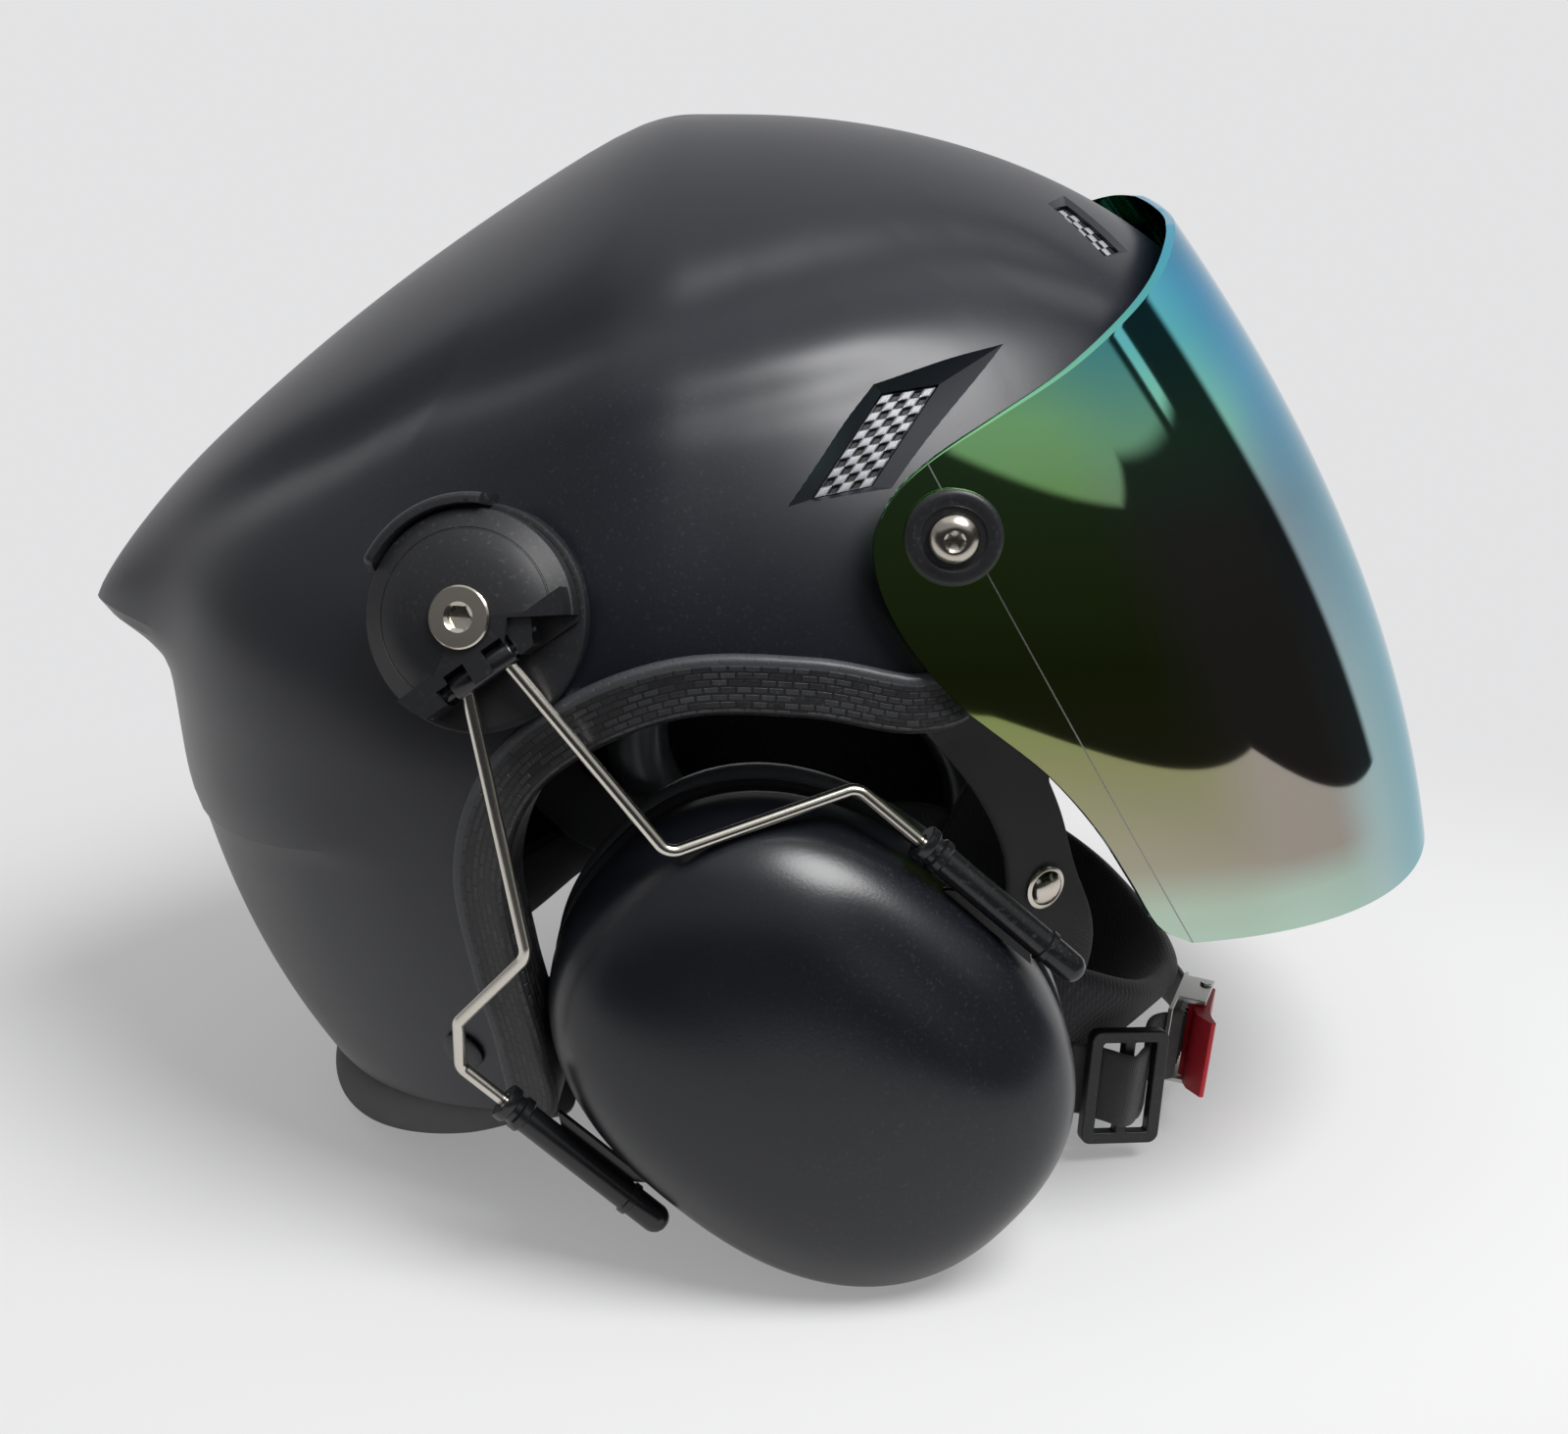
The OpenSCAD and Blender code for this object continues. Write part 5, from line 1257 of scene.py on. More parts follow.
    def roll(self) -> None:
        """Padded roll under the nape, drawn in by its seam."""
        low, high, n, sides = self.skin.ear_foot + 0.012, 2 - self.skin.ear_foot - 0.012, 120, 28
        s = np.linspace(low, high, n)
        centre = self.roll_centre(s)
        tangent = unit(self.roll_centre(s + 0.01) - self.roll_centre(s - 0.01))
        side = unit(np.cross(tangent, [0, 0, 1]))
        up = np.cross(side, tangent)
        k = np.arange(n)
        r = self.roll_r * (0.72 + 0.28 * ease(6 * np.minimum(k, n - 1 - k) / n))
        turn = np.linspace(0, 2 * math.pi, sides, endpoint=False)
        seam = 1 - 0.16 * bump((turn + math.pi * 0.5) % (2 * math.pi) - math.pi, 0.16)
        pucker = 0.012 * np.sin(k * 1.9)
        rings = []
        for i in range(n):
            rr = r[i] * seam * (1 + pucker[i] * bump(turn - math.pi * 0.5, 0.7))
            rings.append(centre[i] + side[i] * (rr * np.cos(turn))[:, None]
                         + up[i] * (rr * np.sin(turn))[:, None])
        form = Form.mapped(rings, run_of(centre), turn * self.roll_r)
        self.bench.make("neck_roll", form, ("helmet", "roll_cloth", "roll_cloth", "nape_roll"), 70,
                        work=Puff(3.0, 0.3), pad=0.8)

    def rivets(self) -> None:
        """Domed caps over the strap rivets."""
        place, n = self.skin.on(self.skin.aim(*np.array(self.rivet_at))), self.skin.normal(*self.rivet_at)
        form = Form.lathe([(0, 0.35), (4.8, 0.35), (5, 0.5), (5, 0.9), (4.7, 1.25), (4, 1.5), (2.4, 1.75),
                           (0, 1.8)], 48)
        self.bench.make("rivet_cap_*", form.moved(frame_of(place, n)),
                        ("helmet", "black_plastic", "moulded_black", "shell_rivets"))

    def build(self) -> None:
        """Makes every piece of the shell's group."""
        self.shell()
        self.inserts()
        self.trim()
        self.liner()
        self.roll()
        self.rivets()


@dataclass
class VisorWorks:
    """Mirrored drop visor with its washers, screws and spacers."""

    bench: Bench
    skin: Skin
    sheet_t: float = 2.0
    half_w: float = 118.0
    low_half_w: float = 100.0
    low_z: float = 75.5
    top_z: float = 220.0
    reach: float = 182.3
    bulge_z: float = 27.7
    bulge_r: float = 257.0
    fill: float = 2.3
    pivot_z: float = 169.7
    pivot_angle: float = -84.3
    slope: float = 0.5
    washer_r: float = 10.0
    head_r: float = 5.2
    shank_r: float = 2.5
    clearance: float = 0.25
    # Place along x of the visor's middle at the pivots' height
    middle: float = 20.0
    edge_round: float = 0.45
    # Outline of the right half: height share from the lower to the upper edge, and rear angle
    outline: tuple = (
        (0, 79), (0.03, 82.3), (0.11, 83.2), (0.2, 84.2), (0.29, 86.4), (0.38, 90), (0.48, 92.1),
        (0.57, 92.3),
        (0.65, 90.6), (0.71, 87.6), (0.76, 82), (0.81, 73), (0.86, 61.5), (0.91, 49), (0.955, 35),
        (0.985, 23), (1, 12),
    )

    def point(self, angle: Array, z: Array | float, off: float) -> Array:
        """Points of the visor at angles round it, 0 in front and minus on the right, off its outer face."""
        a = np.radians(angle)
        z = np.broadcast_to(np.asarray(z, float), a.shape)
        mid = self.middle + self.slope * (self.pivot_z - z)
        front = self.skin.centre[0] + self.reach - (z - self.bulge_z) ** 2 / (2 * self.bulge_r)
        low = np.maximum(0.0, (self.pivot_z - z) / (self.pivot_z - self.bulge_z - 35))
        high = np.maximum(0.0, (z - self.pivot_z) / 50)
        half = self.half_w - (self.half_w - self.low_half_w) * low**2 - 10 * high**1.5
        x = mid + (front - mid + off) * power(np.cos(a), 2 / self.fill)
        return np.stack([x, (half + off) * power(np.sin(a), 2 / self.fill), z], -1)

    @property
    def pivot(self) -> Array:
        """Place of the right pivot, on the outer face."""
        return self.point(np.array(self.pivot_angle), self.pivot_z, 0.0)

    @property
    def pivot_frame(self) -> Array:
        """Frame on the pivot line, with z outwards from the middle plane on the right."""
        return frame_of(np.array([self.pivot[0], 0.0, self.pivot[2]]), np.array([0.0, -1.0, 0.0]))

    def sheet(self) -> None:
        """The bulged sheet, with rounded edges and a hole at each pivot."""
        rows, columns = 72, 132
        outer, inner = [], []
        for i in range(rows + 1):
            share, angle = along(self.outline, i / rows)
            turn = np.linspace(-angle, angle, columns + 1)
            z = lerp(self.low_z, self.top_z, share)
            outer.append(self.point(turn, z, 0.0))
            inner.append(self.point(turn, z, -self.sheet_t))
        piece = self.bench.mesh("mirror_visor", self.plate(np.array(outer), np.array(inner)))
        hole = Form.rod(self.shank_r + self.clearance, 100, 130).moved(self.pivot_frame)
        for side in Side:
            self.bench.cut(piece, [hole], side, 50)
        self.bench.dress(piece, "visor", "mirror_visor", "visor_mirror", "visor")

    def plate(self, outer: Array, inner: Array) -> Form:
        """Solid sheet between two grids of points, with its border rounded."""
        m, n = outer.shape[:2]
        border = border_of(m, n)
        under, edge, count = m * n, 2 * m * n, len(border)
        front = grid_faces(m, n)
        faces = front + [tuple(k + under for k in reversed(face)) for face in front]
        middle = []
        for i, j in (divmod(k, n) for k in border):
            back = (min(max(i, 1), m - 2), min(max(j, 1), n - 2))
            middle.append((outer[i, j] + inner[i, j]) / 2
                          + unit(outer[i, j] - outer[back]) * self.edge_round)
        for k, a in enumerate(border):
            b, p, q = border[(k + 1) % count], edge + k, edge + (k + 1) % count
            faces += [(b, a, p, q), (q, p, under + a, under + b)]
        return Form(np.concatenate([outer.reshape(-1, 3), inner.reshape(-1, 3), middle]), faces)

    def hardware(self) -> None:
        """Washers, screws and spacers of both pivots."""
        top, m, w = -self.pivot[1], self.pivot_frame, self.washer_r
        low, s = top + 0.5, self.shank_r + self.clearance
        washer = [(s, low), (w - 0.6, low), (w - 0.15, low + 0.15), (w, low + 0.5), (w, low + 1.0),
                  (w - 0.3, low + 1.5),
                  (w - 1.0, low + 1.8), (w - 3.0, low + 1.8), (w - 3.3, low + 1.65), (w - 3.6, low + 1.3),
                  (s, low + 1.3)]
        head, r = low + 1.4, self.head_r
        screw = Form.key_screw(
            [(0, head - 9), (self.shank_r, head - 9), (self.shank_r, head), (r - 0.1, head),
             (r, head + 0.15),
             (r, head + 0.7), (r - 0.25, head + 1.2), (r - 0.75, head + 1.8), (r - 1.4, head + 2.3),
             (r - 2.1, head + 2.65), (r - 2.7, head + 2.75), (2.25, head + 2.75)], 2.0, 1.6)
        start = frame_of([self.pivot[0], -self.skin.half_w * 0.9, self.pivot[2]], [0.0, -1.0, 0.0])
        inside = -self.skin.dropped(start, np.zeros((1, 2)), 0.35)[0, 1]
        out = top - self.sheet_t - 1.9
        spacer = [(s, inside), (w - 1.2, inside), (w - 1.2, out), (s, out)]
        self.bench.make("visor_washer_*", Form.tube_ring(washer).moved(m),
                        ("visor", "black_plastic", "moulded_black", "visor_washers"))
        self.bench.make("visor_screw_*", screw.moved(m),
                        ("helmet", "bright_steel", "polished_nickel", "visor_screws"),
                        30)
        self.bench.make("visor_spacer_*", Form.tube_ring(spacer).moved(m),
                        ("helmet", "black_plastic", "edge_rubber", "visor_spacers"))

    def build(self) -> None:
        """Makes the visor's group."""
        self.sheet()
        self.hardware()


@dataclass
class CupMount:
    """Base, turning cap, screw and hinge bar that carry an ear cup's arm."""

    bench: Bench
    skin: Skin
    frame: Array
    base_r: float = 23.8
    base_t: float = 3.0
    cap_h: float = 8.5
    seat: float = 0.3
    gap: float = 0.35
    flange_r: float = 6.5
    shank_r: float = 3.0
    lip_w: float = 1.8
    lip_turn: tuple = (84.0, 162.0)
    flat_r: float = 12.9
    mark_r: float = 18.2
    chord: float = 13.0
    band_in: float = 6.5
    roof: float = 0.5
    notch: float = 2.5
    splay: float = 2.9
    hinge_turn: float = 37.4
    hinge_off: float = 11.0
    hinge_slip: float = -2.6
    hinge_r: float = 2.6
    hinge_len: float = 15.0
    pin_r: float = 1.5
    pin_len: float = 4.0
    leg_apart: float = 9.6

    def __post_init__(self) -> None:
        """Works out the heights of the base's face and of the cap's underside and face."""
        self.base_top = self.seat + self.base_t
        self.cap_low = self.base_top + self.gap
        self.cap_top = self.cap_low + self.cap_h
        self.cap_r = self.base_r - 1.0

    @property
    def hinge(self) -> Array:
        """Frame of the hinge in the mount's own frame, with z along the bar."""
        place = [self.hinge_off, self.hinge_slip, self.cap_top - self.hinge_r - 0.6]
        return frame_of(point_in(self.outward, place), self.outward[:3, 1])

    def leg(self, end: int) -> Array:
        """Place where one leg of the wire leaves the hinge bar, in the maker's frame."""
        return point_in(self.frame, point_in(self.hinge, [0, 0, self.leg_apart / 2 * end]))

    def base(self) -> None:
        """Base plate on a skirt that follows the shell, with its raised lip."""
        flat, r, top = circle(120), self.base_r, self.base_top
        skirt = self.skin.dropped(self.frame, flat * (r - 0.4), -0.4)
        rings = [level(flat * q, h) for q, h in ((r - 0.4, 0.0), (r - 0.4, self.seat - 0.25),
                                                 (r - 0.15, self.seat),
                                                 (r, self.seat + 0.3), (r, top - 0.6), (r - 0.2, top - 0.15),
                                                 (r - 0.6, top), (self.cap_r - 0.6, top))]
        rings[0][:, 2] = np.minimum(0.0, (skirt - self.frame[:3, 3]) @ self.frame[:3, 2])
        form = Form.loft(rings)
        form.points[-1] = [0, 0, top]
        form.points[-2] = [0, 0, -1]
        self.bench.make("mount_base_*", (form + self.lip_form()).moved(self.frame),
                        ("helmet", "black_plastic", "moulded_black", "mount_base_*"), 45)

    def lip_form(self) -> Form:
        """Raised lip that guards the cap over a quarter of its rim, with bevelled ends."""
        low, high, mid = self.seat + 0.4, self.cap_low + self.cap_h * 0.62, self.cap_low + self.cap_h * 0.5
        inner, outer = self.base_r - 0.6, self.base_r + self.lip_w
        (first, last), rings = self.lip_turn, []
        for a in np.linspace(first, last, 60):
            t = math.radians(a)
            end = float(ease(min((a - first) / 3, (last - a) / 9) + 0.15))
            section = [(inner, low), (outer - 0.2, low), (outer, low + 0.3),
                       (outer, lerp(low + 1, mid, end)),
                       (outer - 0.25, lerp(low + 1.2, mid + 0.5, end)),
                       (outer - 0.8, lerp(low + 1.4, high - 0.1, end)),
                       (outer - 1.1, lerp(low + 1.5, high, end)), (inner + 0.2, lerp(low + 1.5, high, end)),
                       (inner, lerp(low + 1.4, high - 0.2, end))]
            rings.append(np.array([[r * math.cos(t), r * math.sin(t), h] for r, h in section]))
        return Form.loft(rings)

    @property
    def outward(self) -> Array:
        """Frame with x square to the cap's chord and y along the hinge bar."""
        s, c = math.sin(math.radians(self.hinge_turn)), math.cos(math.radians(self.hinge_turn))
        return turned((s, -c, 0), (c, s, 0), (0, 0, 1))

    def block(self, x: tuple[float, float], y: tuple[float, float], low: float,
              high: float | None = None) -> Form:
        """Block in the chord's frame for a cut, open upwards unless its height is given."""
        top = self.cap_top + 2 if high is None else high
        return box((x[0], y[0], low), (x[1], y[1], top)).moved(self.outward)

    def cap_band(self) -> Form:
        """Flat band of the cap along its chord."""
        r = self.cap_r - self.gap - 0.63
        x = np.linspace(self.band_in + 0.013, self.chord + 1.37, 14)
        y = np.sqrt(r**2 - x**2)
        outline = np.concatenate([np.column_stack([x, -y]), np.column_stack([x, y])[::-1]])
        return Form.prism(outline, self.cap_low + 0.53, self.cap_top + 0.04).moved(self.outward)

    def cap(self) -> None:
        """Turning cap: a cone round a flat, a band along its chord, and a roofed slot for the hinge bar."""
        r, low, top = self.cap_r - self.gap, self.cap_low, self.cap_top
        wall = low + self.cap_h * 0.4
        slope = (top - wall) / (r - 0.25 - self.flat_r)
        at = lambda q, sink=0.0: (q, top - (q - self.flat_r) * slope - sink)
        profile = [(0, low), (r - 0.3, low), (r, low + 0.3), (r, wall - 0.5), (r - 0.25, wall),
                   at(self.mark_r + 0.22),
                   at(self.mark_r + 0.1, 0.16), at(self.mark_r - 0.1, 0.16), at(self.mark_r - 0.22),
                   (self.flat_r, top),
                   (0, top)]
        half, mid, out = self.hinge_len / 2 + 1, self.hinge_slip, 2 * r
        rear, front = mid - self.leg_apart / 2, mid + self.leg_apart / 2
        cavity = self.block((self.hinge_off - self.hinge_r - self.gap, out), (mid - half, mid + half),
                            low - 1,
                            top - self.roof)
        notches = [self.block((self.hinge_off - 3, out), (y - self.notch, y + self.notch), low - 1)
                   for y in (rear, front)]
        # The raised wire leans backwards, so its rear leg needs a wider notch near the roof
        notches.append(self.block((self.hinge_off - 1.3, out), (rear - self.notch - self.splay, rear + 0.3),
                                  low + 2.1))
        steps = [Form.prism([(9.8, 0.6), (9.2, -12), (16.1, -12.1), (14.5, 1.1)], top - 1.5, top + 2.4),
                 Form.prism([(14.4, 1.1), (16, -12), (30, -12), (30, 2.9)], low + 0.9, top + 2.2)]
        bores = [Form.rod(self.pin_r + 0.1, -half - 6, half + 6).moved(self.hinge),
                 Form.rod(self.shank_r + 0.1, low - 2.7, top + 2.7)]
        tools = [self.block((self.chord, out), (-out, out), low - 1), cavity, *notches, *steps, *bores]

        def finish(piece: Piece, side: Side) -> None:
            """Adds the band, takes out the tools and rounds the edges."""
            self.bench.join(piece, self.cap_band().moved(self.frame), side)
            self.bench.cut(piece, [t.moved(self.frame) for t in tools], side, 40)
            soften(piece, 0.22, 2, 32)

        self.bench.make("mount_cap_*", Form.lathe(profile, 122).moved(self.frame),
                        ("mount_*", "black_plastic", "moulded_black", "mount_cap_*"), work=finish)

    def screw(self) -> None:
        """Flat flanged screw with a hexagon recess."""
        low, r, s = self.cap_top + 0.1, self.flange_r, self.shank_r - 0.05
        body = Form.key_screw(
            [(0, 0.6 - 3.0), (s, 0.6 - 3.0), (s, low), (r - 0.2, low), (r, low + 0.2), (r, low + 0.95),
             (r - 0.35, low + 1.3), (3.15, low + 1.3), (3.0, low + 1.2)], 2.65, 2.4)
        self.bench.make("mount_screw_*", body.moved(self.frame),
                        ("helmet", "bright_steel", "polished_nickel", "mount_screw_*"), 30)

    def hinge_bar(self) -> None:
        """Bar that the wire goes through, with its two pins."""
        h, p, n, r = self.hinge_len / 2, self.pin_len, self.hinge_r, self.pin_r
        half = [(0, h + p), (r - 0.3, h + p), (r, h + p - 0.3), (r, h), (n - 0.3, h), (n, h - 0.3)]
        bar = Form.lathe([(q, -z) for q, z in half] + half[::-1], 48)
        self.bench.make("hinge_bar_*", bar.moved(self.hinge, self.frame),
                        ("arm_*", "black_plastic", "gloss_black", "hinge_bar_*"), 45)

    def build(self) -> None:
        """Makes both mounts."""
        self.base()
        self.cap()
        self.screw()
        self.hinge_bar()


@dataclass
class WireMaker:
    """Geometry Nodes tree that bends a round wire along a route of straight edges."""

    radius: float
    sides: int = 20
    bend_steps: int = 12

    def tree(self, material: Material) -> Tree:
        """Tree for a wire with a finish, whose route carries its bends' radii."""
        tree = bpy.data.node_groups.new("bent_wire", "GeometryNodeTree")
        for label, way in (("Route", "INPUT"), ("Wire", "OUTPUT")):
            tree.interface.new_socket(name=label, in_out=way, socket_type="NodeSocketGeometry")
        n, start, end = Nodes(tree), tree.nodes.new("NodeGroupInput"), tree.nodes.new("NodeGroupOutput")
        bend = n.add("InputNamedAttribute", {"data_type": "FLOAT"}, Name="bend").outputs[0]
        line = n.add("MeshToCurve", None, Mesh=start.outputs[0]).outputs[0]
        line = n.add("FilletCurve", {"mode": "POLY"}, Curve=line, Radius=bend,
                     Count=self.bend_steps).outputs[0]
        ring = n.add("CurvePrimitiveCircle", None, Resolution=self.sides, Radius=self.radius * MM).outputs[0]
        tube = n.add("CurveToMesh", None, Curve=line, Profile_Curve=ring, Fill_Caps=True).outputs[0]
        real = n.add("RealizeInstances", None, Geometry=tube).outputs[0]
        tree.links.new(n.add("SetMaterial", None, Geometry=real, Material=material).outputs[0],
                       end.inputs[0])
        return tree


@dataclass
class EarCup:
    """Ear cup with its cushion, sleeves and sprung wire arm, in a frame with x along the slide and z out."""

    bench: Bench
    mount: CupMount
    half_l: float = 60.0
    half_w: float = 47.5
    depth: float = 42.0
    wall: float = 2.5
    cushion_t: float = 16.0
    cushion_ring: float = 17.0
    half_apart: float = 72.0
    tilt: float = 41.5
    ahead: float = 26.4
    skin_x: float = -20.0
    step: float = 0.55
    squareness: float = 2.35
    wall_h: float = 11.0
    dome: float = 2.7
    gap: float = 0.35
    plate_t: float = 2.0
    wire_d: float = 2.8
    wire_insert: float = 24.0
    sleeve_len: float = 46.0
    sleeve_r: float = 3.3
    sleeve_rise: float = 21.0
    front_mouth: float = -16.3
    rear_mouth: float = -43.7
    front_lead: float = 18.0
    rear_lead: float = 12.0
    front_knee: tuple = (-23.9, -121.5, 103.3)
    rear_heel: tuple = (-69.3, -116.0, 63.0)
    rear_knee: tuple = (-53.6, -122.5, 81.0)
    bends: tuple = (0, 3, 3, 4, 2.2, 2.2, 4, 4, 0)
    foam_low: float = 16.8
    foam_t: float = 10.0
    cushion_section: tuple = (
        (-0.02, 0.65), (0.0, 0.5), (0.03, 0.35), (0.1, 0.2), (0.2, 0.1), (0.34, 0.03), (0.5, 0.0),
        (0.66, 0.03), (0.8, 0.1),
        (0.9, 0.2), (0.97, 0.32), (1, 0.46), (1, 0.6), (0.985, 0.74), (0.95, 0.86), (0.87, 0.95), (0.72, 1),
        (0.5, 1.0), (0.28, 1),
        (0, 0.98),
    )

    def __post_init__(self) -> None:
        """Works out the heights of plate, rim and sleeves, and how far out the sleeves are."""
        self.plate_low = self.cushion_t + self.gap
        self.cup_low = self.plate_low + self.plate_t + self.gap
        self.sleeve_off = self.half_w + self.sleeve_r + 1.3
        self.sleeve_w = self.cup_low + self.sleeve_rise

    @property
    def frame(self) -> Array:
        """The cup's frame, which stands on the ground by its own reach."""
        c, s = math.cos(math.radians(self.tilt)), math.sin(math.radians(self.tilt))
        ring = self.oval(np.radians(np.arange(0, 360, 2.0)))
        reach = float((ring[:, 0] * s - ring[:, 1] * c).max())
        place = [self.skin_x + self.ahead, -self.half_apart, reach - self.bench.stand[2]]
        return turned((c, 0, -s), (s, 0, c), (0, -1, 0), place)

    def oval(self, a: Array, back: float = 0.0, scale: float = 1.0) -> Array:
        """Rounded oval of the cup at angles a, scaled and then drawn back by a margin."""
        n = 2 / self.squareness
        l, w = self.half_l * scale - back, self.half_w * scale - back
        return np.stack([l * power(np.cos(a), n), w * power(np.sin(a), n)], -1)

    def share(self, w: Array | float) -> Array:
        """Share of the full outline at height w above the cup's rim."""
        w = np.asarray(w, float)
        rise = np.clip((w - self.wall_h) / (self.depth - self.wall_h), 0, 1)
        dome = (1 - rise**self.dome) ** (1 / self.dome)
        return np.where(w < self.wall_h, 0.985 + 0.015 * w / self.wall_h, dome)

    def dent(self, x: Array, y: Array, w: float) -> Array:
        """Depth of the moulded dent of the cup's face by the front guide."""
        lengthwise, across = (x - 6) / 26, (y - 33) / 7
        return 1.6 * np.exp(-(lengthwise**4) - across**2) * ease((w - 18) / 8)

    def shell(self) -> None:
        """Cup shell: a stepped wall, a domed face and a dent by the front guide."""
        a = np.linspace(0, 2 * math.pi, 144, endpoint=False)
        rings = []
        for h in self.depth * (1 - np.linspace(0, 1, 60)[1:-1] ** 2.2):
            ring = self.oval(a, scale=float(self.share(h)))
            ring -= unit(ring) * self.step * float(ease((5.2 - h) / 0.9))
            rings.append(np.column_stack([ring, self.cup_low + h - self.dent(ring[:, 0], ring[:, 1], h)]))
        rings.append(level(ring - unit(ring) * 0.3, self.cup_low))
        for h in np.concatenate([[0], self.depth * np.linspace(0.04, 0.985, 22)]):
            ring = self.oval(a, scale=float(self.share(h)))
            drop = self.wall * min(1.0, h / self.depth * 1.6)
            rings.append(level(ring - unit(ring) * self.wall, self.cup_low + h - drop))
        self.bench.make("cup_shell_*", Form.loft(rings).moved(self.frame),
                        ("cup_*", "cup_plastic", "cup_shell_black", "cup_shell_*"), 45)

    def insides(self) -> None:
        """Foam pad and cushion plate."""
        a = np.linspace(0, 2 * math.pi, 120, endpoint=False)
        k, inset = float(self.share(self.foam_low + self.foam_t + self.wall)), self.wall + 0.5
        low, r = self.cup_low + self.foam_low, 1.6
        high = low + self.foam_t
        foam = [(r, low), (r * 0.3, low + r * 0.3), (0, low + r), (0, high - r), (r * 0.3, high - r * 0.3),
                (r, high)]
        form = Form.loft([level(self.oval(a, inset + back, k), h) for back, h in foam])
        self.bench.make("cup_foam_*", form.moved(self.frame), ("cup_*", "foam", "bead_foam", "cup_foam_*"),
                        50)
        inner, low, high = self.cushion_ring - 2, self.plate_low, self.plate_low + self.plate_t
        plate = [(inner, high), (0.3, high), (0, high - 0.3), (0, low + 0.3), (0.3, low), (inner, low)]
        form = Form.loft([level(self.oval(a, back), h) for back, h in plate], loop=True)
        self.bench.make("cushion_plate_*", form.moved(self.frame),
                        ("cup_*", "black_plastic", "moulded_black", "cushion_plate_*"), 40)

    def cushion(self) -> None:
        """Soft ring of leatherette over foam."""
        section, rings = np.array(self.cushion_section), []
        for a in np.linspace(0, 2 * math.pi, 160, endpoint=False):
            flat = lerp(self.oval(a, self.cushion_ring), self.oval(a), section[:, :1])
            rings.append(np.column_stack([flat, self.cushion_t * section[:, 1]]))
        self.bench.make("ear_cushion_*", Form.loft(rings, loop=True).moved(self.frame),
                        ("cup_*", "cushion_leather", "soft_leatherette", "ear_cushion_*"), 70,
                        work=Puff(2.5, 0.25), pad=0.75)

    def sleeve_form(self, x: float, y: float) -> Form:
        """One guide sleeve with its collar and two ribs."""
        r, l, bore, deep = self.sleeve_r, self.sleeve_len, self.wire_d / 2 + 0.1, self.wire_insert + 0.5
        profile = [(0, deep), (bore, deep), (bore, 0.3), (bore + 0.3, 0), (r + 0.6, 0), (r + 0.9, 0.3),
                   (r + 0.9, 2.0),
                   (r + 0.6, 2.4), (r, 2.6), (r, 3.8), (r + 0.3, 4.0), (r + 0.7, 4.3), (r + 0.7, 5.9),
                   (r + 0.3, 6.3),
                   (r, 6.4), (r, l - 11), (r + 0.5, l - 10.7), (r + 0.5, l - 9.4), (r, l - 9.1),
                   (r, l - 2.6),
                   (r - 0.25, l - 1.6), (r - 0.9, l - 0.6), (r - 1.8, l), (0, l)]
        return Form.lathe(profile, 56).moved(turned((0, 1, 0), (0, 0, 1), (1, 0, 0), (x, y, self.sleeve_w)))

    def sleeves(self) -> None:
        """Both guide sleeves of each cup, on their feet."""
        front, rear = self.front_mouth, self.rear_mouth
        form = self.sleeve_form(front, self.sleeve_off) + self.sleeve_form(rear, -self.sleeve_off)
        form = form + self.foot(front, 1) + self.foot(rear, -1)
        self.bench.make("guide_sleeves_*", form.moved(self.frame),
                        ("cup_*", "black_plastic", "gloss_black", "guide_sleeves_*"), 40)

    def foot(self, x: float, way: int) -> Form:
        """Foot that ties a sleeve to the cup's side, with rounded long edges."""
        inner = self.half_w * float(self.share(self.sleeve_w - self.cup_low)) + 0.1
        low, high, rings = self.sleeve_w - 2.6, self.sleeve_w - 0.8, []
        for y in np.linspace(inner, self.sleeve_off, 8):
            flare = 3.0 * float(ease((inner + 3 - y) / 3))
            a, b = x + 14 - flare, x + 34 + flare
            ring = [(a, low + 0.5), (a + 0.5, low), (b - 0.5, low), (b, low + 0.5), (b, high - 0.5),
                    (b - 0.5, high),
                    (a + 0.5, high), (a, high - 0.5)]
            rings.append(np.array([[p, way * y, q] for p, q in ring]))
        return Form.loft(rings)

    def route(self) -> Array:
        """Corners of the wire's route, from the rear sleeve over the hinge to the front sleeve."""
        f, g, w, y = self.front_mouth, self.rear_mouth, self.sleeve_w, self.sleeve_off
        a, b = point_in(self.frame, [[g + self.wire_insert, -y, w], [g - self.rear_lead, -y, w]])
        c, d = point_in(self.frame, [[f - self.front_lead, y, w], [f + self.wire_insert, y, w]])
        legs = [self.mount.leg(-1), self.mount.leg(1)]
        return np.array([a, b, self.rear_heel, self.rear_knee, *legs, self.front_knee, c, d])

    def arm(self) -> None:
        """Sprung wire of each cup, bent by Geometry Nodes."""
        tree = WireMaker(self.wire_d / 2).tree(self.bench.finishes.take("spring_wire"))
        for side in Side:
            points = self.route() * [1, -side.value, 1]
            data = bpy.data.meshes.new("route")
            steps = [(k, k + 1) for k in range(len(points) - 1)]
            data.from_pydata(((points + self.bench.stand) * MM).tolist(), steps, [])
            data.attributes.new("bend", "FLOAT", "POINT").data.foreach_set("value",
                                                                           [b * MM for b in self.bends])
            piece = link(f"arm_wire_{side.mark}", data)
            piece.modifiers.new("wire", "NODES").node_group = tree
            settle(piece)
            rework(piece, 40, merge(1e-7), face_out)
            self.bench.dress(piece, f"arm_{side.mark}", "spring_wire", "spring_wire",
                             f"arm_wire_{side.mark}")

    def build(self) -> None:
        """Makes both ear cups and their arms."""
        self.shell()
        self.insides()
        self.cushion()
        self.sleeves()
        self.arm()


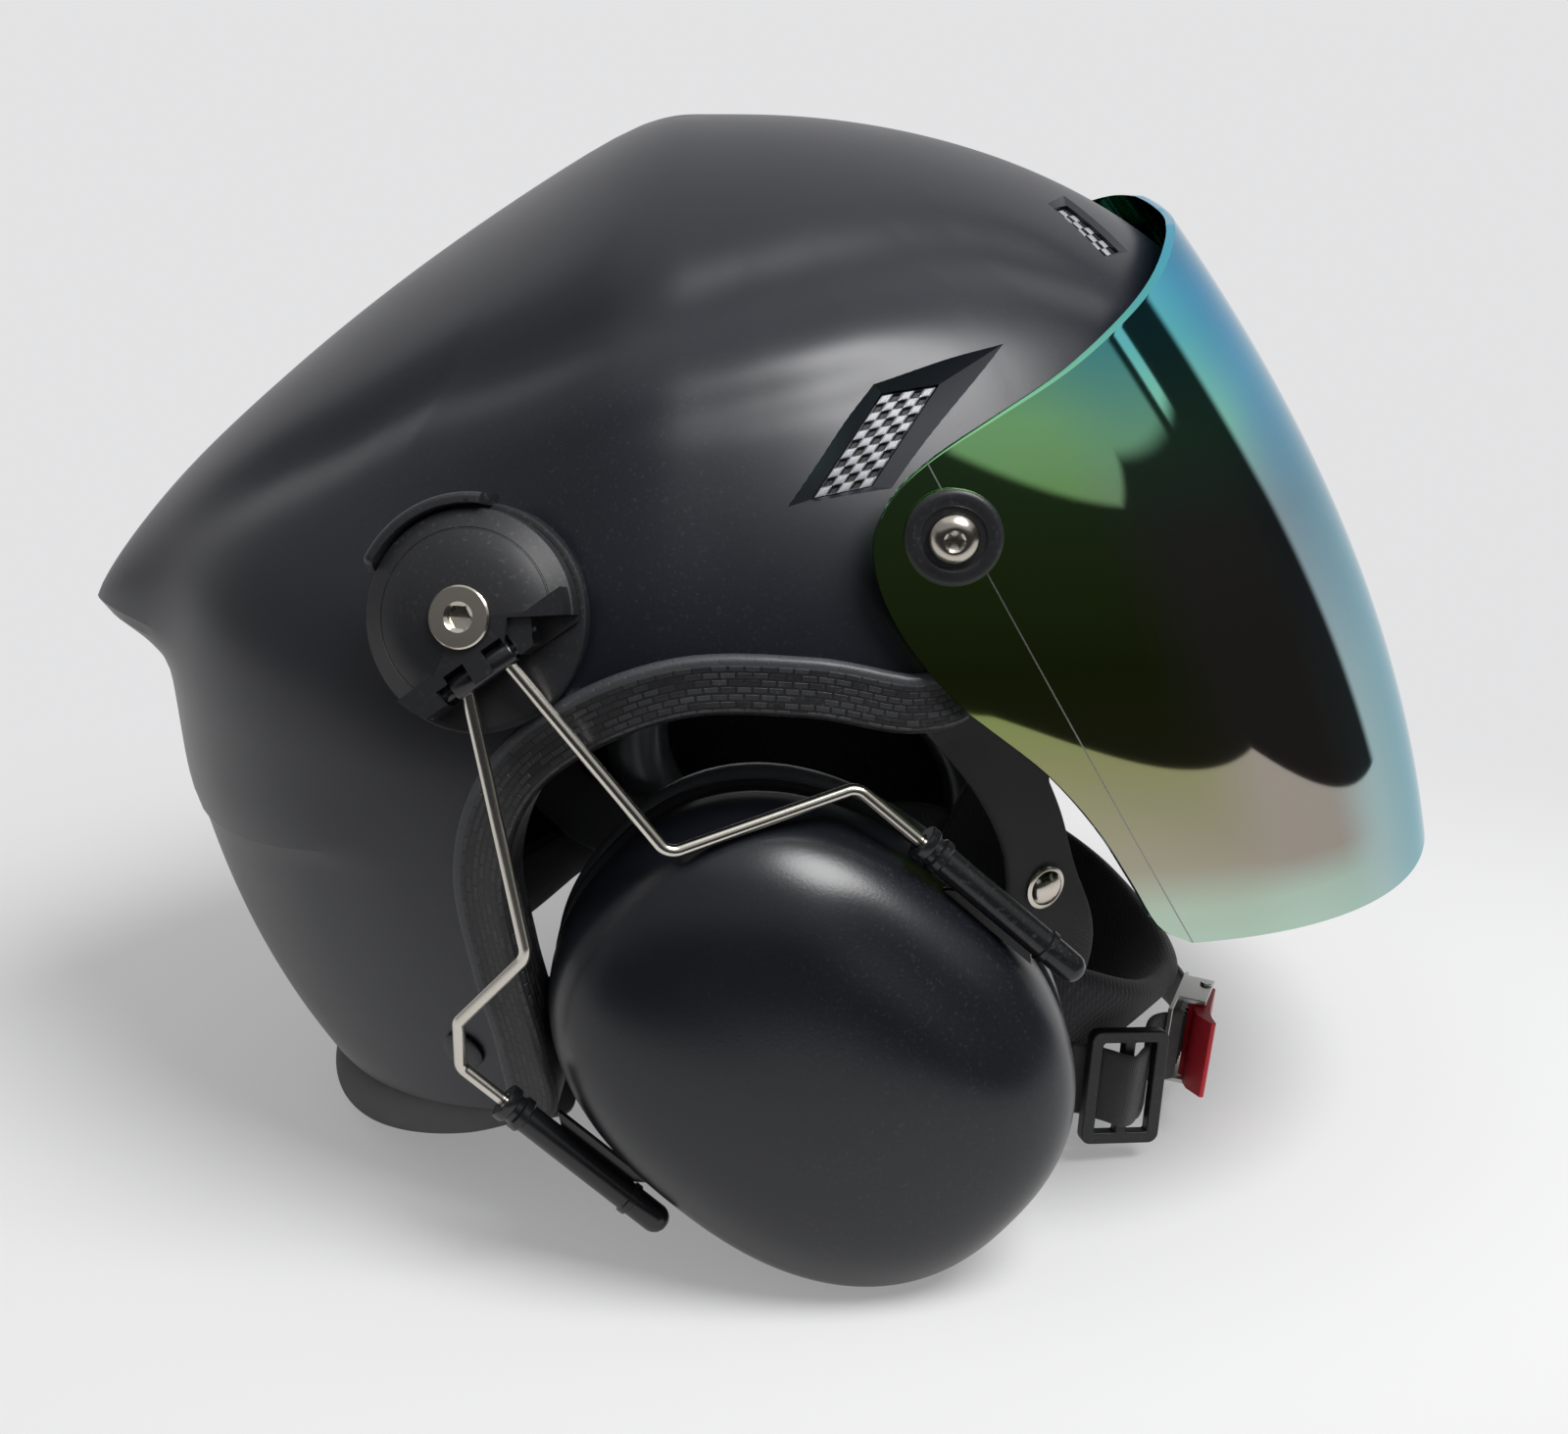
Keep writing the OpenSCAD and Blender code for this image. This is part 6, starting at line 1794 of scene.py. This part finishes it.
@dataclass
class ChinStrap:
    """Straps, padded chin band, slider and quick release buckle."""

    bench: Bench
    web_w: float = 20.0
    web_t: float = 1.8
    band_w: float = 42.0
    band_t: float = 6.0
    snap_r: float = 4.8
    snap_share: float = 0.62
    slider_size: tuple = (20.0, 29.0, 3.4)
    slider_corner: float = 2.5
    buckle_len: float = 26.0
    buckle_w: float = 23.0
    plate_h: float = 1.2
    wall_h: float = 8.0
    pin_x: float = 7.5
    pin_z: float = 6.2
    pin_r: float = 1.5
    lever_top: float = 8.6
    front_route: tuple = (
        (26, -91, 146), (36, -82.5, 127), (43, -74, 115.6), (50.4, -67, 102), (56.8, -62, 86.4),
        (60, -58.5, 71),
        (63.5, -55, 57), (62, -54, 45), (60, -53.2, 36),
    )
    front_wide: tuple = (
        (1, -0.2, 0.2), (0.9, 0.3, 0.25), (0.75, 0.58, 0.25), (0.66, 0.68, 0.25), (0.68, 0.66, 0.2),
        (0.8, 0.5, 0.1), (0.95, 0.3, -0.1),
        (0.9, 0.35, -0.2), (0.9, 0.35, -0.2),
    )
    rear_route: tuple = (
        (-74, -83, 58), (-64, -76, 47.5), (-51, -67.5, 41.5), (-15, -63.5, 36), (20, -60.5, 38),
        (38, -56.5, 40), (50, -54, 35.5),
    )
    band_route: tuple = (
        (42, -55, 38), (58, -53, 31), (73, -40, 24), (82, -20, 19), (85, 0, 17.5), (82, 20, 19),
        (73, 40, 24), (58, 53, 31),
        (42, 55, 38),
    )
    band_wide: tuple = (
        (0.3, 0, 0.95), (0.4, -0.1, 0.9), (0.6, -0.2, 0.75), (0.7, -0.1, 0.68), (0.74, 0, 0.66),
        (0.7, 0.1, 0.68),
        (0.6, 0.2, 0.75), (0.4, 0.1, 0.9), (0.3, 0, 0.95),
    )
    fold: tuple = ((-12.5, -5.4), (-8.5, -4.9), (-4.4, -0.6), (0, 3.8), (4.4, -0.6), (7.4, -5))
    slot_fold: tuple = ((-14.7, -2.7), (-9.7, 0.5), (-6.9, 2.7))
    ladder_w: float = 12.0
    ladder_t: float = 1.4
    ladder_end: float = 15.0
    tooth_pitch: float = 2.6
    tooth_count: int = 7
    ladder_bend: tuple = ((102.5, 2, 18.5), (99, 17, 17.5), (92, 31, 17), (82, 43, 17))

    @property
    def slider_frame(self) -> Array:
        """Frame of the slider, with y across the strap and z out."""
        return frame_of((82, -52.5, 17), (0.25, -0.96, 0.05), unit((0.1, 0, 1)))

    @property
    def buckle_frame(self) -> Array:
        """Frame of the buckle, with x along the strap, y across it and z out."""
        return frame_of((97, -26, 19), (0.93, -0.3, -0.1), unit((0.12, 0, 1)))

    def across(self, m: Array, x: float = 0.0, z: float = 0.0) -> Array:
        """Frame with z across the buckle, at a place of the buckle's own frame."""
        return m @ turned((1, 0, 0), (0, 0, -1), (0, 1, 0), (x, 0, z))

    @staticmethod
    def ribbon(route: Sequence, wide: Sequence, w: float, t: float, steps: int, crown: float = 0.0) -> Form:
        """Flat strap along a curve.

        Args:
            route: Points of the middle line.
            wide: Directions across the strap, one for each point.
            w: Width.
            t: Thickness.
            steps: Number of rings along it.
            crown: Added thickness in the middle.

        Returns:
            The strap, mapped along its length and round its section.
        """
        k = np.linspace(0, 1, steps + 1)
        centre = along(route, k)
        a = unit(along(route, np.minimum(1, k + 0.01)) - along(route, np.maximum(0, k - 0.01)))
        b0 = along(wide, k)
        b = unit(b0 - a * (a * b0).sum(1, keepdims=True))
        n = np.cross(a, b)
        flat = np.linspace(-0.9, 0.9, 9)
        x = np.concatenate([[-1, -0.97], flat, [0.97, 1]])
        top = np.concatenate([[0.35, 0.8], 1 + crown * (1 - flat**2), [0.8, 0.35]])
        section = np.concatenate([np.column_stack([x, top]), np.column_stack([x[::-1], -top])])
        half = section * [w / 2, t / 2]
        rings = [c + p * half[:, :1] + q * half[:, 1:] for c, p, q in zip(centre, b, n)]
        return Form.mapped(rings, run_of(centre), half[:, 0])

    def straps(self) -> None:
        """Front and rear straps on both sides, with their snaps."""
        rear_wide = [(0.15, 0, 1)] * len(self.rear_route)
        front = self.ribbon(self.front_route, self.front_wide, self.web_w, self.web_t, 120)
        rear = self.ribbon(self.rear_route, rear_wide, self.web_w, self.web_t, 110)
        for name, form in (("front", front), ("rear", rear)):
            self.bench.make(f"{name}_strap_*", form, ("helmet", "webbing", "webbing", f"{name}_strap_*"), 60)
        k, s = self.snap_share, self.snap_r
        a = unit(along(self.front_route, k + 0.01) - along(self.front_route, k - 0.01))
        b = along(self.front_wide, k)
        n = unit(np.cross(a, unit(b - a * (a @ b))))
        out = n if n[1] < 0 else -n
        snap = Form.lathe([(0, 0), (s, 0), (s + 0.6, 0.5), (s + 0.5, 0.8), (s, 1), (s * 0.9, 1.1),
                           (s * 0.85, 1.5),
                           (s * 0.72, 2.0), (s * 0.45, 2.5), (s * 0.2, 2.75), (0, 2.8)], 48)
        place = frame_of(along(self.front_route, k) + out * (self.web_t / 2 + 0.15), out)
        self.bench.make("strap_snap_*", snap.moved(place),
                        ("helmet", "bright_steel", "polished_nickel", "strap_snaps"),
                        35)

    def band(self) -> None:
        """Padded chin band."""
        form = self.ribbon(self.band_route, self.band_wide, self.band_w, self.band_t, 120, 0.12)
        self.bench.make("chin_band", form, ("helmet", "band_cloth", "band_knit", "chin_band"), 60,
                        work=Puff(2.5, 0.35), pad=0.6)

    def slider(self) -> None:
        """Slider with two slots and the webbing folded through it."""
        (w, h, t), m, r = self.slider_size, self.slider_frame, self.slider_corner
        outline = []
        for cx, cy, start in ((1, 1, 0), (-1, 1, 90), (-1, -1, 180), (1, -1, 270)):
            for a in np.radians(np.linspace(start, start + 90, 9)):
                outline.append((cx * (w / 2 - r) + r * math.cos(a), cy * (h / 2 - r) + r * math.sin(a)))
        piece = self.bench.mesh("strap_slider", Form.prism(outline, -t / 2, t / 2).moved(m))
        y = (h - 6) / 2
        self.bench.cut(piece, [box((c - 2.7, -y, -5), (c + 2.7, y, 5)).moved(m) for c in (-4.1, 4.1)])
        soften(piece, 0.5, 3, 35)
        self.bench.dress(piece, "helmet", "black_plastic", "moulded_black", "strap_slider")
        route = np.concatenate([point_in(m, [(x, 0, z) for x, z in self.fold]),
                                point_in(self.buckle_frame, [(x, 0, z) for x, z in self.slot_fold])])
        form = self.ribbon(route, [(0.1, 0, 1)] * len(route), self.web_w - 1.5, self.web_t, 140)
        self.bench.make("buckle_strap", form, ("helmet", "webbing", "webbing", "buckle_strap"), 60)

    def buckle(self) -> None:
        """Stamped channel, toothed strap, pin, spring and red lever."""
        m, l, w, t = self.buckle_frame, self.buckle_len / 2, self.buckle_w / 2, self.plate_h
        piece = self.bench.mesh("buckle_body", box((-l, -w, 0), (l, w, t)).moved(m))
        walls = box((-4, w - t, 0.2), (11, w, self.wall_h)) + box((-4, -w, 0.2), (11, -w + t, self.wall_h))
        self.bench.join(piece, walls.moved(m))
        self.bench.cut(piece, [box((-l + 1.3, -w + 1.6, -1), (-l + 5.7, w - 1.6, 3)).moved(m)])
        soften(piece, 0.35, 3, 35)
        self.bench.dress(piece, "helmet", "buckle_steel", "stamped_steel", "buckle_body")
        half, r = w + 0.5, self.pin_r
        end = [(0, half + 0.1), (r - 0.2, half + 0.1), (r, half - 0.2)]
        pin = Form.lathe([(q, -z) for q, z in end] + end[::-1], 40)
        pin = pin.moved(self.across(m, self.pin_x, self.pin_z))
        self.bench.make("lever_pin", pin, ("helmet", "buckle_steel", "stamped_steel", "lever_pin"))
        self.lever(m)
        self.spring(m)
        self.ladder(m)

    def lever(self, m: Array) -> None:
        """Release lever, sprung down onto the teeth."""
        x, z, top, floor, low = self.pin_x, self.pin_z, self.lever_top, self.plate_h + 3.4, self.plate_h
        line = [(x + 3, z), (x + 2.8, z + 1.4), (x + 2, top), (0, top + 0.5), (-6, top + 1), (-9, top + 1.9),
                (-12, top + 3.4), (-12.8, top + 3.2), (-13, top + 2.4), (-9.5, floor + 2.4),
                (-6.5, floor + 1),
                (-2.6, floor + 0.4), (-1.8, low + 2.5), (-0.4, floor + 0.2), (x - 2.5, floor + 0.1),
                (x + 2, z - 2.2)]
        half = self.buckle_w / 2 - self.plate_h - 0.35
        piece = self.bench.mesh("release_lever", self.side_on(line, half).moved(m))
        bore = Form.rod(self.pin_r + 0.05, -20, 20, 32).moved(self.across(m, x, z))
        self.bench.cut(piece, [bore, box((x - 3.4, -3.4, 0), (x + 4.6, 3.4, 12)).moved(m)])
        soften(piece, 0.4, 3, 35)
        self.bench.dress(piece, "release_lever", "lever_red", "lever_red", "release_lever")

    @staticmethod
    def side_on(line: Sequence, half: float) -> Form:
        """Solid of a half width over an outline drawn along the strap and upwards."""
        return Form.prism(line, -half, half).moved(turned((1, 0, 0), (0, 0, 1), (0, -1, 0)))

    def spring(self, m: Array) -> None:
        """Coil on the lever's pin."""
        turns, length, wire = 4, 6.0, 0.7
        coil, whole = self.pin_r + 0.05 + wire / 2 + 0.25, 2 * math.pi * turns
        rings = []
        for a in np.linspace(0, whole, turns * 28 + 1):
            y = lerp(-length / 2 + 0.5, length / 2 - 0.5, a / whole)
            out = np.array([math.cos(a), 0, math.sin(a)])
            place = np.array([self.pin_x, y, self.pin_z]) + out * coil
            rings.append(np.array([place + out * wire / 2 * c - [0, wire / 2 * s, 0]
                                   for c, s in circle(10)]))
        self.bench.make("lever_spring", Form.loft(rings).moved(m),
                        ("helmet", "buckle_steel", "spring_wire", "lever_spring"), 60)

    def ladder(self, m: Array) -> None:
        """Toothed strap held under the lever."""
        w, t, low = self.ladder_w / 2, self.ladder_t, self.plate_h + 0.1
        line = [(-6, low), (self.ladder_end, low), (self.ladder_end, low + t)]
        for k in range(self.tooth_count - 1, -1, -1):
            x = -5 + k * self.tooth_pitch
            line += [(x + 1.8, low + t), (x + 0.25, low + t + 0.75), (x, low + t + 0.75), (x, low + t)]
        line += [(-6, low + t)]
        start = point_in(m, [(self.ladder_end + x, 0, low + t / 2) for x in (-4, 0)])
        route = np.concatenate([start, np.array(self.ladder_bend, float)])
        tail = self.ribbon(route, [(0.1, 0, 1)] * len(route), self.ladder_w - 0.4, t - 0.1, 70)
        self.bench.make("buckle_ladder", self.side_on(line, w).moved(m) + tail,
                        ("helmet", "black_plastic", "moulded_black", "buckle_ladder"), 35)

    def build(self) -> None:
        """Makes the chin strap's group."""
        self.straps()
        self.band()
        self.slider()
        self.buckle()


@dataclass
class Studio:
    """Plain pale floor, soft lights, a dark card behind the camera, and the camera."""

    target: tuple = (0.00635, 0.0, 0.0971)
    distance: float = 0.65
    elevation: float = 18.0
    lens: float = 59.22
    sensor: float = 36.0
    floor_size: float = 8.0
    floor_color: tuple = (0.76, 0.76, 0.765)
    near_tone: tuple = (0.8, 0.8, 0.8)
    far_tone: tuple = (0.77, 0.77, 0.78)
    fade_from: float = 0.2
    fade_to: float = 0.46
    lift: float = 0.35
    ambient: float = 0.5
    near_edge: float = 0.34
    front_edge: float = 0.75
    dark_tone: tuple = (0.028, 0.028, 0.029)
    # Heights of the dark wall's top, nearest and at the sides, and how softly it ends
    wall_near: float = 0.24
    wall_side: float = 0.36
    wall_soft: float = 0.04
    # Brightness over the wall by how far a direction points away from the camera, from -1 to 1
    panels: tuple = ((0.0, 0.45), (0.53, 0.45), (0.545, 0.0), (0.562, 0.0), (0.57, 1.0), (0.602, 1.0),
                     (0.61, 0.0), (1.0, 0.0))
    rear_tone: float = 0.35
    key_power: float = 30.0
    key_size: float = 0.9
    key_way: tuple = (0.4, -0.42, 0.82)
    key_away: float = 1.6

    def floor(self) -> None:
        """Pale floor that takes the shadow near the helmet and fades into the backdrop's tone."""
        h, near, front = self.floor_size / 2, -self.near_edge, self.front_edge
        data = bpy.data.meshes.new("floor")
        data.from_pydata([(-h, near, 0), (front, near, 0), (front, h, 0), (-h, h, 0)], [], [(0, 1, 2, 3)])
        n = Surface("floor")
        tones = (self.floor_color, tuple(c * 0.985 for c in self.floor_color))
        n.set(Base_Color=n.mix(n.noise(n.place, 3.0, 2.0), *tones), Roughness=0.7, Specular_IOR_Level=0.2)
        self.fade(n)
        data.materials.append(n.material)
        link("floor", data)

    def fade(self, n: Surface) -> None:
        """Lets the floor's far part show the backdrop's plain tone to the camera, and light nothing."""
        oval = n.vector("MULTIPLY", n.place, (1.0, self.fade_to / self.near_edge, 1.0))
        far = n.span(n.vector("LENGTH", oval, out="Value"), self.fade_from, self.fade_to, soft=True)
        tone = n.mix(far, self.near_tone, self.far_tone)
        glow = n.add("Emission", None, Color=tone, Strength=self.seen(n, 0.0, 1.0)).outputs[0]
        n.blend(n.span(far, to=(self.lift, 1.0)), n.shader.outputs[0], glow)

    @staticmethod
    def seen(n: Nodes, other: float, shown: float) -> Socket:
        """Strength for the camera and for what is seen in metal and glass, against all other rays."""
        path = n.add("LightPath").outputs
        mirrored = n.sum("MAXIMUM", path["Is Camera Ray"], path["Is Glossy Ray"])
        return n.span(n.sum("MAXIMUM", mirrored, path["Is Transmission Ray"]), to=(other, shown))

    def world(self) -> None:
        """Dim light on the object, and a pale room for the camera, metal and glass."""
        world = bpy.data.worlds.new("room")
        bpy.context.scene.world = world
        world.use_nodes = True
        n = Nodes(world.node_tree)
        n.tree.nodes.clear()
        n.add("OutputWorld")
        plain = n.add("Background", None, Color=self.far_tone, Strength=self.seen(n, self.ambient, 1.0))
        dark = n.add("Background", None, Color=self.dark_tone, Strength=1.0)
        n.blend(self.shade(n), plain.outputs[0], dark.outputs[0])

    def shade(self, n: Nodes) -> Socket:
        """Share of the dark wall in what metal and glass show of the room."""
        x, y, z = n.parts(n.add("TexCoord").outputs["Generated"])
        foot = n.span(y, -0.45, -0.3, to=(self.wall_near, self.wall_side))
        over = n.span(z, foot, n.sum("ADD", foot, self.wall_soft), soft=True)
        bands = n.ramp(n.span(y, -1.0), [(at, (tone, tone, tone)) for at, tone in self.panels])
        bright = n.sum("MULTIPLY", over, bands)
        behind = n.span(n.sum("MULTIPLY", x, -1.0), 0.0, 0.35, soft=True)
        rear = n.sum("MULTIPLY", n.sum("MULTIPLY", behind, n.span(y, -0.5, -0.3, soft=True)), self.rear_tone)
        for part in (n.span(z, 0.7, 0.82, soft=True), n.span(y, 0.47, 0.53, soft=True), rear):
            bright = n.sum("MAXIMUM", bright, part)
        glossy = n.add("LightPath").outputs["Is Glossy Ray"]
        return n.sum("MULTIPLY", n.sum("SUBTRACT", glossy, bright), glossy)

    def lamp(self, name: str, way: Sequence[float], away: float, size: float, watts: float) -> None:
        """Round soft light that points at the helmet."""
        data = bpy.data.lights.new(name, "AREA")
        data.shape, data.size, data.energy = "DISK", size, watts
        self.aimed(link(name, data), Vector(unit(way) * away) + Vector(self.target))

    def aimed(self, thing: Piece, place: Vector) -> None:
        """Sets a light or the camera at a place, pointed at the helmet."""
        thing.location = place
        thing.rotation_euler = (Vector(self.target) - place).to_track_quat("-Z", "Y").to_euler()

    def camera(self) -> None:
        """Camera at the photograph's angle."""
        data = bpy.data.cameras.new("camera")
        data.lens, data.sensor_width, data.sensor_fit = self.lens, self.sensor, "HORIZONTAL"
        data.clip_start = 0.01
        camera, e = link("camera", data), math.radians(self.elevation)
        self.aimed(camera, Vector(self.target) + Vector((0, -math.cos(e), math.sin(e))) * self.distance)
        bpy.context.scene.camera = camera

    def build(self) -> None:
        """Sets the whole studio."""
        self.floor()
        self.world()
        self.lamp("key", self.key_way, self.key_away, self.key_size, self.key_power)
        self.camera()
        bpy.context.scene.view_settings.view_transform = "Standard"


def main() -> None:
    """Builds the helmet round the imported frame, and the studio."""
    logging.basicConfig(level=logging.INFO, format="%(name)s: %(message)s")
    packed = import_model()
    maker_origin = np.array([-20.0, 0.0, 110.0])
    stand = np.array(packed["record"]["mounts"][0]["pos_m"]) * 1000 - maker_origin
    bench, skin = Bench(stand, FinishShelf()), Skin()
    swivel = next(j for j in packed["joints"] if j["name"] == "mount_swivel_r")
    mount = CupMount(bench, skin, mount_frame(swivel, stand))
    for group in (ShellWorks(bench, skin), VisorWorks(bench, skin), mount, EarCup(bench, mount),
                  ChinStrap(bench)):
        group.build()
        LOG.info("%s done", type(group).__name__)
    Studio().build()


def mount_frame(swivel: dict, stand: Array) -> Array:
    """Frame of the right mount, from the joint that its cap turns on."""
    axis = unit(np.array(swivel["axis"], float))
    if axis[1] > 0:
        axis = -axis
    return frame_of(np.array(swivel["pos_m"], float) * 1000 - stand, axis)


if __name__ == "__main__":
    main()
